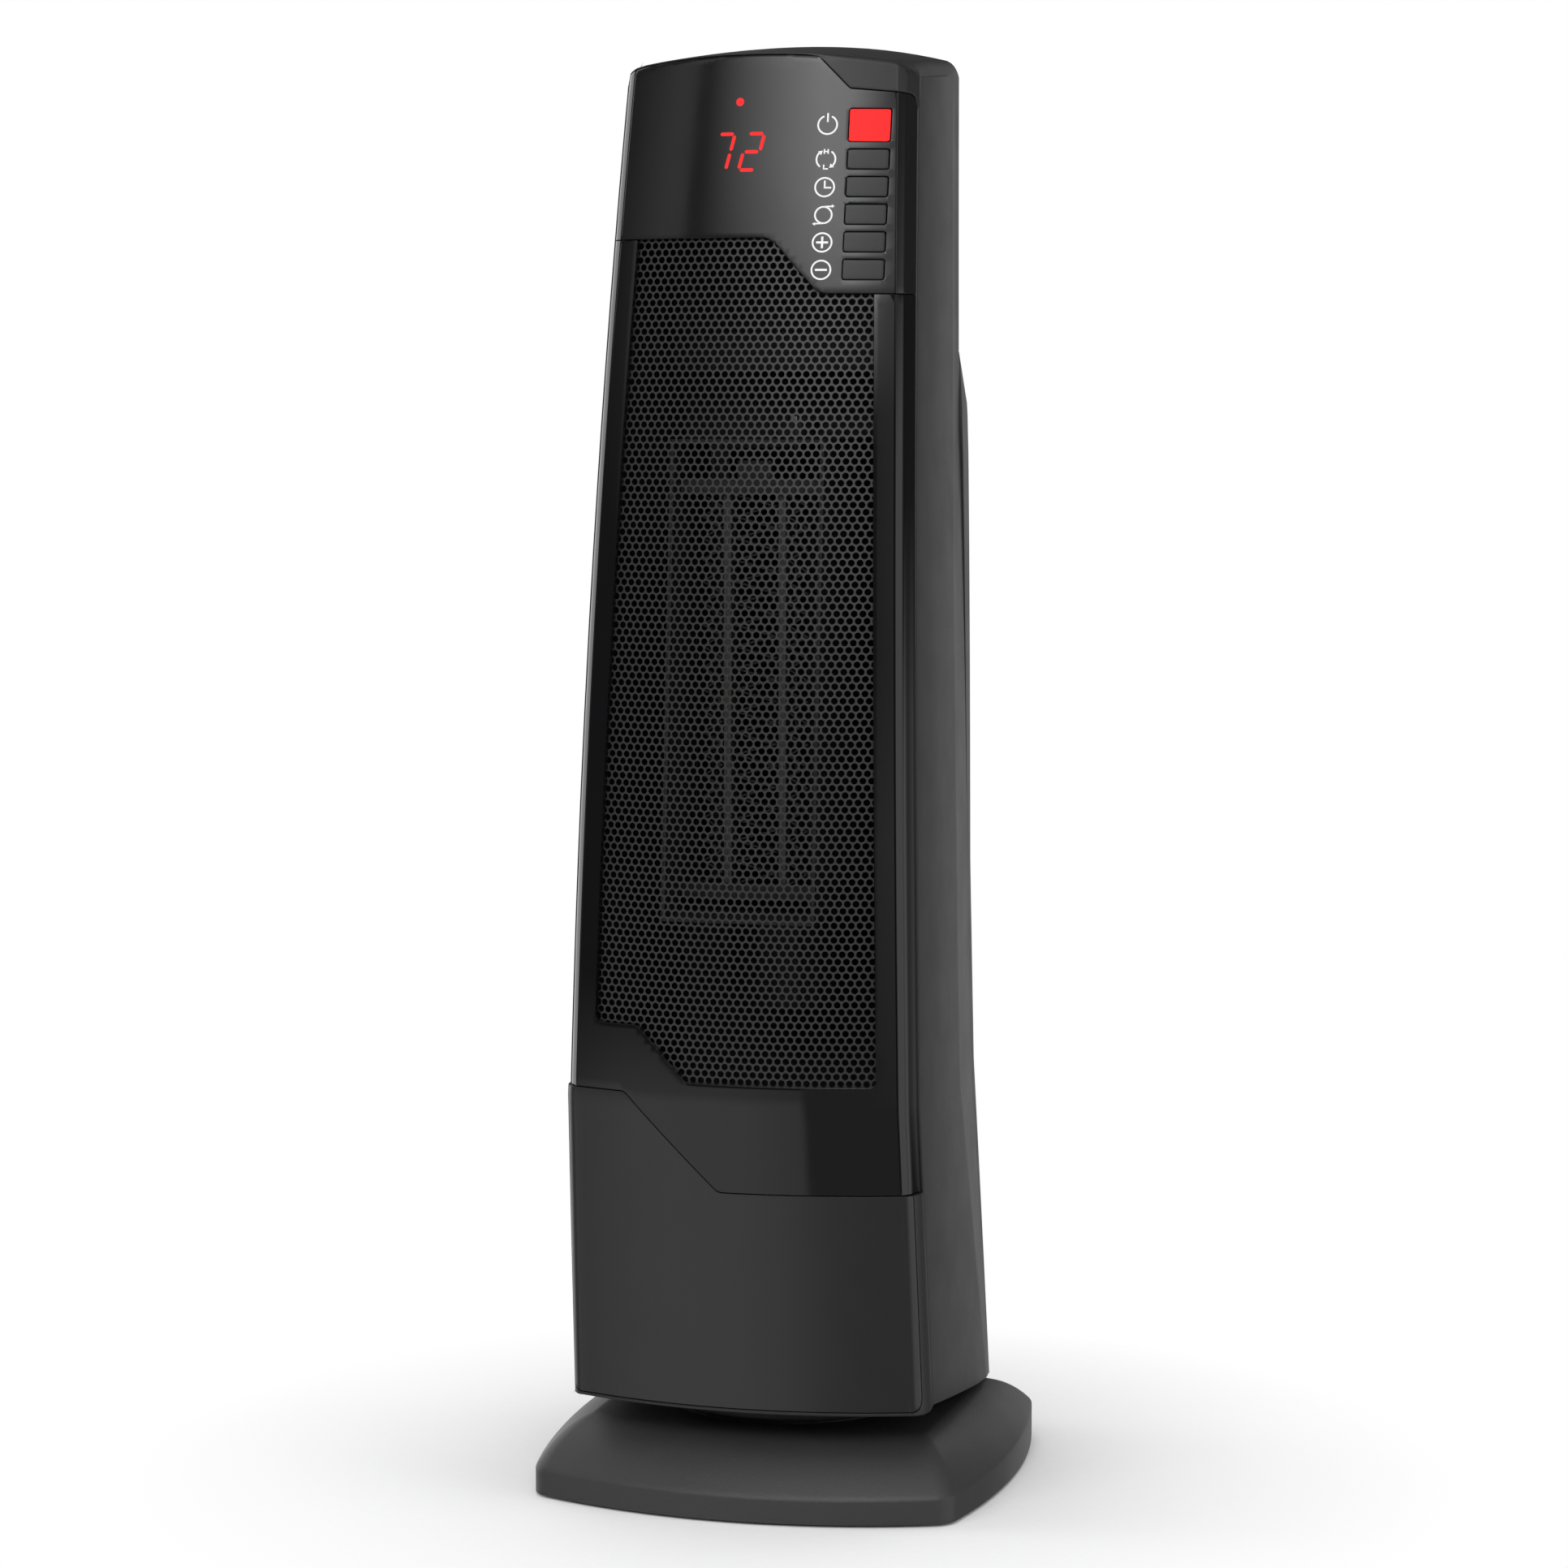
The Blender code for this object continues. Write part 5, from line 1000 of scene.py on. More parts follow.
@dataclass(frozen=True)
class FrontPanels:
    """Control panel, gloss frame of the outlet and the lower cover, cut from the bowed front."""

    wall: float = 1.8 * MM
    edge: float = 0.20 * MM
    seam: float = 0.4 * MM
    lip: float = 0.45 * MM
    panel_left_z: float = 506.0 * MM
    panel_right_z: float = 484.0 * MM
    panel_step: tuple = (8.6 * MM, 28.4 * MM)
    panel_cut: float = 4.0 * MM
    notch_top_x: float = 24.1 * MM
    notch: tuple = (36.9 * MM, 564.0 * MM)
    side_top_z: float = 561.7 * MM
    bezel_left_z: float = 169.9 * MM
    bezel_right_z: float = 131.5 * MM
    bezel_step: tuple = (-44.0 * MM, -4.8 * MM)
    bezel_cut: float = 2.0 * MM
    mesh_inset: float = 14.0 * MM
    mesh_left_z: float = 196.6 * MM
    mesh_right_z: float = 174.9 * MM
    mesh_step: tuple = (-38.5 * MM, -17.1 * MM)
    mesh_cuts: tuple = (3.0 * MM, 2.0 * MM, 2.0 * MM, 3.5 * MM)
    pitch: float = 3.0 * MM
    edge_degrees: float = 70.0
    side_points: int = 24
    end_points: int = 12
    top_points: int = 26
    shoulder_points: int = 14
    crease_points: int = 120
    notch_cuts: tuple = (1.0 * MM, 0.6 * MM)
    corner: float = 7.5 * MM
    corner_fall: float = 5.0 * MM
    cover_z: float = 43.0 * MM
    cover_share: float = 0.41
    cover_corner: float = 6.0 * MM

    def shoulder_top(self, v: Array, limit: float) -> Array:
        """The panel's upper edge right of its notch: nearly level, then round down to the side.

        Args:
            v: First parameters.
            limit: Where the surface ends.

        Returns:
            Heights.
        """
        near = np.clip((limit - v) / self.corner, 0.0, 1.0)
        line = np.interp(v, (self.notch_span()[1], limit), (self.notch[1], self.side_top_z))
        return line - self.corner_fall * (1.0 - np.sqrt(near)) ** 2

    def notch_span(self) -> tuple:
        """First parameters at which the notch starts and ends."""
        return float(spread(self.notch_top_x, TOWER.top_front_z)), float(spread(*self.notch))

    def panel_seam(self, drop: float) -> Array:
        """The seam under the control panel from the left to the right, lowered by the drop."""
        return stepped(self.panel_left_z, self.panel_step, self.panel_right_z, self.panel_cut, drop)

    def lower_seam(self, rise: float) -> Array:
        """The seam over the lower cover from the left to the right, raised by the rise."""
        return stepped(self.bezel_left_z, self.bezel_step, self.bezel_right_z, self.bezel_cut, -rise)

    def mesh_side(self, z: Array) -> Array:
        """Half the outlet's width."""
        return TOWER.half_width(np.asarray(z, float)) - self.mesh_inset

    def outlet(self, grow: float = 0.0) -> Array:
        """The outlet's lower edge and sides in x and z, from the upper right down and up to the left.

        Args:
            grow: How far it is grown.

        Returns:
            Points in x and z.
        """
        right = np.linspace(self.panel_right_z, self.mesh_right_z - grow, self.side_points)
        left = np.linspace(self.mesh_left_z - grow, self.panel_left_z, self.side_points)
        right_side = np.column_stack([self.mesh_side(right) + grow, right])
        left_side = np.column_stack([-self.mesh_side(left) - grow, left])
        low = np.array([(self.mesh_step[1], self.mesh_right_z), (self.mesh_step[0], self.mesh_left_z)])
        return np.concatenate([right_side, low - grow, left_side])

    def control_panel(self, keys: "Keys") -> Item:
        """The control panel with its notch, rounded corners and openings for the keys.

        Args:
            keys: The buttons.

        Returns:
            The panel.
        """
        surface = FrontSurface()
        limit = surface.limit()
        seam = clipped(self.panel_seam(0.0), limit)
        top_v = np.concatenate([np.linspace(self.notch_span()[0], -FLAT, self.top_points),
                                -FLAT - np.linspace(0.0, surface.reach, self.shoulder_points)[1:]])
        top = np.column_stack([top_v, under_top(surface, top_v, self.lip + self.seam)])
        right_v = limit - self.corner * np.linspace(0.0, 1.0, self.end_points) ** 2
        right = np.column_stack([right_v, self.shoulder_top(right_v, limit)])
        outline = np.concatenate([seam, right, laid_out([self.notch]), top])
        cuts = [0.0] * len(outline)
        notch = len(seam) + self.end_points
        cuts[notch: notch + 2] = self.notch_cuts
        outline = filleted(outline, cuts)
        crease_v = np.linspace(-limit, top_v[0], self.crease_points)
        crease = np.column_stack([crease_v, under_top(surface, crease_v, surface.brow)])
        return self.finished("panel_skin", surface, outline, keys.openings(), crease)

    def finished(self, name: str, surface: FrontSurface, outline: Array, holes: Sequence[Array] = (),
                 crease: Array = np.empty((0, 2))) -> Item:
        """A panel cut out, given its wall and its rounded edges."""
        sheet = plate(name, surface, outline, holes, self.pitch, surface.columns(), crease)
        return smooth(walled(sheet, self.wall, self.edge, self.edge_degrees))

    def grille_bezel(self) -> Item:
        """The gloss frame round the outlet, open at the top.

        Returns:
            The frame.
        """
        surface = FrontSurface()
        limit = surface.limit()
        top = clipped(self.panel_seam(self.seam), limit)
        low = clipped(self.lower_seam(self.seam / 2.0), limit)
        inner = laid_out(self.outlet())
        inner[0, 1] = np.interp(inner[0, 0], top[:, 0], top[:, 1])
        inner[-1, 1] = np.interp(inner[-1, 0], top[:, 0], top[:, 1])
        cuts = [0.0] * len(inner)
        corner = self.side_points - 1
        cuts[corner: corner + 4] = self.mesh_cuts
        inner = filleted(inner, cuts)
        outline = np.concatenate([low, top[-1:], inner, top[:1]])
        return self.finished("bezel_skin", surface, outline)

    def lower_cover(self) -> Item:
        """The plain cover under the outlet, its lower corners rounded.

        Returns:
            The cover.
        """
        surface, limit = self.lower_surface()
        top = clipped(self.lower_seam(-self.seam / 2.0), limit)[::-1]
        inset = self.cover_corner * np.linspace(0.0, 1.0, self.end_points) ** 2
        low_v = np.concatenate([inset - limit, limit - inset[::-1]])
        low = np.column_stack([low_v, self.cover_low(low_v, limit)])
        return self.finished("lower_cover_skin", surface, np.concatenate([low, top]))

    def lower_surface(self) -> tuple:
        """The plain surface of the lower cover and its frame, and where the cover ends on it."""
        surface = FrontSurface(foot_inset=0.0, groove=0.0, plain=True)
        return surface, FLAT + self.cover_share * surface.reach

    def cover_low(self, v: Array, limit: float) -> Array:
        """The lower cover's lower edge, which rounds up at both ends."""
        near = np.clip((limit - np.abs(v)) / self.cover_corner, 0.0, 1.0)
        return self.cover_z + self.cover_corner * (1.0 - np.sqrt(near)) ** 2

    def build(self, finishes: Finishes, keys: "Keys") -> None:
        """Makes and dresses the three panels.

        Args:
            finishes: The materials.
            keys: The buttons.
        """
        dressed(self.control_panel(keys), finishes.panel, "satin_black", Body.TOWER, "control_panel")
        dressed(self.grille_bezel(), finishes.gloss, "gloss_black", Body.TOWER, "grille_bezel")
        dressed(self.lower_cover(), finishes.satin, "satin_black", Body.TOWER, "lower_front_cover")


def stepped(left_z: float, step: Spot, right_z: float, cut: float, drop: float) -> Array:
    """A line from the left to the right with a slanting step, its two bends rounded.

    Args:
        left_z: The height at the left.
        step: Where the step starts and ends.
        right_z: The height at the right.
        cut: How far from a bend its curve starts.
        drop: How far the line is lowered.

    Returns:
        Points in x and z.
    """
    side = TOWER.bottom_half_width * 2.0
    line = [(-side, left_z), (step[0], left_z), (step[1], right_z), (side, right_z)]
    made = filleted(line, [0.0, cut, cut, 0.0])
    made[:, 1] -= drop
    return made


def clipped(line: Array, limit: float) -> Array:
    """A line in x and z laid on the front surface and cut at its two limits.

    Args:
        line: Points in x and z.
        limit: Where the surface ends.

    Returns:
        The line in the surface's parameters.
    """
    line = laid_out(line)
    line[0, 0], line[-1, 0] = -limit, limit
    return line


@dataclass(frozen=True)
class Keys:
    """The six push buttons in their openings, from the top down."""

    left_x: float = 37.3 * MM
    width: float = 15.3 * MM
    top_z: float = 556.1 * MM
    power_height: float = 12.7 * MM
    height: float = 7.6 * MM
    spacing: float = 3.2 * MM
    clearance: float = 0.33 * MM
    proud: float = 0.4 * MM
    depth: float = 3.4 * MM
    corner: float = 1.3 * MM
    edge: float = 0.35 * MM
    pitch: float = 2.5 * MM
    names: tuple = ("power", "heat", "timer", "swing", "plus", "minus")

    def span(self, number: int) -> tuple:
        """The lower and upper height of a button.

        Args:
            number: The button's place in the row.

        Returns:
            The two heights.
        """
        top = self.top_z
        if number:
            top -= self.power_height + self.spacing + (number - 1) * (self.height + self.spacing)
        return top - (self.height if number else self.power_height), top

    def box(self, number: int, grow: float) -> Array:
        """A button's rounded outline on the front surface, grown by a margin.

        Args:
            number: The button's place in the row.
            grow: How far it is grown.

        Returns:
            The outline in the surface's parameters.
        """
        low, high = self.span(number)
        left, right = self.left_x - grow, self.left_x + self.width + grow
        return rectangle(left, low - grow, right, high + grow, self.corner, laid_out)

    def openings(self) -> list:
        """The edges of the buttons' openings."""
        return [self.box(number, self.clearance) for number in range(len(self.names))]

    def build(self, finishes: Finishes) -> None:
        """Makes each button and lets it ride on its own body.

        Args:
            finishes: The materials.
        """
        surface = FrontSurface(depth=-self.proud)
        for number, name in enumerate(self.names):
            sheet = plate(f"{name}_key", surface, self.box(number, 0.0), (), self.pitch)
            key = smooth(walled(sheet, self.depth, self.edge, segments=3))
            finish, slot = (finishes.button, "satin_black") if number else (finishes.red, "red_plastic")
            dressed(key, finish, slot, f"{name}_button", f"{name}_button")


class Marks:
    """Printed symbols and lit digits as thin flat ribbons on the control panel."""

    def __init__(self) -> None:
        """Starts with no marks."""
        self.surface = FrontSurface(depth=-0.03 * MM)
        self.wall = 0.10 * MM
        self.edge = 0.02 * MM
        self.pitch = 1.2 * MM
        self.step = 9.0
        self.head_share = 0.62
        self.items: list = []

    def add(self, outline: Array, holes: Sequence[Array] = ()) -> None:
        """One filled shape in x and z.

        Args:
            outline: The edge's points.
            holes: Openings' edges.
        """
        outline = laid_out(outline)
        after = np.roll(outline, -1, axis=0)
        area = np.sum(outline[:, 0] * after[:, 1] - after[:, 0] * outline[:, 1])
        outline = outline if area > 0.0 else outline[::-1]
        self.items.append(plate("mark", self.surface, outline, [laid_out(h) for h in holes], self.pitch))

    def line(self, points: Sequence[Spot], width: float) -> None:
        """A stroke of even width along points, its ends square.

        Args:
            points: Points in x and z.
            width: The stroke's width.
        """
        points = np.asarray(points, float)
        aside = left_normals(points) * width / 2.0
        self.add(np.concatenate([points - aside, (points + aside)[::-1]]))

    def arc(self, centre: Spot, radius: float, start: float, end: float, width: float) -> None:
        """A stroke along a part of a circle, its angles in degrees."""
        turn = np.linspace(start, end, max(4, int(abs(end - start) / self.step)))
        self.line(circle(turn, radius, centre), width)

    def ring(self, centre: Spot, radius: float, width: float) -> None:
        """A whole circle."""
        turn = np.arange(0.0, 360.0, self.step)
        self.add(circle(turn, radius + width / 2.0, centre), [circle(turn, radius - width / 2.0, centre)])

    def disc(self, centre: Spot, radius: float) -> None:
        """A filled circle."""
        self.add(circle(np.arange(0.0, 360.0, 15.0), radius, centre))

    def head(self, tip: Spot, degrees: float, size: float) -> None:
        """An arrow's head that points in a direction.

        Args:
            tip: The arrow's tip.
            degrees: Its direction.
            size: Its length.
        """
        turn = math.radians(degrees)
        along = np.array([math.cos(turn), math.sin(turn)])
        aside = np.array([-along[1], along[0]])
        back = np.asarray(tip) - along * size
        half = aside * size * self.head_share
        self.add(np.array([tip, back + half, back - half]))

    def done(self, name: str, finish: bpy.types.Material, slot: str) -> Item:
        """Joins the marks and gives them their small thickness."""
        made = walled(merged(name, self.items), self.wall, self.edge, segments=1)
        return dressed(made, finish, slot, Body.TOWER)


@dataclass(frozen=True)
class Symbols:
    """The symbols beside the buttons."""

    x: float = 29.0 * MM
    radius: float = 3.62 * MM
    stroke: float = 0.66 * MM
    heights: tuple = (549.8 * MM, 536.3 * MM, 525.4 * MM, 514.5 * MM, 503.8 * MM, 493.1 * MM)

    def strokes(self, marks: Marks, place: Spot, *lines: Spot) -> None:
        """Straight strokes of one symbol.

        Args:
            marks: Where they are drawn.
            place: The symbol's middle.
            lines: Both ends' x and z from the middle and the width, in millimetres.
        """
        for x0, z0, x1, z1, width in lines:
            ends = [(place[0] + x0 * MM, place[1] + z0 * MM), (place[0] + x1 * MM, place[1] + z1 * MM)]
            marks.line(ends, width * MM)

    def build(self, finishes: Finishes) -> None:
        """Draws all six symbols.

        Args:
            finishes: The materials.
        """
        marks = Marks()
        wide, bold = self.stroke / MM, 0.85
        power, heat, timer, swing, plus, minus = ((self.x, z) for z in self.heights)
        marks.arc(power, self.radius, 112.0, 426.0, self.stroke)
        self.strokes(marks, power, (0.0, 1.1, 0.0, 4.6, wide))
        self.heat_symbol(marks, heat)
        marks.ring(timer, self.radius, self.stroke)
        self.strokes(marks, timer, (0.0, 2.6, 0.0, -0.55, wide), (0.0, -0.22, 2.5, -0.22, wide))
        self.swing_symbol(marks, swing)
        for place in (plus, minus):
            marks.ring(place, self.radius, self.stroke)
            self.strokes(marks, place, (-2.3, 0.0, 2.3, 0.0, bold))
        self.strokes(marks, plus, (0.0, -0.42, 0.0, -2.3, bold), (0.0, 0.42, 0.0, 2.3, bold))
        marks.done("panel_symbols", finishes.print, "white_plastic")

    def heat_symbol(self, marks: Marks, place: Spot) -> None:
        """Two arcs with arrows that run between a high and a low setting.

        Args:
            marks: Where they are drawn.
            place: The symbol's middle.
        """
        x, z = place
        marks.arc(place, self.radius, 57.0, -52.0, self.stroke)
        marks.arc(place, self.radius, 234.0, 128.0, self.stroke)
        for side in (-1.0, 1.0):
            tip = (x + side * 1.35 * MM, z - side * 3.4 * MM)
            marks.head(tip, 42.0 + 90.0 * (1.0 + side), 1.6 * MM)
            self.strokes(marks, place, (side * 0.72, 2.1, side * 0.72, 4.0, 0.55))
        self.strokes(marks, place, (-0.6, 3.05, 0.6, 3.05, 0.5), (-0.75, -2.1, -0.75, -4.0, 0.55),
                     (-0.6, -3.75, 0.95, -3.75, 0.5))

    def swing_symbol(self, marks: Marks, place: Spot) -> None:
        """A circle with two lines that leave it at its top and bottom and end in arrows.

        Args:
            marks: Where they are drawn.
            place: The symbol's middle.
        """
        x, z = place
        marks.ring(place, 3.2 * MM, self.stroke)
        for side in (-1.0, 1.0):
            self.strokes(marks, place, (side * -0.2, side * 3.2, side * 3.3, side * 3.42, 0.6))
            marks.head((x + side * 4.2 * MM, z + side * 3.45 * MM), 90.0 * (1.0 - side), 1.15 * MM)


# A digit's corners go from the lower left to the upper right; each segment joins two of them.
SEGMENTS = {"a": (4, 5), "b": (5, 3), "c": (3, 1), "d": (0, 1), "e": (2, 0), "g": (2, 3)}


@dataclass(frozen=True)
class Display:
    """Two lit digits made of slanted segments, and the lamp over them."""

    lamp: tuple = (-6.2 * MM, 559.2 * MM)
    lamp_radius: float = 1.65 * MM
    stroke: float = 1.4 * MM
    top_z: float = 546.6 * MM
    middle_z: float = 539.5 * MM
    bottom_z: float = 532.4 * MM
    slant_share: float = 0.236
    width: float = 6.7 * MM
    left_x: tuple = (-14.3 * MM, -2.2 * MM)
    gap: float = 0.45 * MM
    point_share: float = 0.42
    shown: tuple = ("abc", "abged")

    def segment(self, marks: Marks, start: Spot, end: Spot) -> None:
        """One segment between two corners, shortened by the gap and pointed at its ends.

        Args:
            marks: Where they are drawn.
            start: One corner.
            end: The other corner.
        """
        start, end = np.asarray(start), np.asarray(end)
        along = (end - start) / np.linalg.norm(end - start)
        aside = np.array([-along[1], along[0]]) * self.stroke / 2.0
        start, end = start + along * self.gap, end - along * self.gap
        inner = self.stroke * self.point_share
        marks.add(np.array([start, start + along * inner - aside, end - along * inner - aside, end,
                            end - along * inner + aside, start + along * inner + aside]))

    def build(self, finishes: Finishes) -> None:
        """Draws the lamp and the digits.

        Args:
            finishes: The materials.
        """
        marks = Marks()
        marks.disc(self.lamp, self.lamp_radius)
        for left, letters in zip(self.left_x, self.shown):
            corners = [(left + (z - self.top_z) * self.slant_share + across, z)
                       for z in (self.bottom_z, self.middle_z, self.top_z) for across in (0.0, self.width)]
            for letter in letters:
                self.segment(marks, *(corners[end] for end in SEGMENTS[letter]))
        marks.done("display_digits", finishes.lit, "red_plastic")


@dataclass(frozen=True)
class OutletMesh:
    """The perforated sheet: round holes in staggered rows, each cut in its own six-sided cell."""

    pitch: float = 3.265 * MM
    row: float = 2.82 * MM
    radius: float = 1.32 * MM
    thickness: float = 0.45 * MM
    depth: float = 2.2 * MM
    margin: float = 1.6 * MM
    half: float = 60.0 * MM
    columns: int = 17
    sides: int = 12

    def cell(self) -> tuple:
        """One cell's points and triangles: its corners, the hole's front edge and its rear edge.

        Returns:
            Points and triangles.
        """
        third = 1.0 / 3.0
        corners = np.array([(0.5, -third), (0.5, third), (0.0, 2 * third),
                            (-0.5, third), (-0.5, -third), (0.0, -2 * third)]) * (self.pitch, self.row)
        hole = circle(np.arange(self.sides) * 360.0 / self.sides, self.radius)
        points = np.column_stack([np.concatenate([corners, hole, hole]),
                                  [0.0] * 6 + [0.0] * self.sides + [self.thickness] * self.sides])
        angle = np.degrees(np.arctan2(corners[:, 1], corners[:, 0])) % 360.0
        nearest = [int(round(a / 360.0 * self.sides)) % self.sides for a in angle]
        faces = []
        for i in range(6):
            a, b = nearest[i], nearest[(i + 1) % 6]
            count = (b - a) % self.sides
            ring = [6 + (a + k) % self.sides for k in range(count + 1)]
            half = count // 2
            faces += [(i, ring[k + 1], ring[k]) for k in range(half)]
            faces.append((i, (i + 1) % 6, ring[half]))
            faces += [((i + 1) % 6, ring[k + 1], ring[k]) for k in range(half, count)]
        for k in range(self.sides):
            a, b = 6 + k, 6 + (k + 1) % self.sides
            faces += [(a, b, b + self.sides), (a, b + self.sides, a + self.sides)]
        return points, np.array(faces)

    def build(self, panels: FrontPanels, finishes: Finishes) -> None:
        """Lays the cells on the bowed front wherever the outlet, grown by a margin, is.

        Args:
            panels: The front panels.
            finishes: The materials.
        """
        low, high = panels.mesh_right_z - self.margin, panels.panel_left_z + self.margin
        rows = np.arange(low, high, self.row)
        columns = np.arange(-self.columns, self.columns + 1) * self.pitch
        centres = np.stack(np.meshgrid(columns, rows), -1)
        centres[1::2, :, 0] += self.pitch / 2.0
        centres = centres.reshape(-1, 2)
        edge = panels.outlet(self.margin)
        seam = panels.panel_seam(-self.margin)
        seam = seam[np.abs(seam[:, 0]) < self.half]
        top = seam[(seam[:, 0] > edge[-1, 0]) & (seam[:, 0] < edge[0, 0])]
        edge = np.concatenate([[(edge[0, 0], seam[-1, 1])], edge, [(edge[-1, 0], seam[0, 1])], top])
        centres = centres[inside(edge, centres)]
        points, faces = self.cell()
        spots = centres[:, None, :] + points[None, :, :2]
        x, z = spots[..., 0], spots[..., 1]
        bow = TOWER.front_bulge * (1.0 - (x / TOWER.flat_half(z)) ** 2)
        y = TOWER.front_edge(z) - bow + self.depth + points[None, :, 2]
        placed = stacked(x, y, z)
        numbers = faces[None] + (np.arange(len(centres)) * len(points))[:, None, None]
        sheet = from_arrays("outlet_mesh", placed.reshape(-1, 3), numbers.reshape(-1, 3))
        sheet.data.shade_flat()
        dressed(sheet, finishes.mesh, "mesh_black", Body.TOWER, "mesh_grille")


# Housing


@dataclass(frozen=True)
class Housing:
    """Side walls, arched top, flush front corner and the strip under the lower cover in one skin."""

    wall: float = 2.0 * MM
    edge: float = 0.35 * MM
    flange: float = 9.0 * MM
    side_radius: float = 5.2 * MM
    rear_radius: float = 6.2 * MM
    lip_radius: float = 0.35 * MM
    corner_radius: float = 2.2 * MM
    foot_lift: float = 0.7 * MM
    foot_radius: float = 1.9 * MM
    foot_reach: float = 5.0 * MM
    foot_run: float = 80.0 * MM
    side_bow: float = 0.9 * MM
    rear_ease: float = 8.0 * MM
    corner_start: float = 24.0 * MM
    corner_growth: float = 14.0 * MM
    spine_low: tuple = (-42.0 * MM, -26.0 * MM)
    spine_high: tuple = (42.0 * MM, 22.0 * MM)
    tongue: float = 1.2 * MM
    tongue_gap: float = 0.4 * MM
    tongue_edge: float = 0.2 * MM
    tongue_height: float = 8.0 * MM
    blend_height: float = 20.0 * MM
    wall_rows: int = 9
    band_rows: int = 14
    side_rows: int = 70
    flange_rows: int = 50
    foot_points: int = 14
    edge_steps: int = 7
    flange_shares: tuple = (1.0, 0.66, 0.33, 0.0)
    top_shares: tuple = (0.05, 0.12, 0.2, 0.3, 0.42, 0.55, 0.7, 0.85, 1.0)

    def side(self, z: Array, s: Array, whole: bool) -> Array:
        """The right side's plan from the front corner to the rear.

        Args:
            z: Heights.
            s: 0 to 1 along the flat side, 1 to 2 along its turned edge, 2 to 3 along the facet.
            whole: Whether the facet runs on to the rear corner or stops at the rear cover's seam.

        Returns:
            Positions.
        """
        half, side = TOWER.half_width(z), TOWER.side_rear(z)
        flat, turned, facet = (np.clip(s - k, 0.0, 1.0) for k in range(3))
        start = side + TOWER.side_edge_depth
        rear = TOWER.tower_rear(z) - TOWER.rear_corner_radius
        end = rear
        if not whole:
            near = np.clip((z - TOWER.hump_top_z) / self.rear_ease + 1.0, 0.0, 1.0)
            end = TOWER.housing_rear(z) - TOWER.rear_corner_radius * near**2
        share = np.clip((end - start) / np.maximum(rear - start, MM), 0.0, 1.0)
        edge_x = half - TOWER.side_edge_inset
        end_x = edge_x + (TOWER.rear_half_width(z) - edge_x) * share
        rim = TOWER.rim(z)
        y = rim + (side - rim) * flat + TOWER.side_edge_depth * turned + (end - start) * facet
        x = half - TOWER.side_edge_inset * turned**2 + (end_x - edge_x) * facet
        x = x + self.side_bow * 4.0 * flat * (1.0 - flat)
        return stacked(x, y, z)

    def rear(self, z: Array, s: Array) -> Array:
        """The right half of the rear: 0 to 1 round the corner, 1 to 2 on to the middle.

        Args:
            z: Heights.
            s: The share of the way.

        Returns:
            Positions.
        """
        radius = TOWER.rear_corner_radius
        turn = np.clip(s, 0.0, 1.0) * math.pi / 2.0
        reach = TOWER.rear_half_width(z) - radius
        x = (reach + radius * np.cos(turn)) * (1.0 - np.clip(s - 1.0, 0.0, 1.0))
        x = np.where(s > 1.0, reach * (2.0 - s), x)
        y = TOWER.tower_rear(z) - radius + radius * np.sin(turn)
        return stacked(x, y, z)

    def stations(self) -> tuple:
        """Column values of the front, the side and the rear.

        Returns:
            The front's surface, and the column values of front, side and rear.
        """
        surface = FrontSurface(foot_inset=0.0, groove=0.0)
        start, end = FrontPanels().notch_span()
        front = np.concatenate([surface.columns(), np.linspace(-FLAT, start, 20)[1:],
                                np.linspace(start, end, 7)[1:], np.linspace(end, FLAT, 7)[1:-1]])
        front = np.unique(np.round(front, 9))
        side = np.concatenate([[0.03, 0.06, 0.1], np.linspace(0.0, 1.0, 8)[1:], 1.0 + np.arange(1, 9) / 4.0])
        rear = np.concatenate([np.linspace(0.0, 1.0, 6)[1:], np.linspace(1.0, 2.0, 9)[1:]])
        return surface, front, side, rear

    def loop(self, z: Array, stations: tuple) -> Array:
        """The whole plan at heights given for each column: front, right side, rear and left side.

        Args:
            z: Heights.
            stations: Column values, as from stations().

        Returns:
            Positions, a row for each row of heights.
        """
        surface, front, side, rear = stations
        ends = np.cumsum([len(front), len(side), len(rear), len(rear) - 1, len(side)])
        parts = np.split(z, ends, axis=1)
        mirror = np.array([-1.0, 1.0, 1.0])
        return np.concatenate([
            surface(front[None, :], parts[0]),
            self.side(parts[1], side[None, :], True),
            self.rear(parts[2], rear[None, :]),
            self.rear(parts[3], rear[None, -2::-1]) * mirror,
            self.side(parts[4], side[None, ::-1], True) * mirror,
        ], axis=1)

    def front_low(self, surface: FrontSurface, v: Array, panels: FrontPanels) -> Array:
        """The lower edge of the housing's own front: over the panel's top edge and beside its notch.

        Args:
            surface: The surface it lies on.
            v: First parameters.
            panels: The front panels.

        Returns:
            Heights.
        """
        arch = under_top(surface, v, panels.lip)
        (start, notch_v), notch_z = panels.notch_span(), panels.notch[1] + panels.seam
        start_z = float(under_top(surface, np.array([start]), panels.lip)[0])
        slant = np.interp(v, (start, notch_v), (start_z, notch_z))
        beside = np.where(v > notch_v, panels.shoulder_top(v, surface.limit()) + panels.seam, slant)
        return np.where(v > start, beside, arch)

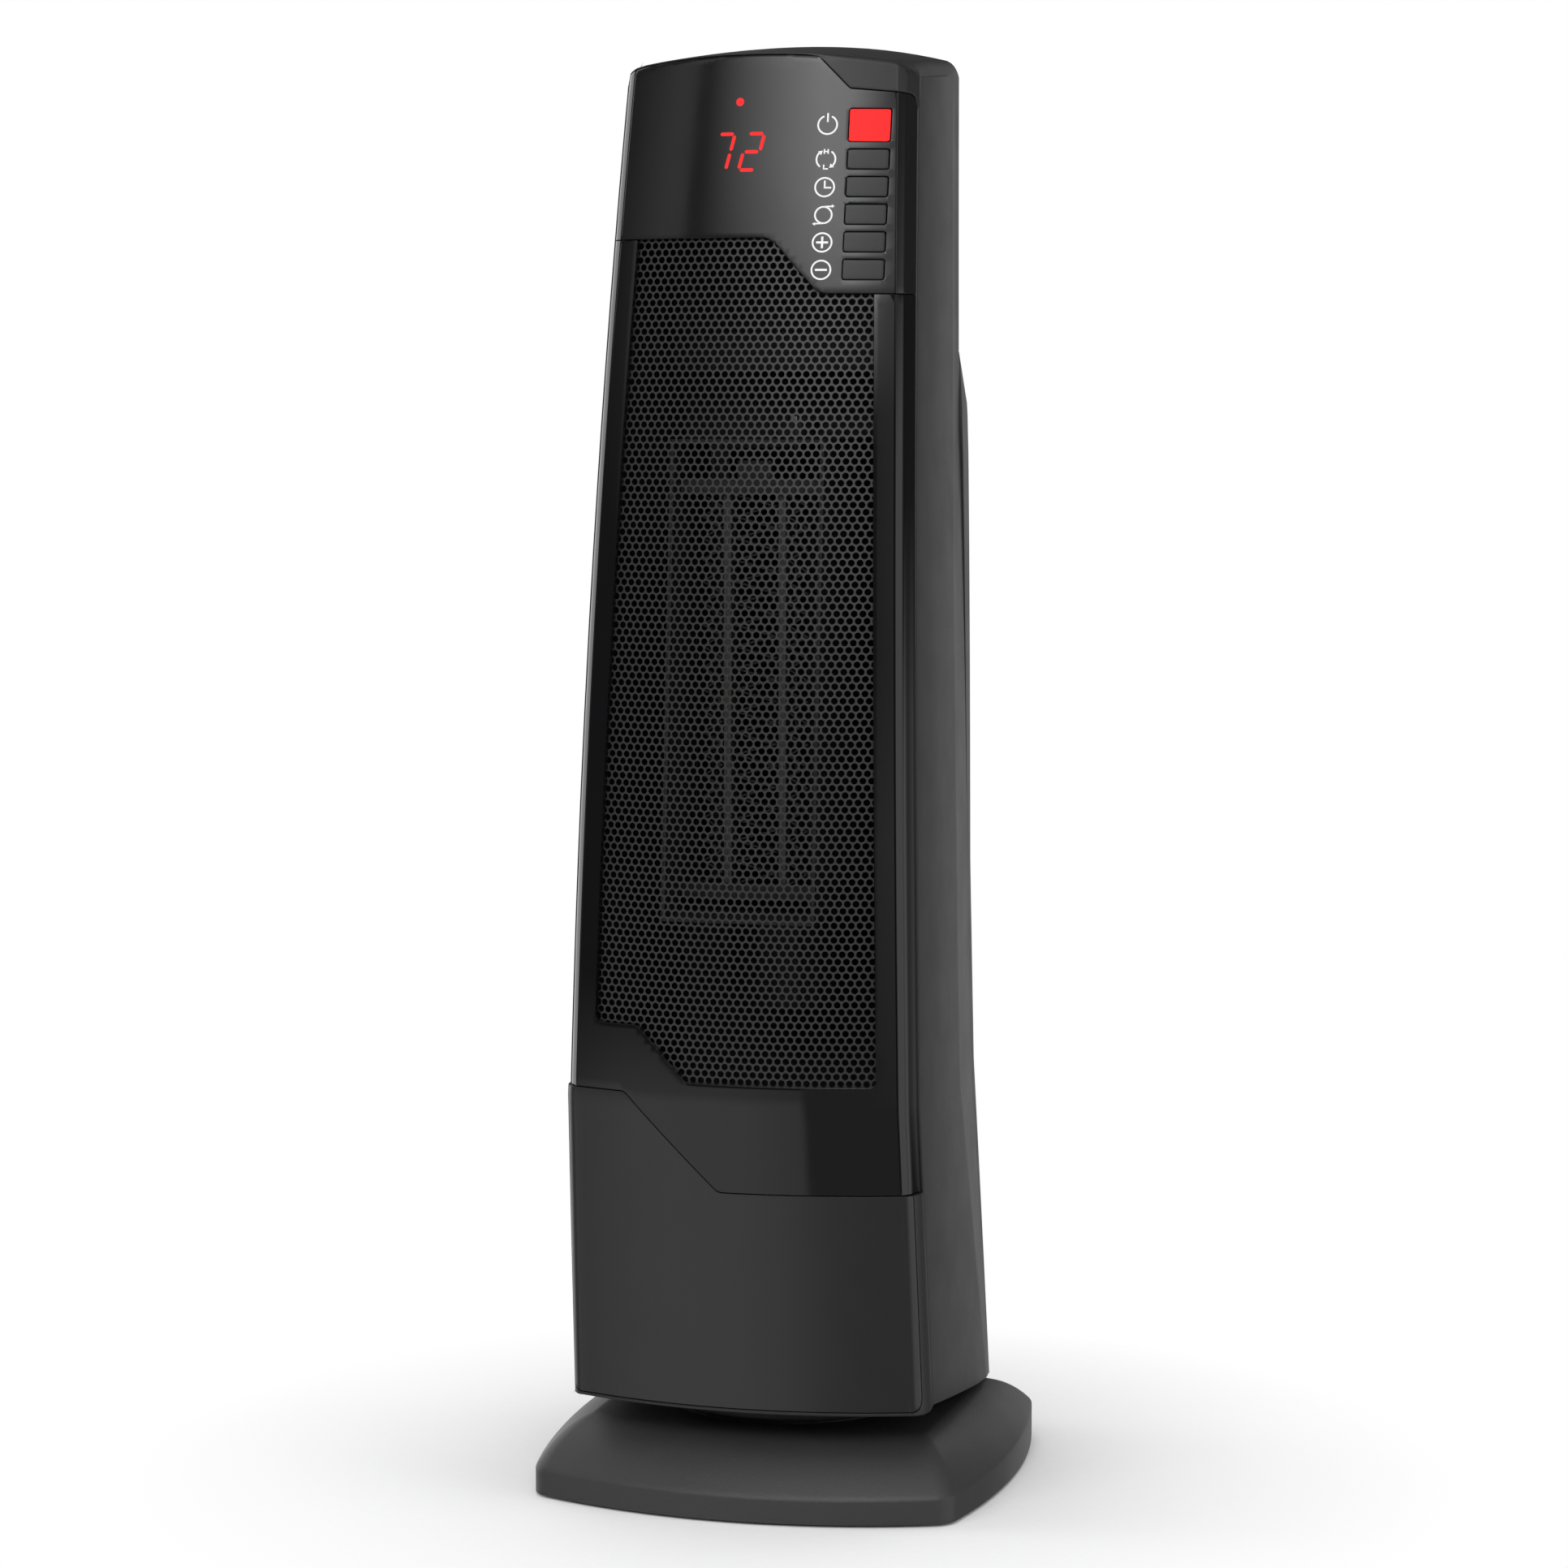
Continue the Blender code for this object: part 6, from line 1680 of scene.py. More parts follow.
    def crown(self, panels: FrontPanels) -> tuple:
        """The skin above the panels and the rear cover's ramp.

        Args:
            panels: The front panels.

        Returns:
            The crown's object and the height at which it starts for each column.
        """
        stations = self.stations()
        surface, front, side, rear = stations
        count = len(front)
        columns = count + 2 * len(side) + 2 * len(rear) - 1
        low = np.empty(columns)
        low[:count] = self.front_low(surface, front, panels)
        around = np.linspace(0.0, 1.0, columns - count + 2)[1:-1]
        low[count:] = low[count - 1] + (low[0] - low[count - 1]) * around
        weight = np.zeros(columns)
        weight[:count] = np.clip((surface.limit() - np.abs(front)) / surface.reach, 0.0, 1.0)
        radius = np.full(columns, self.side_radius)
        growth = np.clip((front - self.corner_start) / self.corner_growth, 0.0, 1.0)
        radius[:count] = self.lip_radius + (self.corner_radius - self.lip_radius) * growth
        radius[count + len(side): columns - len(side)] = self.rear_radius
        high = np.full((1, columns), TOWER.top_front_z)
        for _ in range(ROUNDS):
            spots = self.loop(high, stations)[0]
            rise = TOWER.top_height(spots[:, 0], spots[:, 1]) - weight * radius
            high[0, :count] = rise[:count]
        brink = spots.copy()
        brink[:, 2] = rise
        low[:count] = np.minimum(low[:count], rise[:count] - self.lip_radius / 3.0)
        heights = low + (rise - low) * np.linspace(0.0, 1.0, self.wall_rows)[:, None]
        blend = np.clip(1.0 - (rise - heights) / self.blend_height, 0.0, 1.0)[..., None] ** 2
        shift = brink - self.loop(rise[None], stations)[0]
        walls = self.loop(heights, stations) + shift * blend
        walls[0] = self.loop(low[None], stations)[0]
        grid = np.concatenate([walls, *self.cap(brink, weight, radius)])
        return grid_piece("crown", grid, around=True), low

    def cap(self, brink: Array, weight: Array, radius: Array) -> tuple:
        """The rounded edge inside the brink and the arched top inside the edge.

        Args:
            brink: Positions where the upright wall ends.
            weight: How much of the rounding is lost in height, from 0 to 1.
            radius: The rounding's radius.

        Returns:
            The edge's and the top's rows of positions.
        """
        centre = np.array([0.0, 0.5 * (brink[:, 1].min() + brink[:, 1].max())])
        inward = unit(np.clip(brink[:, :2], self.spine_low, self.spine_high) - brink[:, :2])
        turn = np.radians(np.arange(1, self.edge_steps + 1) * 90.0 / self.edge_steps)[:, None]
        edge = brink[None, :, :2] + inward[None] * (radius * (1.0 - np.cos(turn)))[..., None]
        edge = self.topped(edge, weight * radius * (1.0 - np.sin(turn)))
        shares = np.array(self.top_shares)[:, None, None]
        top = self.topped(edge[-1, None, :, :2] * (1.0 - shares) + centre * shares, 0.0)
        return edge, top

    def topped(self, plan: Array, lost: Array) -> Array:
        """Positions on the arched top over a plan, lowered by what is lost."""
        z = TOWER.top_height(plan[..., 0], plan[..., 1]) - lost
        return np.concatenate([plan, z[..., None]], -1)

    def band(self, low: Array) -> Item:
        """Sides and rear between the rear cover's ramp and the crown.

        Args:
            low: The height at which the crown starts, for each column.

        Returns:
            The band.
        """
        stations = self.stations()
        front = len(stations[1])
        start = np.full(low.shape, TOWER.hump_top_z)
        t = np.linspace(0.0, 1.0, self.band_rows)[:, None]
        grid = self.loop(start + (low - start) * t, stations)
        grid = np.concatenate([grid[:, front - 1:], grid[:, :1]], axis=1)
        return grid_piece("band", grid)

    def lower_side(self) -> Item:
        """The right side under the ramp, from the sloping bottom up to the ramp's top.

        Returns:
            The side.
        """
        s = np.concatenate([[0.0], self.stations()[2]])
        bottom = np.full((1, len(s)), TOWER.front_bottom_z)
        for _ in range(ROUNDS):
            y = self.side(bottom, s[None, :], False)[..., 1]
            near = np.clip(1.0 - (y - y[:, :1]) / self.foot_run, 0.0, 1.0)
            bottom = TOWER.bottom_height(y) + (self.foot_top() - TOWER.bottom_height(y[:, :1])) * near
        t = np.linspace(0.0, 1.0, self.side_rows)[:, None]
        return grid_piece("side", self.side(bottom + (TOWER.hump_top_z - bottom) * t, s[None, :], False))

    def foot_top(self) -> float:
        """The height at which the front corner's rounded foot ends."""
        return TOWER.front_bottom_z + self.foot_lift + self.foot_radius

    def front_flange(self, low: float, high: float, sign: float) -> Item:
        """The flat strip behind the front panels at one side, between two heights.

        Args:
            low: The lower height.
            high: The upper height.
            sign: 1 at the right, -1 at the left.

        Returns:
            The strip.
        """
        z = np.linspace(low, high, self.flange_rows)[:, None]
        x = sign * (TOWER.half_width(z) - self.flange * np.array([self.flange_shares]))
        return grid_piece("flange", stacked(x, TOWER.rim(z), z), turned=sign < 0.0)

    def foot_rise(self, past: Array) -> Array:
        """How far the lower edge has risen at a distance from the front corner: a quarter ellipse."""
        near = np.clip(1.0 - past / self.foot_reach, 0.0, 1.0)
        return self.foot_lift + self.foot_radius * (1.0 - np.sqrt(1.0 - near**2))

    def lower_frame(self, panels: FrontPanels) -> Item:
        """The frame beside and under the lower cover: its inner edge follows the cover's corners.

        Args:
            panels: The front panels.

        Returns:
            The frame.
        """
        surface, ends = panels.lower_surface()
        limit = surface.limit()
        tops = np.array([panels.bezel_left_z, panels.bezel_right_z]) - panels.seam / 2.0
        past = (1.0 - np.sin(np.linspace(0.0, math.pi / 2.0, self.foot_points))) * self.foot_reach
        outer_v = np.concatenate([past[::-1] - limit, limit - past])
        outer = np.column_stack([outer_v, TOWER.front_bottom_z + self.foot_rise(limit - np.abs(outer_v))])
        inset = panels.cover_corner * np.linspace(0.0, 1.0, panels.end_points) ** 2
        inner_v = np.concatenate([ends - inset, inset[::-1] - ends])
        grown = inner_v + np.sign(inner_v) * panels.seam
        inner = np.column_stack([grown, panels.cover_low(inner_v, ends) - panels.seam])
        side = ends + panels.seam
        left, right = [(-side, tops[0]), (-limit, tops[0])], [(limit, tops[1]), (side, tops[1])]
        outline = np.concatenate([outer, right, inner, left])
        return plate("frame", surface, outline, (), 2.0 * MM, surface.columns())

    def inner_tongue(self) -> Item:
        """A strip inside the sides and the rear that closes the joint over the rear cover.

        Returns:
            The strip.
        """
        stations = self.stations()
        front, side = len(stations[1]), len(stations[2])
        count = front + 2 * side + 2 * len(stations[3]) - 1
        plan = self.loop(np.full((1, count), TOWER.hump_top_z), stations)[0]
        plan = plan[front + side // 2: count - side // 2, :2]
        plan = plan + left_normals(plan) * (self.wall + self.tongue_gap)
        z = TOWER.hump_top_z + self.tongue_height * np.linspace(-1.0, 1.0, 5)[:, None]
        return grid_piece("tongue", stacked(plan[None, :, 0], plan[None, :, 1], z))

    def build(self, panels: FrontPanels, finishes: Finishes) -> None:
        """Joins the skin and gives it its wall.

        Args:
            panels: The front panels.
            finishes: The materials.
        """
        crown, low = self.crown(panels)
        right = self.lower_side()
        left = mirrored(right)
        ends = ((1.0, float(low[len(self.stations()[1]) - 1])), (-1.0, float(low[0])))
        flanges = [walled(self.front_flange(self.foot_top(), end, sign), self.wall, self.edge)
                   for sign, end in ends]
        strip = walled(self.lower_frame(panels), self.wall, self.edge, 60.0)
        skin = walled(merged("skin", [crown, self.band(low), right, left]), self.wall, self.edge)
        tongue = walled(self.inner_tongue(), self.tongue, self.tongue_edge)
        housing = merged("tower_skin", [skin, strip, tongue] + flanges, 0.001 * MM)
        dressed(smooth(housing, 40.0), finishes.grained, "grained_black", Body.TOWER, "tower_housing")


def mirrored(item: Item) -> Item:
    """A copy turned over to the other side, its faces still outwards.

    Args:
        item: The piece.

    Returns:
        The copy.
    """
    made = linked(item.name + "_other", item.data.copy())
    made.data.transform(Matrix.Scale(-1.0, 4, (1.0, 0.0, 0.0)))
    return flipped(made)


# Rear


@dataclass(frozen=True)
class BackSurface:
    """The rear cover as a function of (v, z): a flat back, a small corner and the facet."""

    seam: float = 0.5 * MM
    flat: float = 60.0 * MM
    arc: float = 3.2 * MM
    facet: float = 20.0 * MM
    depth: float = 0.0

    def __call__(self, v: Array, z: Array) -> Array:
        """Positions on the surface, seen from the front as x to the right.

        Args:
            v: First parameters.
            z: Heights.

        Returns:
            Positions.
        """
        v, z = np.broadcast_arrays(np.asarray(v, float), np.asarray(z, float))
        radius = TOWER.rear_corner_radius
        reach = TOWER.rear_half_width(z) - radius
        near = np.minimum(np.abs(v) / self.flat, 1.0) * reach
        past = np.maximum(np.abs(v) - self.flat, 0.0)
        turn = np.clip(past / self.arc, 0.0, 1.0) * math.pi / 2.0
        share = np.clip((past - self.arc) / self.facet, 0.0, 1.0)
        rear = TOWER.tower_rear(z)
        end = np.minimum(TOWER.housing_rear(z) + self.seam, rear - radius)
        run = (rear - radius - end) * share
        x = near + radius * np.sin(turn) + TOWER.facet_shares[0] * run
        y = rear - radius + radius * np.cos(turn) - run - self.depth
        return stacked(np.sign(v) * x, y, z)

    def limit(self) -> float:
        """The largest first parameter."""
        return self.flat + self.arc + self.facet

    def columns(self) -> Array:
        """First parameters at which the surface bends."""
        past = self.flat + np.concatenate([np.linspace(0.0, self.arc, 6), [self.arc + self.facet]])
        return np.concatenate([-past[::-1], past])

    def laid_out(self, points: Sequence[Spot]) -> Array:
        """An outline in x and z turned into the surface's parameters.

        Args:
            points: Points in x and z.

        Returns:
            The parameters.
        """
        points = np.asarray(points, float)
        reach = TOWER.rear_half_width(points[:, 1]) - TOWER.rear_corner_radius
        return np.column_stack([points[:, 0] * self.flat / reach, points[:, 1]])


@dataclass(frozen=True)
class Back:
    """The humped rear cover and the louvred intake grille in it."""

    wall: float = 2.0 * MM
    edge: float = 0.35 * MM
    half: float = 44.0 * MM
    low: float = 244.0 * MM
    high: float = 420.0 * MM
    corner: float = 3.0 * MM
    pitch: float = 5.0 * MM
    clearance: float = 0.3 * MM
    border: float = 7.0 * MM
    bar: float = 5.0 * MM
    slot_edge: float = 0.6 * MM
    rows: int = 11
    columns: int = 2
    foot_gap: float = 0.4 * MM
    inlet: tuple = (30.0 * MM, 62.0 * MM)
    inlet_radius: float = 7.3 * MM
    screws: tuple = ((52.0 * MM, 420.0 * MM), (58.0 * MM, 70.0 * MM))
    screw_radius: float = 1.56 * MM
    screen_wall: float = 0.5 * MM
    screen_edge: float = 0.1 * MM

    def panel(self, grow: float, surface: BackSurface) -> Array:
        """The intake's rounded outline."""
        half, low, high = self.half + grow, self.low - grow, self.high + grow
        return rectangle(-half, low, half, high, self.corner, surface.laid_out)

    def round_hole(self, place: Spot, radius: float, surface: BackSurface, sides: int) -> Array:
        """A round opening's edge."""
        return surface.laid_out(circle(np.arange(sides) * 360.0 / sides, radius, place))

    def cover(self) -> Item:
        """The rear cover, open for the intake, the inlet and the screws.

        Returns:
            The cover.
        """
        surface = BackSurface()
        limit = surface.limit()
        low = float(TOWER.bottom_height(np.array(TOWER.rear_bottom))) + self.foot_gap
        top = TOWER.hump_top_z - self.clearance
        outline = [(-limit, low), (limit, low), (limit, top), (-limit, top)]
        holes = [self.panel(0.0, surface), self.round_hole(self.inlet, self.inlet_radius, surface, 24)]
        holes += [self.round_hole((side * x, z), self.screw_radius, surface, 12)
                  for x, z in self.screws for side in (-1.0, 1.0)]
        sheet = plate("rear_skin", surface, outline, holes, self.pitch, surface.columns())
        return smooth(walled(flipped(sheet), self.wall, self.edge))

    def grille(self) -> Item:
        """The intake grille: rows of rounded slots between even bars.

        Returns:
            The grille.
        """
        surface = BackSurface()
        left, right = -self.half + self.border, self.half - self.border
        low, high = self.low + self.border, self.high - self.border
        pitch = (high - low + self.bar) / self.rows
        width = (right - left + self.bar) / self.columns
        slots = []
        for row in range(self.rows):
            for column in range(self.columns):
                x, z = left + column * width, low + row * pitch
                slots.append(rectangle(x, z, x + width - self.bar, z + pitch - self.bar, self.corner,
                                       surface.laid_out))
        sheet = plate("intake_louvres", surface, self.panel(-self.clearance, surface), slots, self.pitch)
        return smooth(walled(flipped(sheet), self.wall, self.slot_edge, segments=3))

    def screen(self) -> Item:
        """A thin black sheet that lies behind the intake's slots: painted shade that stands in for the dark
        inside and keeps light from showing through them.

        Returns:
            The screen.
        """
        surface = BackSurface()
        sheet = plate("shade_screen", surface, self.panel(self.wall, surface), (), self.pitch)
        sheet.data.transform(Matrix.Translation((0.0, -2.0 * self.wall, 0.0)))
        return smooth(walled(flipped(sheet), self.screen_wall, self.screen_edge))

    def build(self, finishes: Finishes) -> None:
        """Makes and dresses the rear cover, the grille and the black sheet of painted shade behind the
        slots.

        Args:
            finishes: The materials.
        """
        dressed(self.cover(), finishes.grained, "grained_black", Body.TOWER, "rear_cover")
        dressed(self.grille(), finishes.grained, "grained_black", Body.TOWER, "intake_grille")
        # The black sheet behind the slots is painted shade.
        dressed(self.screen(), finishes.mesh, "mesh_black", Body.TOWER, "intake_grille")


def flipped(item: Item) -> Item:
    """Turns a sheet's faces to its other side."""
    item.data.flip_normals()
    return item


# Stand


@dataclass(frozen=True)
class Stand:
    """The stand's cover: a low wall, a rounded rim, a rounded slope and a flat deck round the cup."""

    clearance: float = 1.0 * MM
    half: float = 95.0 * MM
    side_bulge: float = 7.1 * MM
    front_bulge: float = 15.5 * MM
    corner: float = 11.0 * MM
    rim_height: float = 10.5 * MM
    rim_slope_share: float = 0.030
    deck_z: float = 29.6 * MM
    deck_half: tuple = (70.3 * MM, 64.7 * MM)
    deck_bulge: tuple = (0.5 * MM, 14.7 * MM)
    deck_corner: float = 3.0 * MM
    slope_straight_share: float = 0.38
    slope_power_share: float = 2.6
    wall: float = 2.4 * MM
    mouth: float = 49.7 * MM
    mouth_edge: float = 0.3 * MM
    rounding: float = 1.1 * MM
    rim_share: float = 0.045
    foot_rounding: tuple = ((0.5 * MM, 0.0), (0.12 * MM, 0.15 * MM), (0.0, 0.6 * MM))
    slope_shares: tuple = (0.08, 0.14, 0.2, 0.27, 0.34, 0.42, 0.5, 0.58, 0.66, 0.74, 0.82, 0.9, 0.96, 1.0)
    lining_shares: tuple = (0.94, 0.96)
    lining_power_share: float = 1.81
    wall_shares: tuple = (0.3, 0.6)
    deck_shares: tuple = (0.06, 0.3, 0.65, 0.97)
    inner_shares: tuple = (0.75, 0.5, 0.25, 0.0)
    rim_steps: int = 7
    side_steps: int = 24
    corner_steps: int = 8

    def outline(self, half: Spot, bulge: Spot, radius: float) -> Array:
        """A rectangle with bowed sides and rounded corners, counter-clockwise.

        Each side is a parabola moved out by the corner's radius along its own normals, and the
        corners are arcs between the neighbouring normals.

        Args:
            half: Half its width and depth.
            bulge: How far the sides bow out.
            radius: The corners' radius.

        Returns:
            The points.
        """
        reach = np.linspace(-1.0, 1.0, self.side_steps + 1)
        bow = 1.0 - reach**2
        across, along = half[0] - bulge[0] - radius, half[1] - bulge[1] - radius
        front = np.column_stack([across * reach, -along - bulge[1] * bow])
        right = np.column_stack([across + bulge[0] * bow, along * reach])
        lines = (front, right, -front, -right)
        normals = [-left_normals(line, 2) for line in lines]
        made = []
        for k, line in enumerate(lines):
            made.append(line + radius * normals[k])
            start, end = normals[k][-1], normals[(k + 1) % 4][0]
            share = np.linspace(0.0, 1.0, self.corner_steps + 2)[1:-1, None]
            made.append(line[-1] + radius * unit(start * (1.0 - share) + end * share))
        return np.concatenate(made)

    def rings(self) -> Array:
        """The closed profile's rings, from the foot outside up over the slope and back inside.

        Returns:
            One row of positions for each ring.
        """
        bulge, wall = (self.side_bulge, self.front_bulge), self.wall
        foot = self.outline((self.half, self.half), bulge, self.corner)
        deck = self.outline(self.deck_half, self.deck_bulge, self.deck_corner)
        inner = self.outline((self.half - wall, self.half - wall), bulge, self.corner - wall)
        behind = foot[:, 1] + self.half - self.front_bulge
        rim = self.clearance + self.rim_height + self.rim_slope_share * behind

        def at(plan: Array, z: Union[float, Array]) -> Array:
            """A ring of a plan at a height."""
            return np.column_stack([plan, np.broadcast_to(z, len(plan))])

        def slope(share: float) -> Array:
            """A ring on the slope.

            Args:
                share: The share of the way up.

            Returns:
                The ring.
            """
            curve = 1.0 - (1.0 - share) ** self.slope_power_share
            climb = self.slope_straight_share * share + (1.0 - self.slope_straight_share) * curve
            return at(foot + (deck - foot) * share, rim + (self.deck_z - rim) * climb)

        inward = unit(deck - foot)
        low = self.clearance
        rows = [at(foot + inward * inset, low + lift) for inset, lift in self.foot_rounding]
        rows += [at(foot, low + (rim - low) * s) for s in self.wall_shares]
        start, corner, end = at(foot, rim - self.rounding), at(foot, rim), slope(self.rim_share)
        for t in np.linspace(0.0, 1.0, self.rim_steps):
            rows.append(start * (1 - t) ** 2 + corner * 2 * t * (1 - t) + end * t**2)
        rows += [slope(s) for s in self.slope_shares]
        turn = np.arctan2(deck[:, 1], deck[:, 0])
        ring = np.column_stack([np.cos(turn), np.sin(turn)]) * self.mouth
        rows += [at(deck + (ring - deck) * s, self.deck_z) for s in self.deck_shares]
        rows += [at(ring, self.deck_z - self.mouth_edge), at(ring, self.deck_z - wall)]
        rows.append(at(deck * self.lining_shares[0], self.deck_z - wall))
        for s in self.inner_shares:
            climb = 1.0 - (1.0 - s) ** self.lining_power_share
            plan = inner + (deck * self.lining_shares[1] - inner) * s
            rows.append(at(plan, rim - wall + (self.deck_z - rim) * climb))
        rows.append(at(inner, low))
        return np.array(rows)

    def build(self, finishes: Finishes) -> None:
        """Makes and dresses the cover."""
        cover = grid_piece("stand_skin", self.rings(), around=True, closed=True)
        # The stand's finish is a lighter copy of the grained black: painted light.
        dressed(smooth(cover, 40.0), finishes.stand, "grained_black", Body.STAND, "stand_cover")


# Solids that stay, camera and studio


def dress_solids(nodes: dict, finishes: Finishes) -> None:
    """Gives every solid that stays visible its own finish.

    Args:
        nodes: The solids by name.
        finishes: The materials.
    """
    kinds = {
        "grained": ("bearing_cup", "turntable_dish", "tower_floor"),
        "dark_steel": ("stand_plate", "blower_wheel", "blower_motor"),
        "rubber": ("foot_front_left", "foot_front_right", "foot_rear_left", "foot_rear_right", "cord_inlet"),
        "white": ("drive_guide", "swing_crank", "display_module"),
        # The inner black plastic's extra darkness is painted shade.
        "heat": ("duct_frame", "upper_bearing", "thermal_cutout", "element_holder_top",
                 "element_holder_bottom", "blower_casing", "slide_ring"),
        "board": ("control_board",),
        # The rails' darkened ceramic carries painted shade.
        "ceramic": ("heater_rail_left", "heater_rail_right"),
        # The fins' darkened aluminium carries painted shade.
        "aluminium": ("fin_pack_left", "fin_pack_centre", "fin_pack_right"),
        "steel": ("retainer", "swing_motor", "blower_shaft"),
    }
    chosen = {name: getattr(finishes, kind) for kind, names in kinds.items() for name in names}
    for name, node in nodes.items():
        finish = chosen.get(name, finishes.steel if "screw" in name else finishes.grained)
        node.data.materials.clear()
        node.data.materials.append(finish)
        LOG.info("%s keeps its solid as %s", name, finish.name)


@dataclass(frozen=True)
class Camera:
    """The photograph's camera, solved from it."""

    place: tuple = (455.05 * MM, -1648.55 * MM, 445.46 * MM)
    pitch_degrees: float = 84.647
    turn_degrees: float = 15.517
    lens: float = 95.96
    sensor: float = 36.0

    def build(self) -> None:
        """Makes it the scene's camera."""
        data = bpy.data.cameras.new("camera")
        data.lens = self.lens
        data.sensor_width = self.sensor
        item = linked("camera", data)
        item.location = self.place
        item.rotation_euler = Euler((math.radians(self.pitch_degrees), 0.0, math.radians(self.turn_degrees)))
        bpy.context.scene.camera = item


@dataclass(frozen=True)
class Lamp:
    """One soft box: where it hangs, what it faces, its size and its strength in watts."""

    name: str
    place: tuple
    target: tuple
    size: tuple
    watts: float

    def build(self) -> None:
        """Hangs the lamp."""
        data = bpy.data.lights.new(self.name, "AREA")
        data.shape = "RECTANGLE"
        data.size, data.size_y = self.size
        data.energy = self.watts
        item = linked(self.name, data)
        item.location = self.place
        item.rotation_euler = (Vector(self.target) - Vector(self.place)).to_track_quat("-Z", "Y").to_euler()
        item.visible_camera = False
        item.visible_glossy = False


@dataclass(frozen=True)
class Glow:
    """One soft patch of the studio as it shows in the heater's gloss.

    Its brightness climbs from nothing to full between two angles round the heater and again
    between two angles of height, and ends at two others. Angles are in degrees; round the
    heater 0 is the front and 90 its right side.
    """

    strength: float
    round_start: tuple
    round_end: tuple
    height_start: tuple
    height_end: tuple


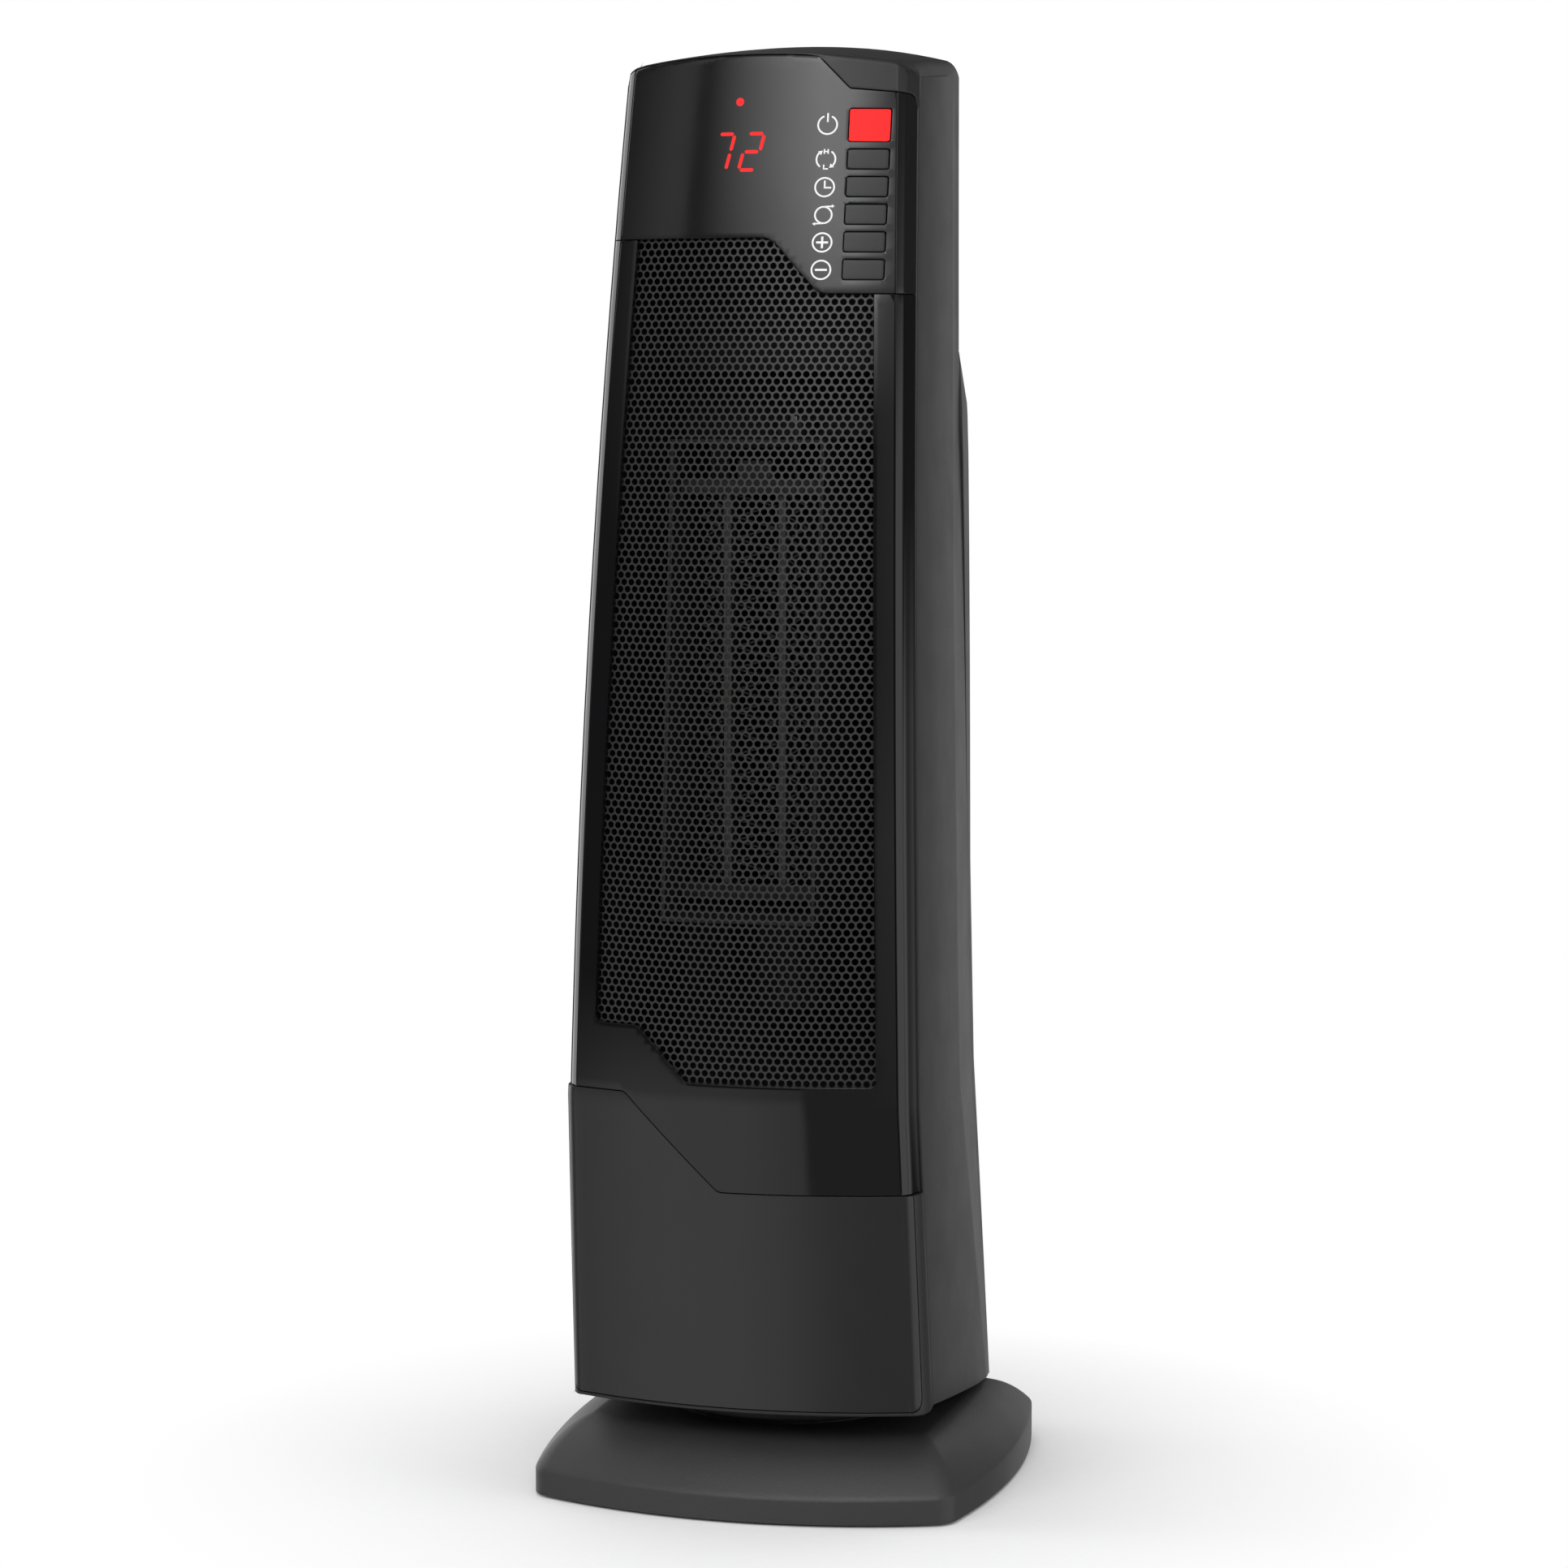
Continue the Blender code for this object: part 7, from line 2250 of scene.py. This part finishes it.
@dataclass(frozen=True)
class Studio:
    """A pale floor that fades into a white surround, soft boxes, and a dome with their reflections."""

    ambient: float = 0.30
    floor_radius: float = 12.0
    floor_net: tuple = (24, 96)
    floor_start: float = 0.05
    floor_tones: tuple = (0.88, 0.92)
    fade: tuple = (0.105, 0.275)
    dome_radius: float = 8.0
    dome_net: tuple = (24, 48)
    dome_level: float = 0.05
    lamps: tuple = (
        Lamp("front_box", (-0.10, -2.20, 1.75), (0.0, 0.0, 0.45), (3.4, 1.6), 50.0),
        Lamp("left_strip", (-2.0, -0.25, 0.75), (0.0, 0.0, 0.35), (0.5, 1.6), 16.0),
        Lamp("right_box", (2.2, -0.2, 0.9), (0.0, 0.0, 0.30), (1.2, 1.6), 18.0),
        Lamp("top_box", (0.0, 0.3, 2.4), (0.0, 0.0, 0.3), (1.6, 1.6), 16.0),
    )
    glows: tuple = (
        Glow(3.9, (-37, 10), (20, 36), (18.3, 25.2), (50, 60)),
        Glow(0.30, (20, 30), (56, 60), (-8, 4), (18, 24)),
        Glow(0.45, (-67, -50), (-43, -41), (12, 20), (50, 60)),
        Glow(0.60, (-85, -45), (3, 5), (-90, -89), (-7, -2)),
        Glow(0.18, (-62, -38), (-12, 2), (-90, -89), (-7, -2)),
        Glow(0.16, (3, 5), (60, 80), (-90, -89), (4, 10)),
        Glow(1.0, (-60, 0), (80, 100), (28, 46), (90, 91)),
        Glow(1.1, (58, 66), (88, 98), (-30, -20), (13, 20)),
        Glow(1.0, (90, 100), (118, 130), (-30, -20), (1.5, 6)),
        Glow(0.07, (140, 155), (179, 180), (-40, -20), (30, 45)),
        Glow(1.6, (161, 179), (179.5, 180), (-60, -50), (12, 30)),
        Glow(1.5, (-158, -148), (-100, -90), (-20, -10), (40, 55)),
    )

    def surround(self) -> None:
        """The world: white where it is looked at, dimmer where it lights."""
        graph = Graph("surround", "worlds", "Background")
        camera, glossy, glass = (graph.node("ShaderNodeLightPath", {}, {}, f"Is {ray} Ray")
                                 for ray in ("Camera", "Glossy", "Transmission"))
        seen = graph.maths("MAXIMUM", camera, graph.maths("MAXIMUM", glossy, glass))
        levels = {"Value": seen, "To Min": self.ambient, "To Max": 1.0}
        graph.put(Color=opaque((1.0, 1.0, 1.0)), Strength=graph.node("ShaderNodeMapRange", {}, levels))
        bpy.context.scene.world = graph.owner

    def floor(self) -> None:
        """A round pale floor: near the heater it takes its shadow, further out it fades to white."""
        rows, columns = self.floor_net
        radius = np.geomspace(self.floor_start, self.floor_radius, rows - 1)
        radius = np.concatenate([[0.0], radius])[:, None]
        turn = np.linspace(0.0, 2.0 * math.pi, columns, endpoint=False)[None, :]
        grid = stacked(radius * np.cos(turn), radius * np.sin(turn), 0.0)
        item = grid_piece("floor", grid, around=True)
        graph = Graph("floor_white")
        tones = (opaque((tone,) * 3) for tone in self.floor_tones)
        graph.put(Base_Color=graph.mix(graph.noise(4.0 * MM), *tones), Roughness=0.9)
        x, y, _ = graph.axes()
        far = self.climb(graph.maths("POWER", x * x + y * y, 0.5), self.fade)
        near, glow = Wire(graph, graph.shader.outputs[0]), graph.node("ShaderNodeEmission", {}, {})
        graph.surface(graph.node("ShaderNodeMixShader", {}, {0: far, 1: near, 2: glow}))
        item.data.materials.append(graph.owner)
        item.visible_glossy = False
        item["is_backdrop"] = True

    def dome(self) -> None:
        """A dome seen only in reflections: a dark room with the soft patches of the studio in it."""
        rows, columns = self.dome_net
        height = np.radians(np.linspace(-90.0, 90.0, rows))[:, None]
        turn = np.linspace(0.0, 2.0 * math.pi, columns, endpoint=False)[None, :]
        ball = stacked(np.cos(height) * np.cos(turn), np.cos(height) * np.sin(turn), np.sin(height))
        item = grid_piece("dome", ball * self.dome_radius, around=True, turned=True)
        graph = Graph("dome_glow")
        x, y, z = graph.axes()
        around = graph.maths("ARCTAN2", x, y * -1.0) * math.degrees(1.0)
        level = graph.maths("POWER", x * x + y * y, 0.5)
        high = graph.maths("ARCTAN2", z, level) * math.degrees(1.0)
        light = self.dome_level
        for glow in self.glows:
            patch = self.climb(around, glow.round_start) * (1.0 - self.climb(around, glow.round_end))
            patch = patch * self.climb(high, glow.height_start) * (1.0 - self.climb(high, glow.height_end))
            light = light + patch * glow.strength
        graph.surface(graph.node("ShaderNodeEmission", {}, {"Strength": light}))
        graph.owner.cycles.emission_sampling = "NONE"
        item.data.materials.append(graph.owner)
        item.visible_camera = False
        item.visible_diffuse = False
        item.visible_shadow = False
        item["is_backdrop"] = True

    def climb(self, value: Wire, ends: Spot) -> Wire:
        """0 below the first end, 1 above the second and a straight climb between them."""
        return ((value - ends[0]) / (ends[1] - ends[0])).clamped()

    def build(self) -> None:
        """Sets up surround, floor, dome and lamps."""
        self.surround()
        self.floor()
        self.dome()
        for lamp in self.lamps:
            lamp.build()
        bpy.context.scene.view_settings.view_transform = "Standard"


def corners(box: Sequence) -> list:
    """A box's two corners as plain lists."""
    return [[float(value) for value in corner] for corner in box]


def main() -> None:
    """Builds the heater's pieces in order, then the camera and the studio."""
    logging.basicConfig(level=logging.INFO, format="%(message)s")
    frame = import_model()
    solid_box = corners(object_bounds())
    finishes = Finishes()
    dress_solids(frame["nodes"], finishes)
    panels, keys = FrontPanels(), Keys()
    Stand().build(finishes)
    Housing().build(panels, finishes)
    Back().build(finishes)
    panels.build(finishes, keys)
    OutletMesh().build(panels, finishes)
    keys.build(finishes)
    Symbols().build(finishes)
    Display().build(finishes)
    Camera().build()
    Studio().build()
    {"cad": solid_box, "visual": corners(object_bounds())}


if __name__ == "__main__":
    main()
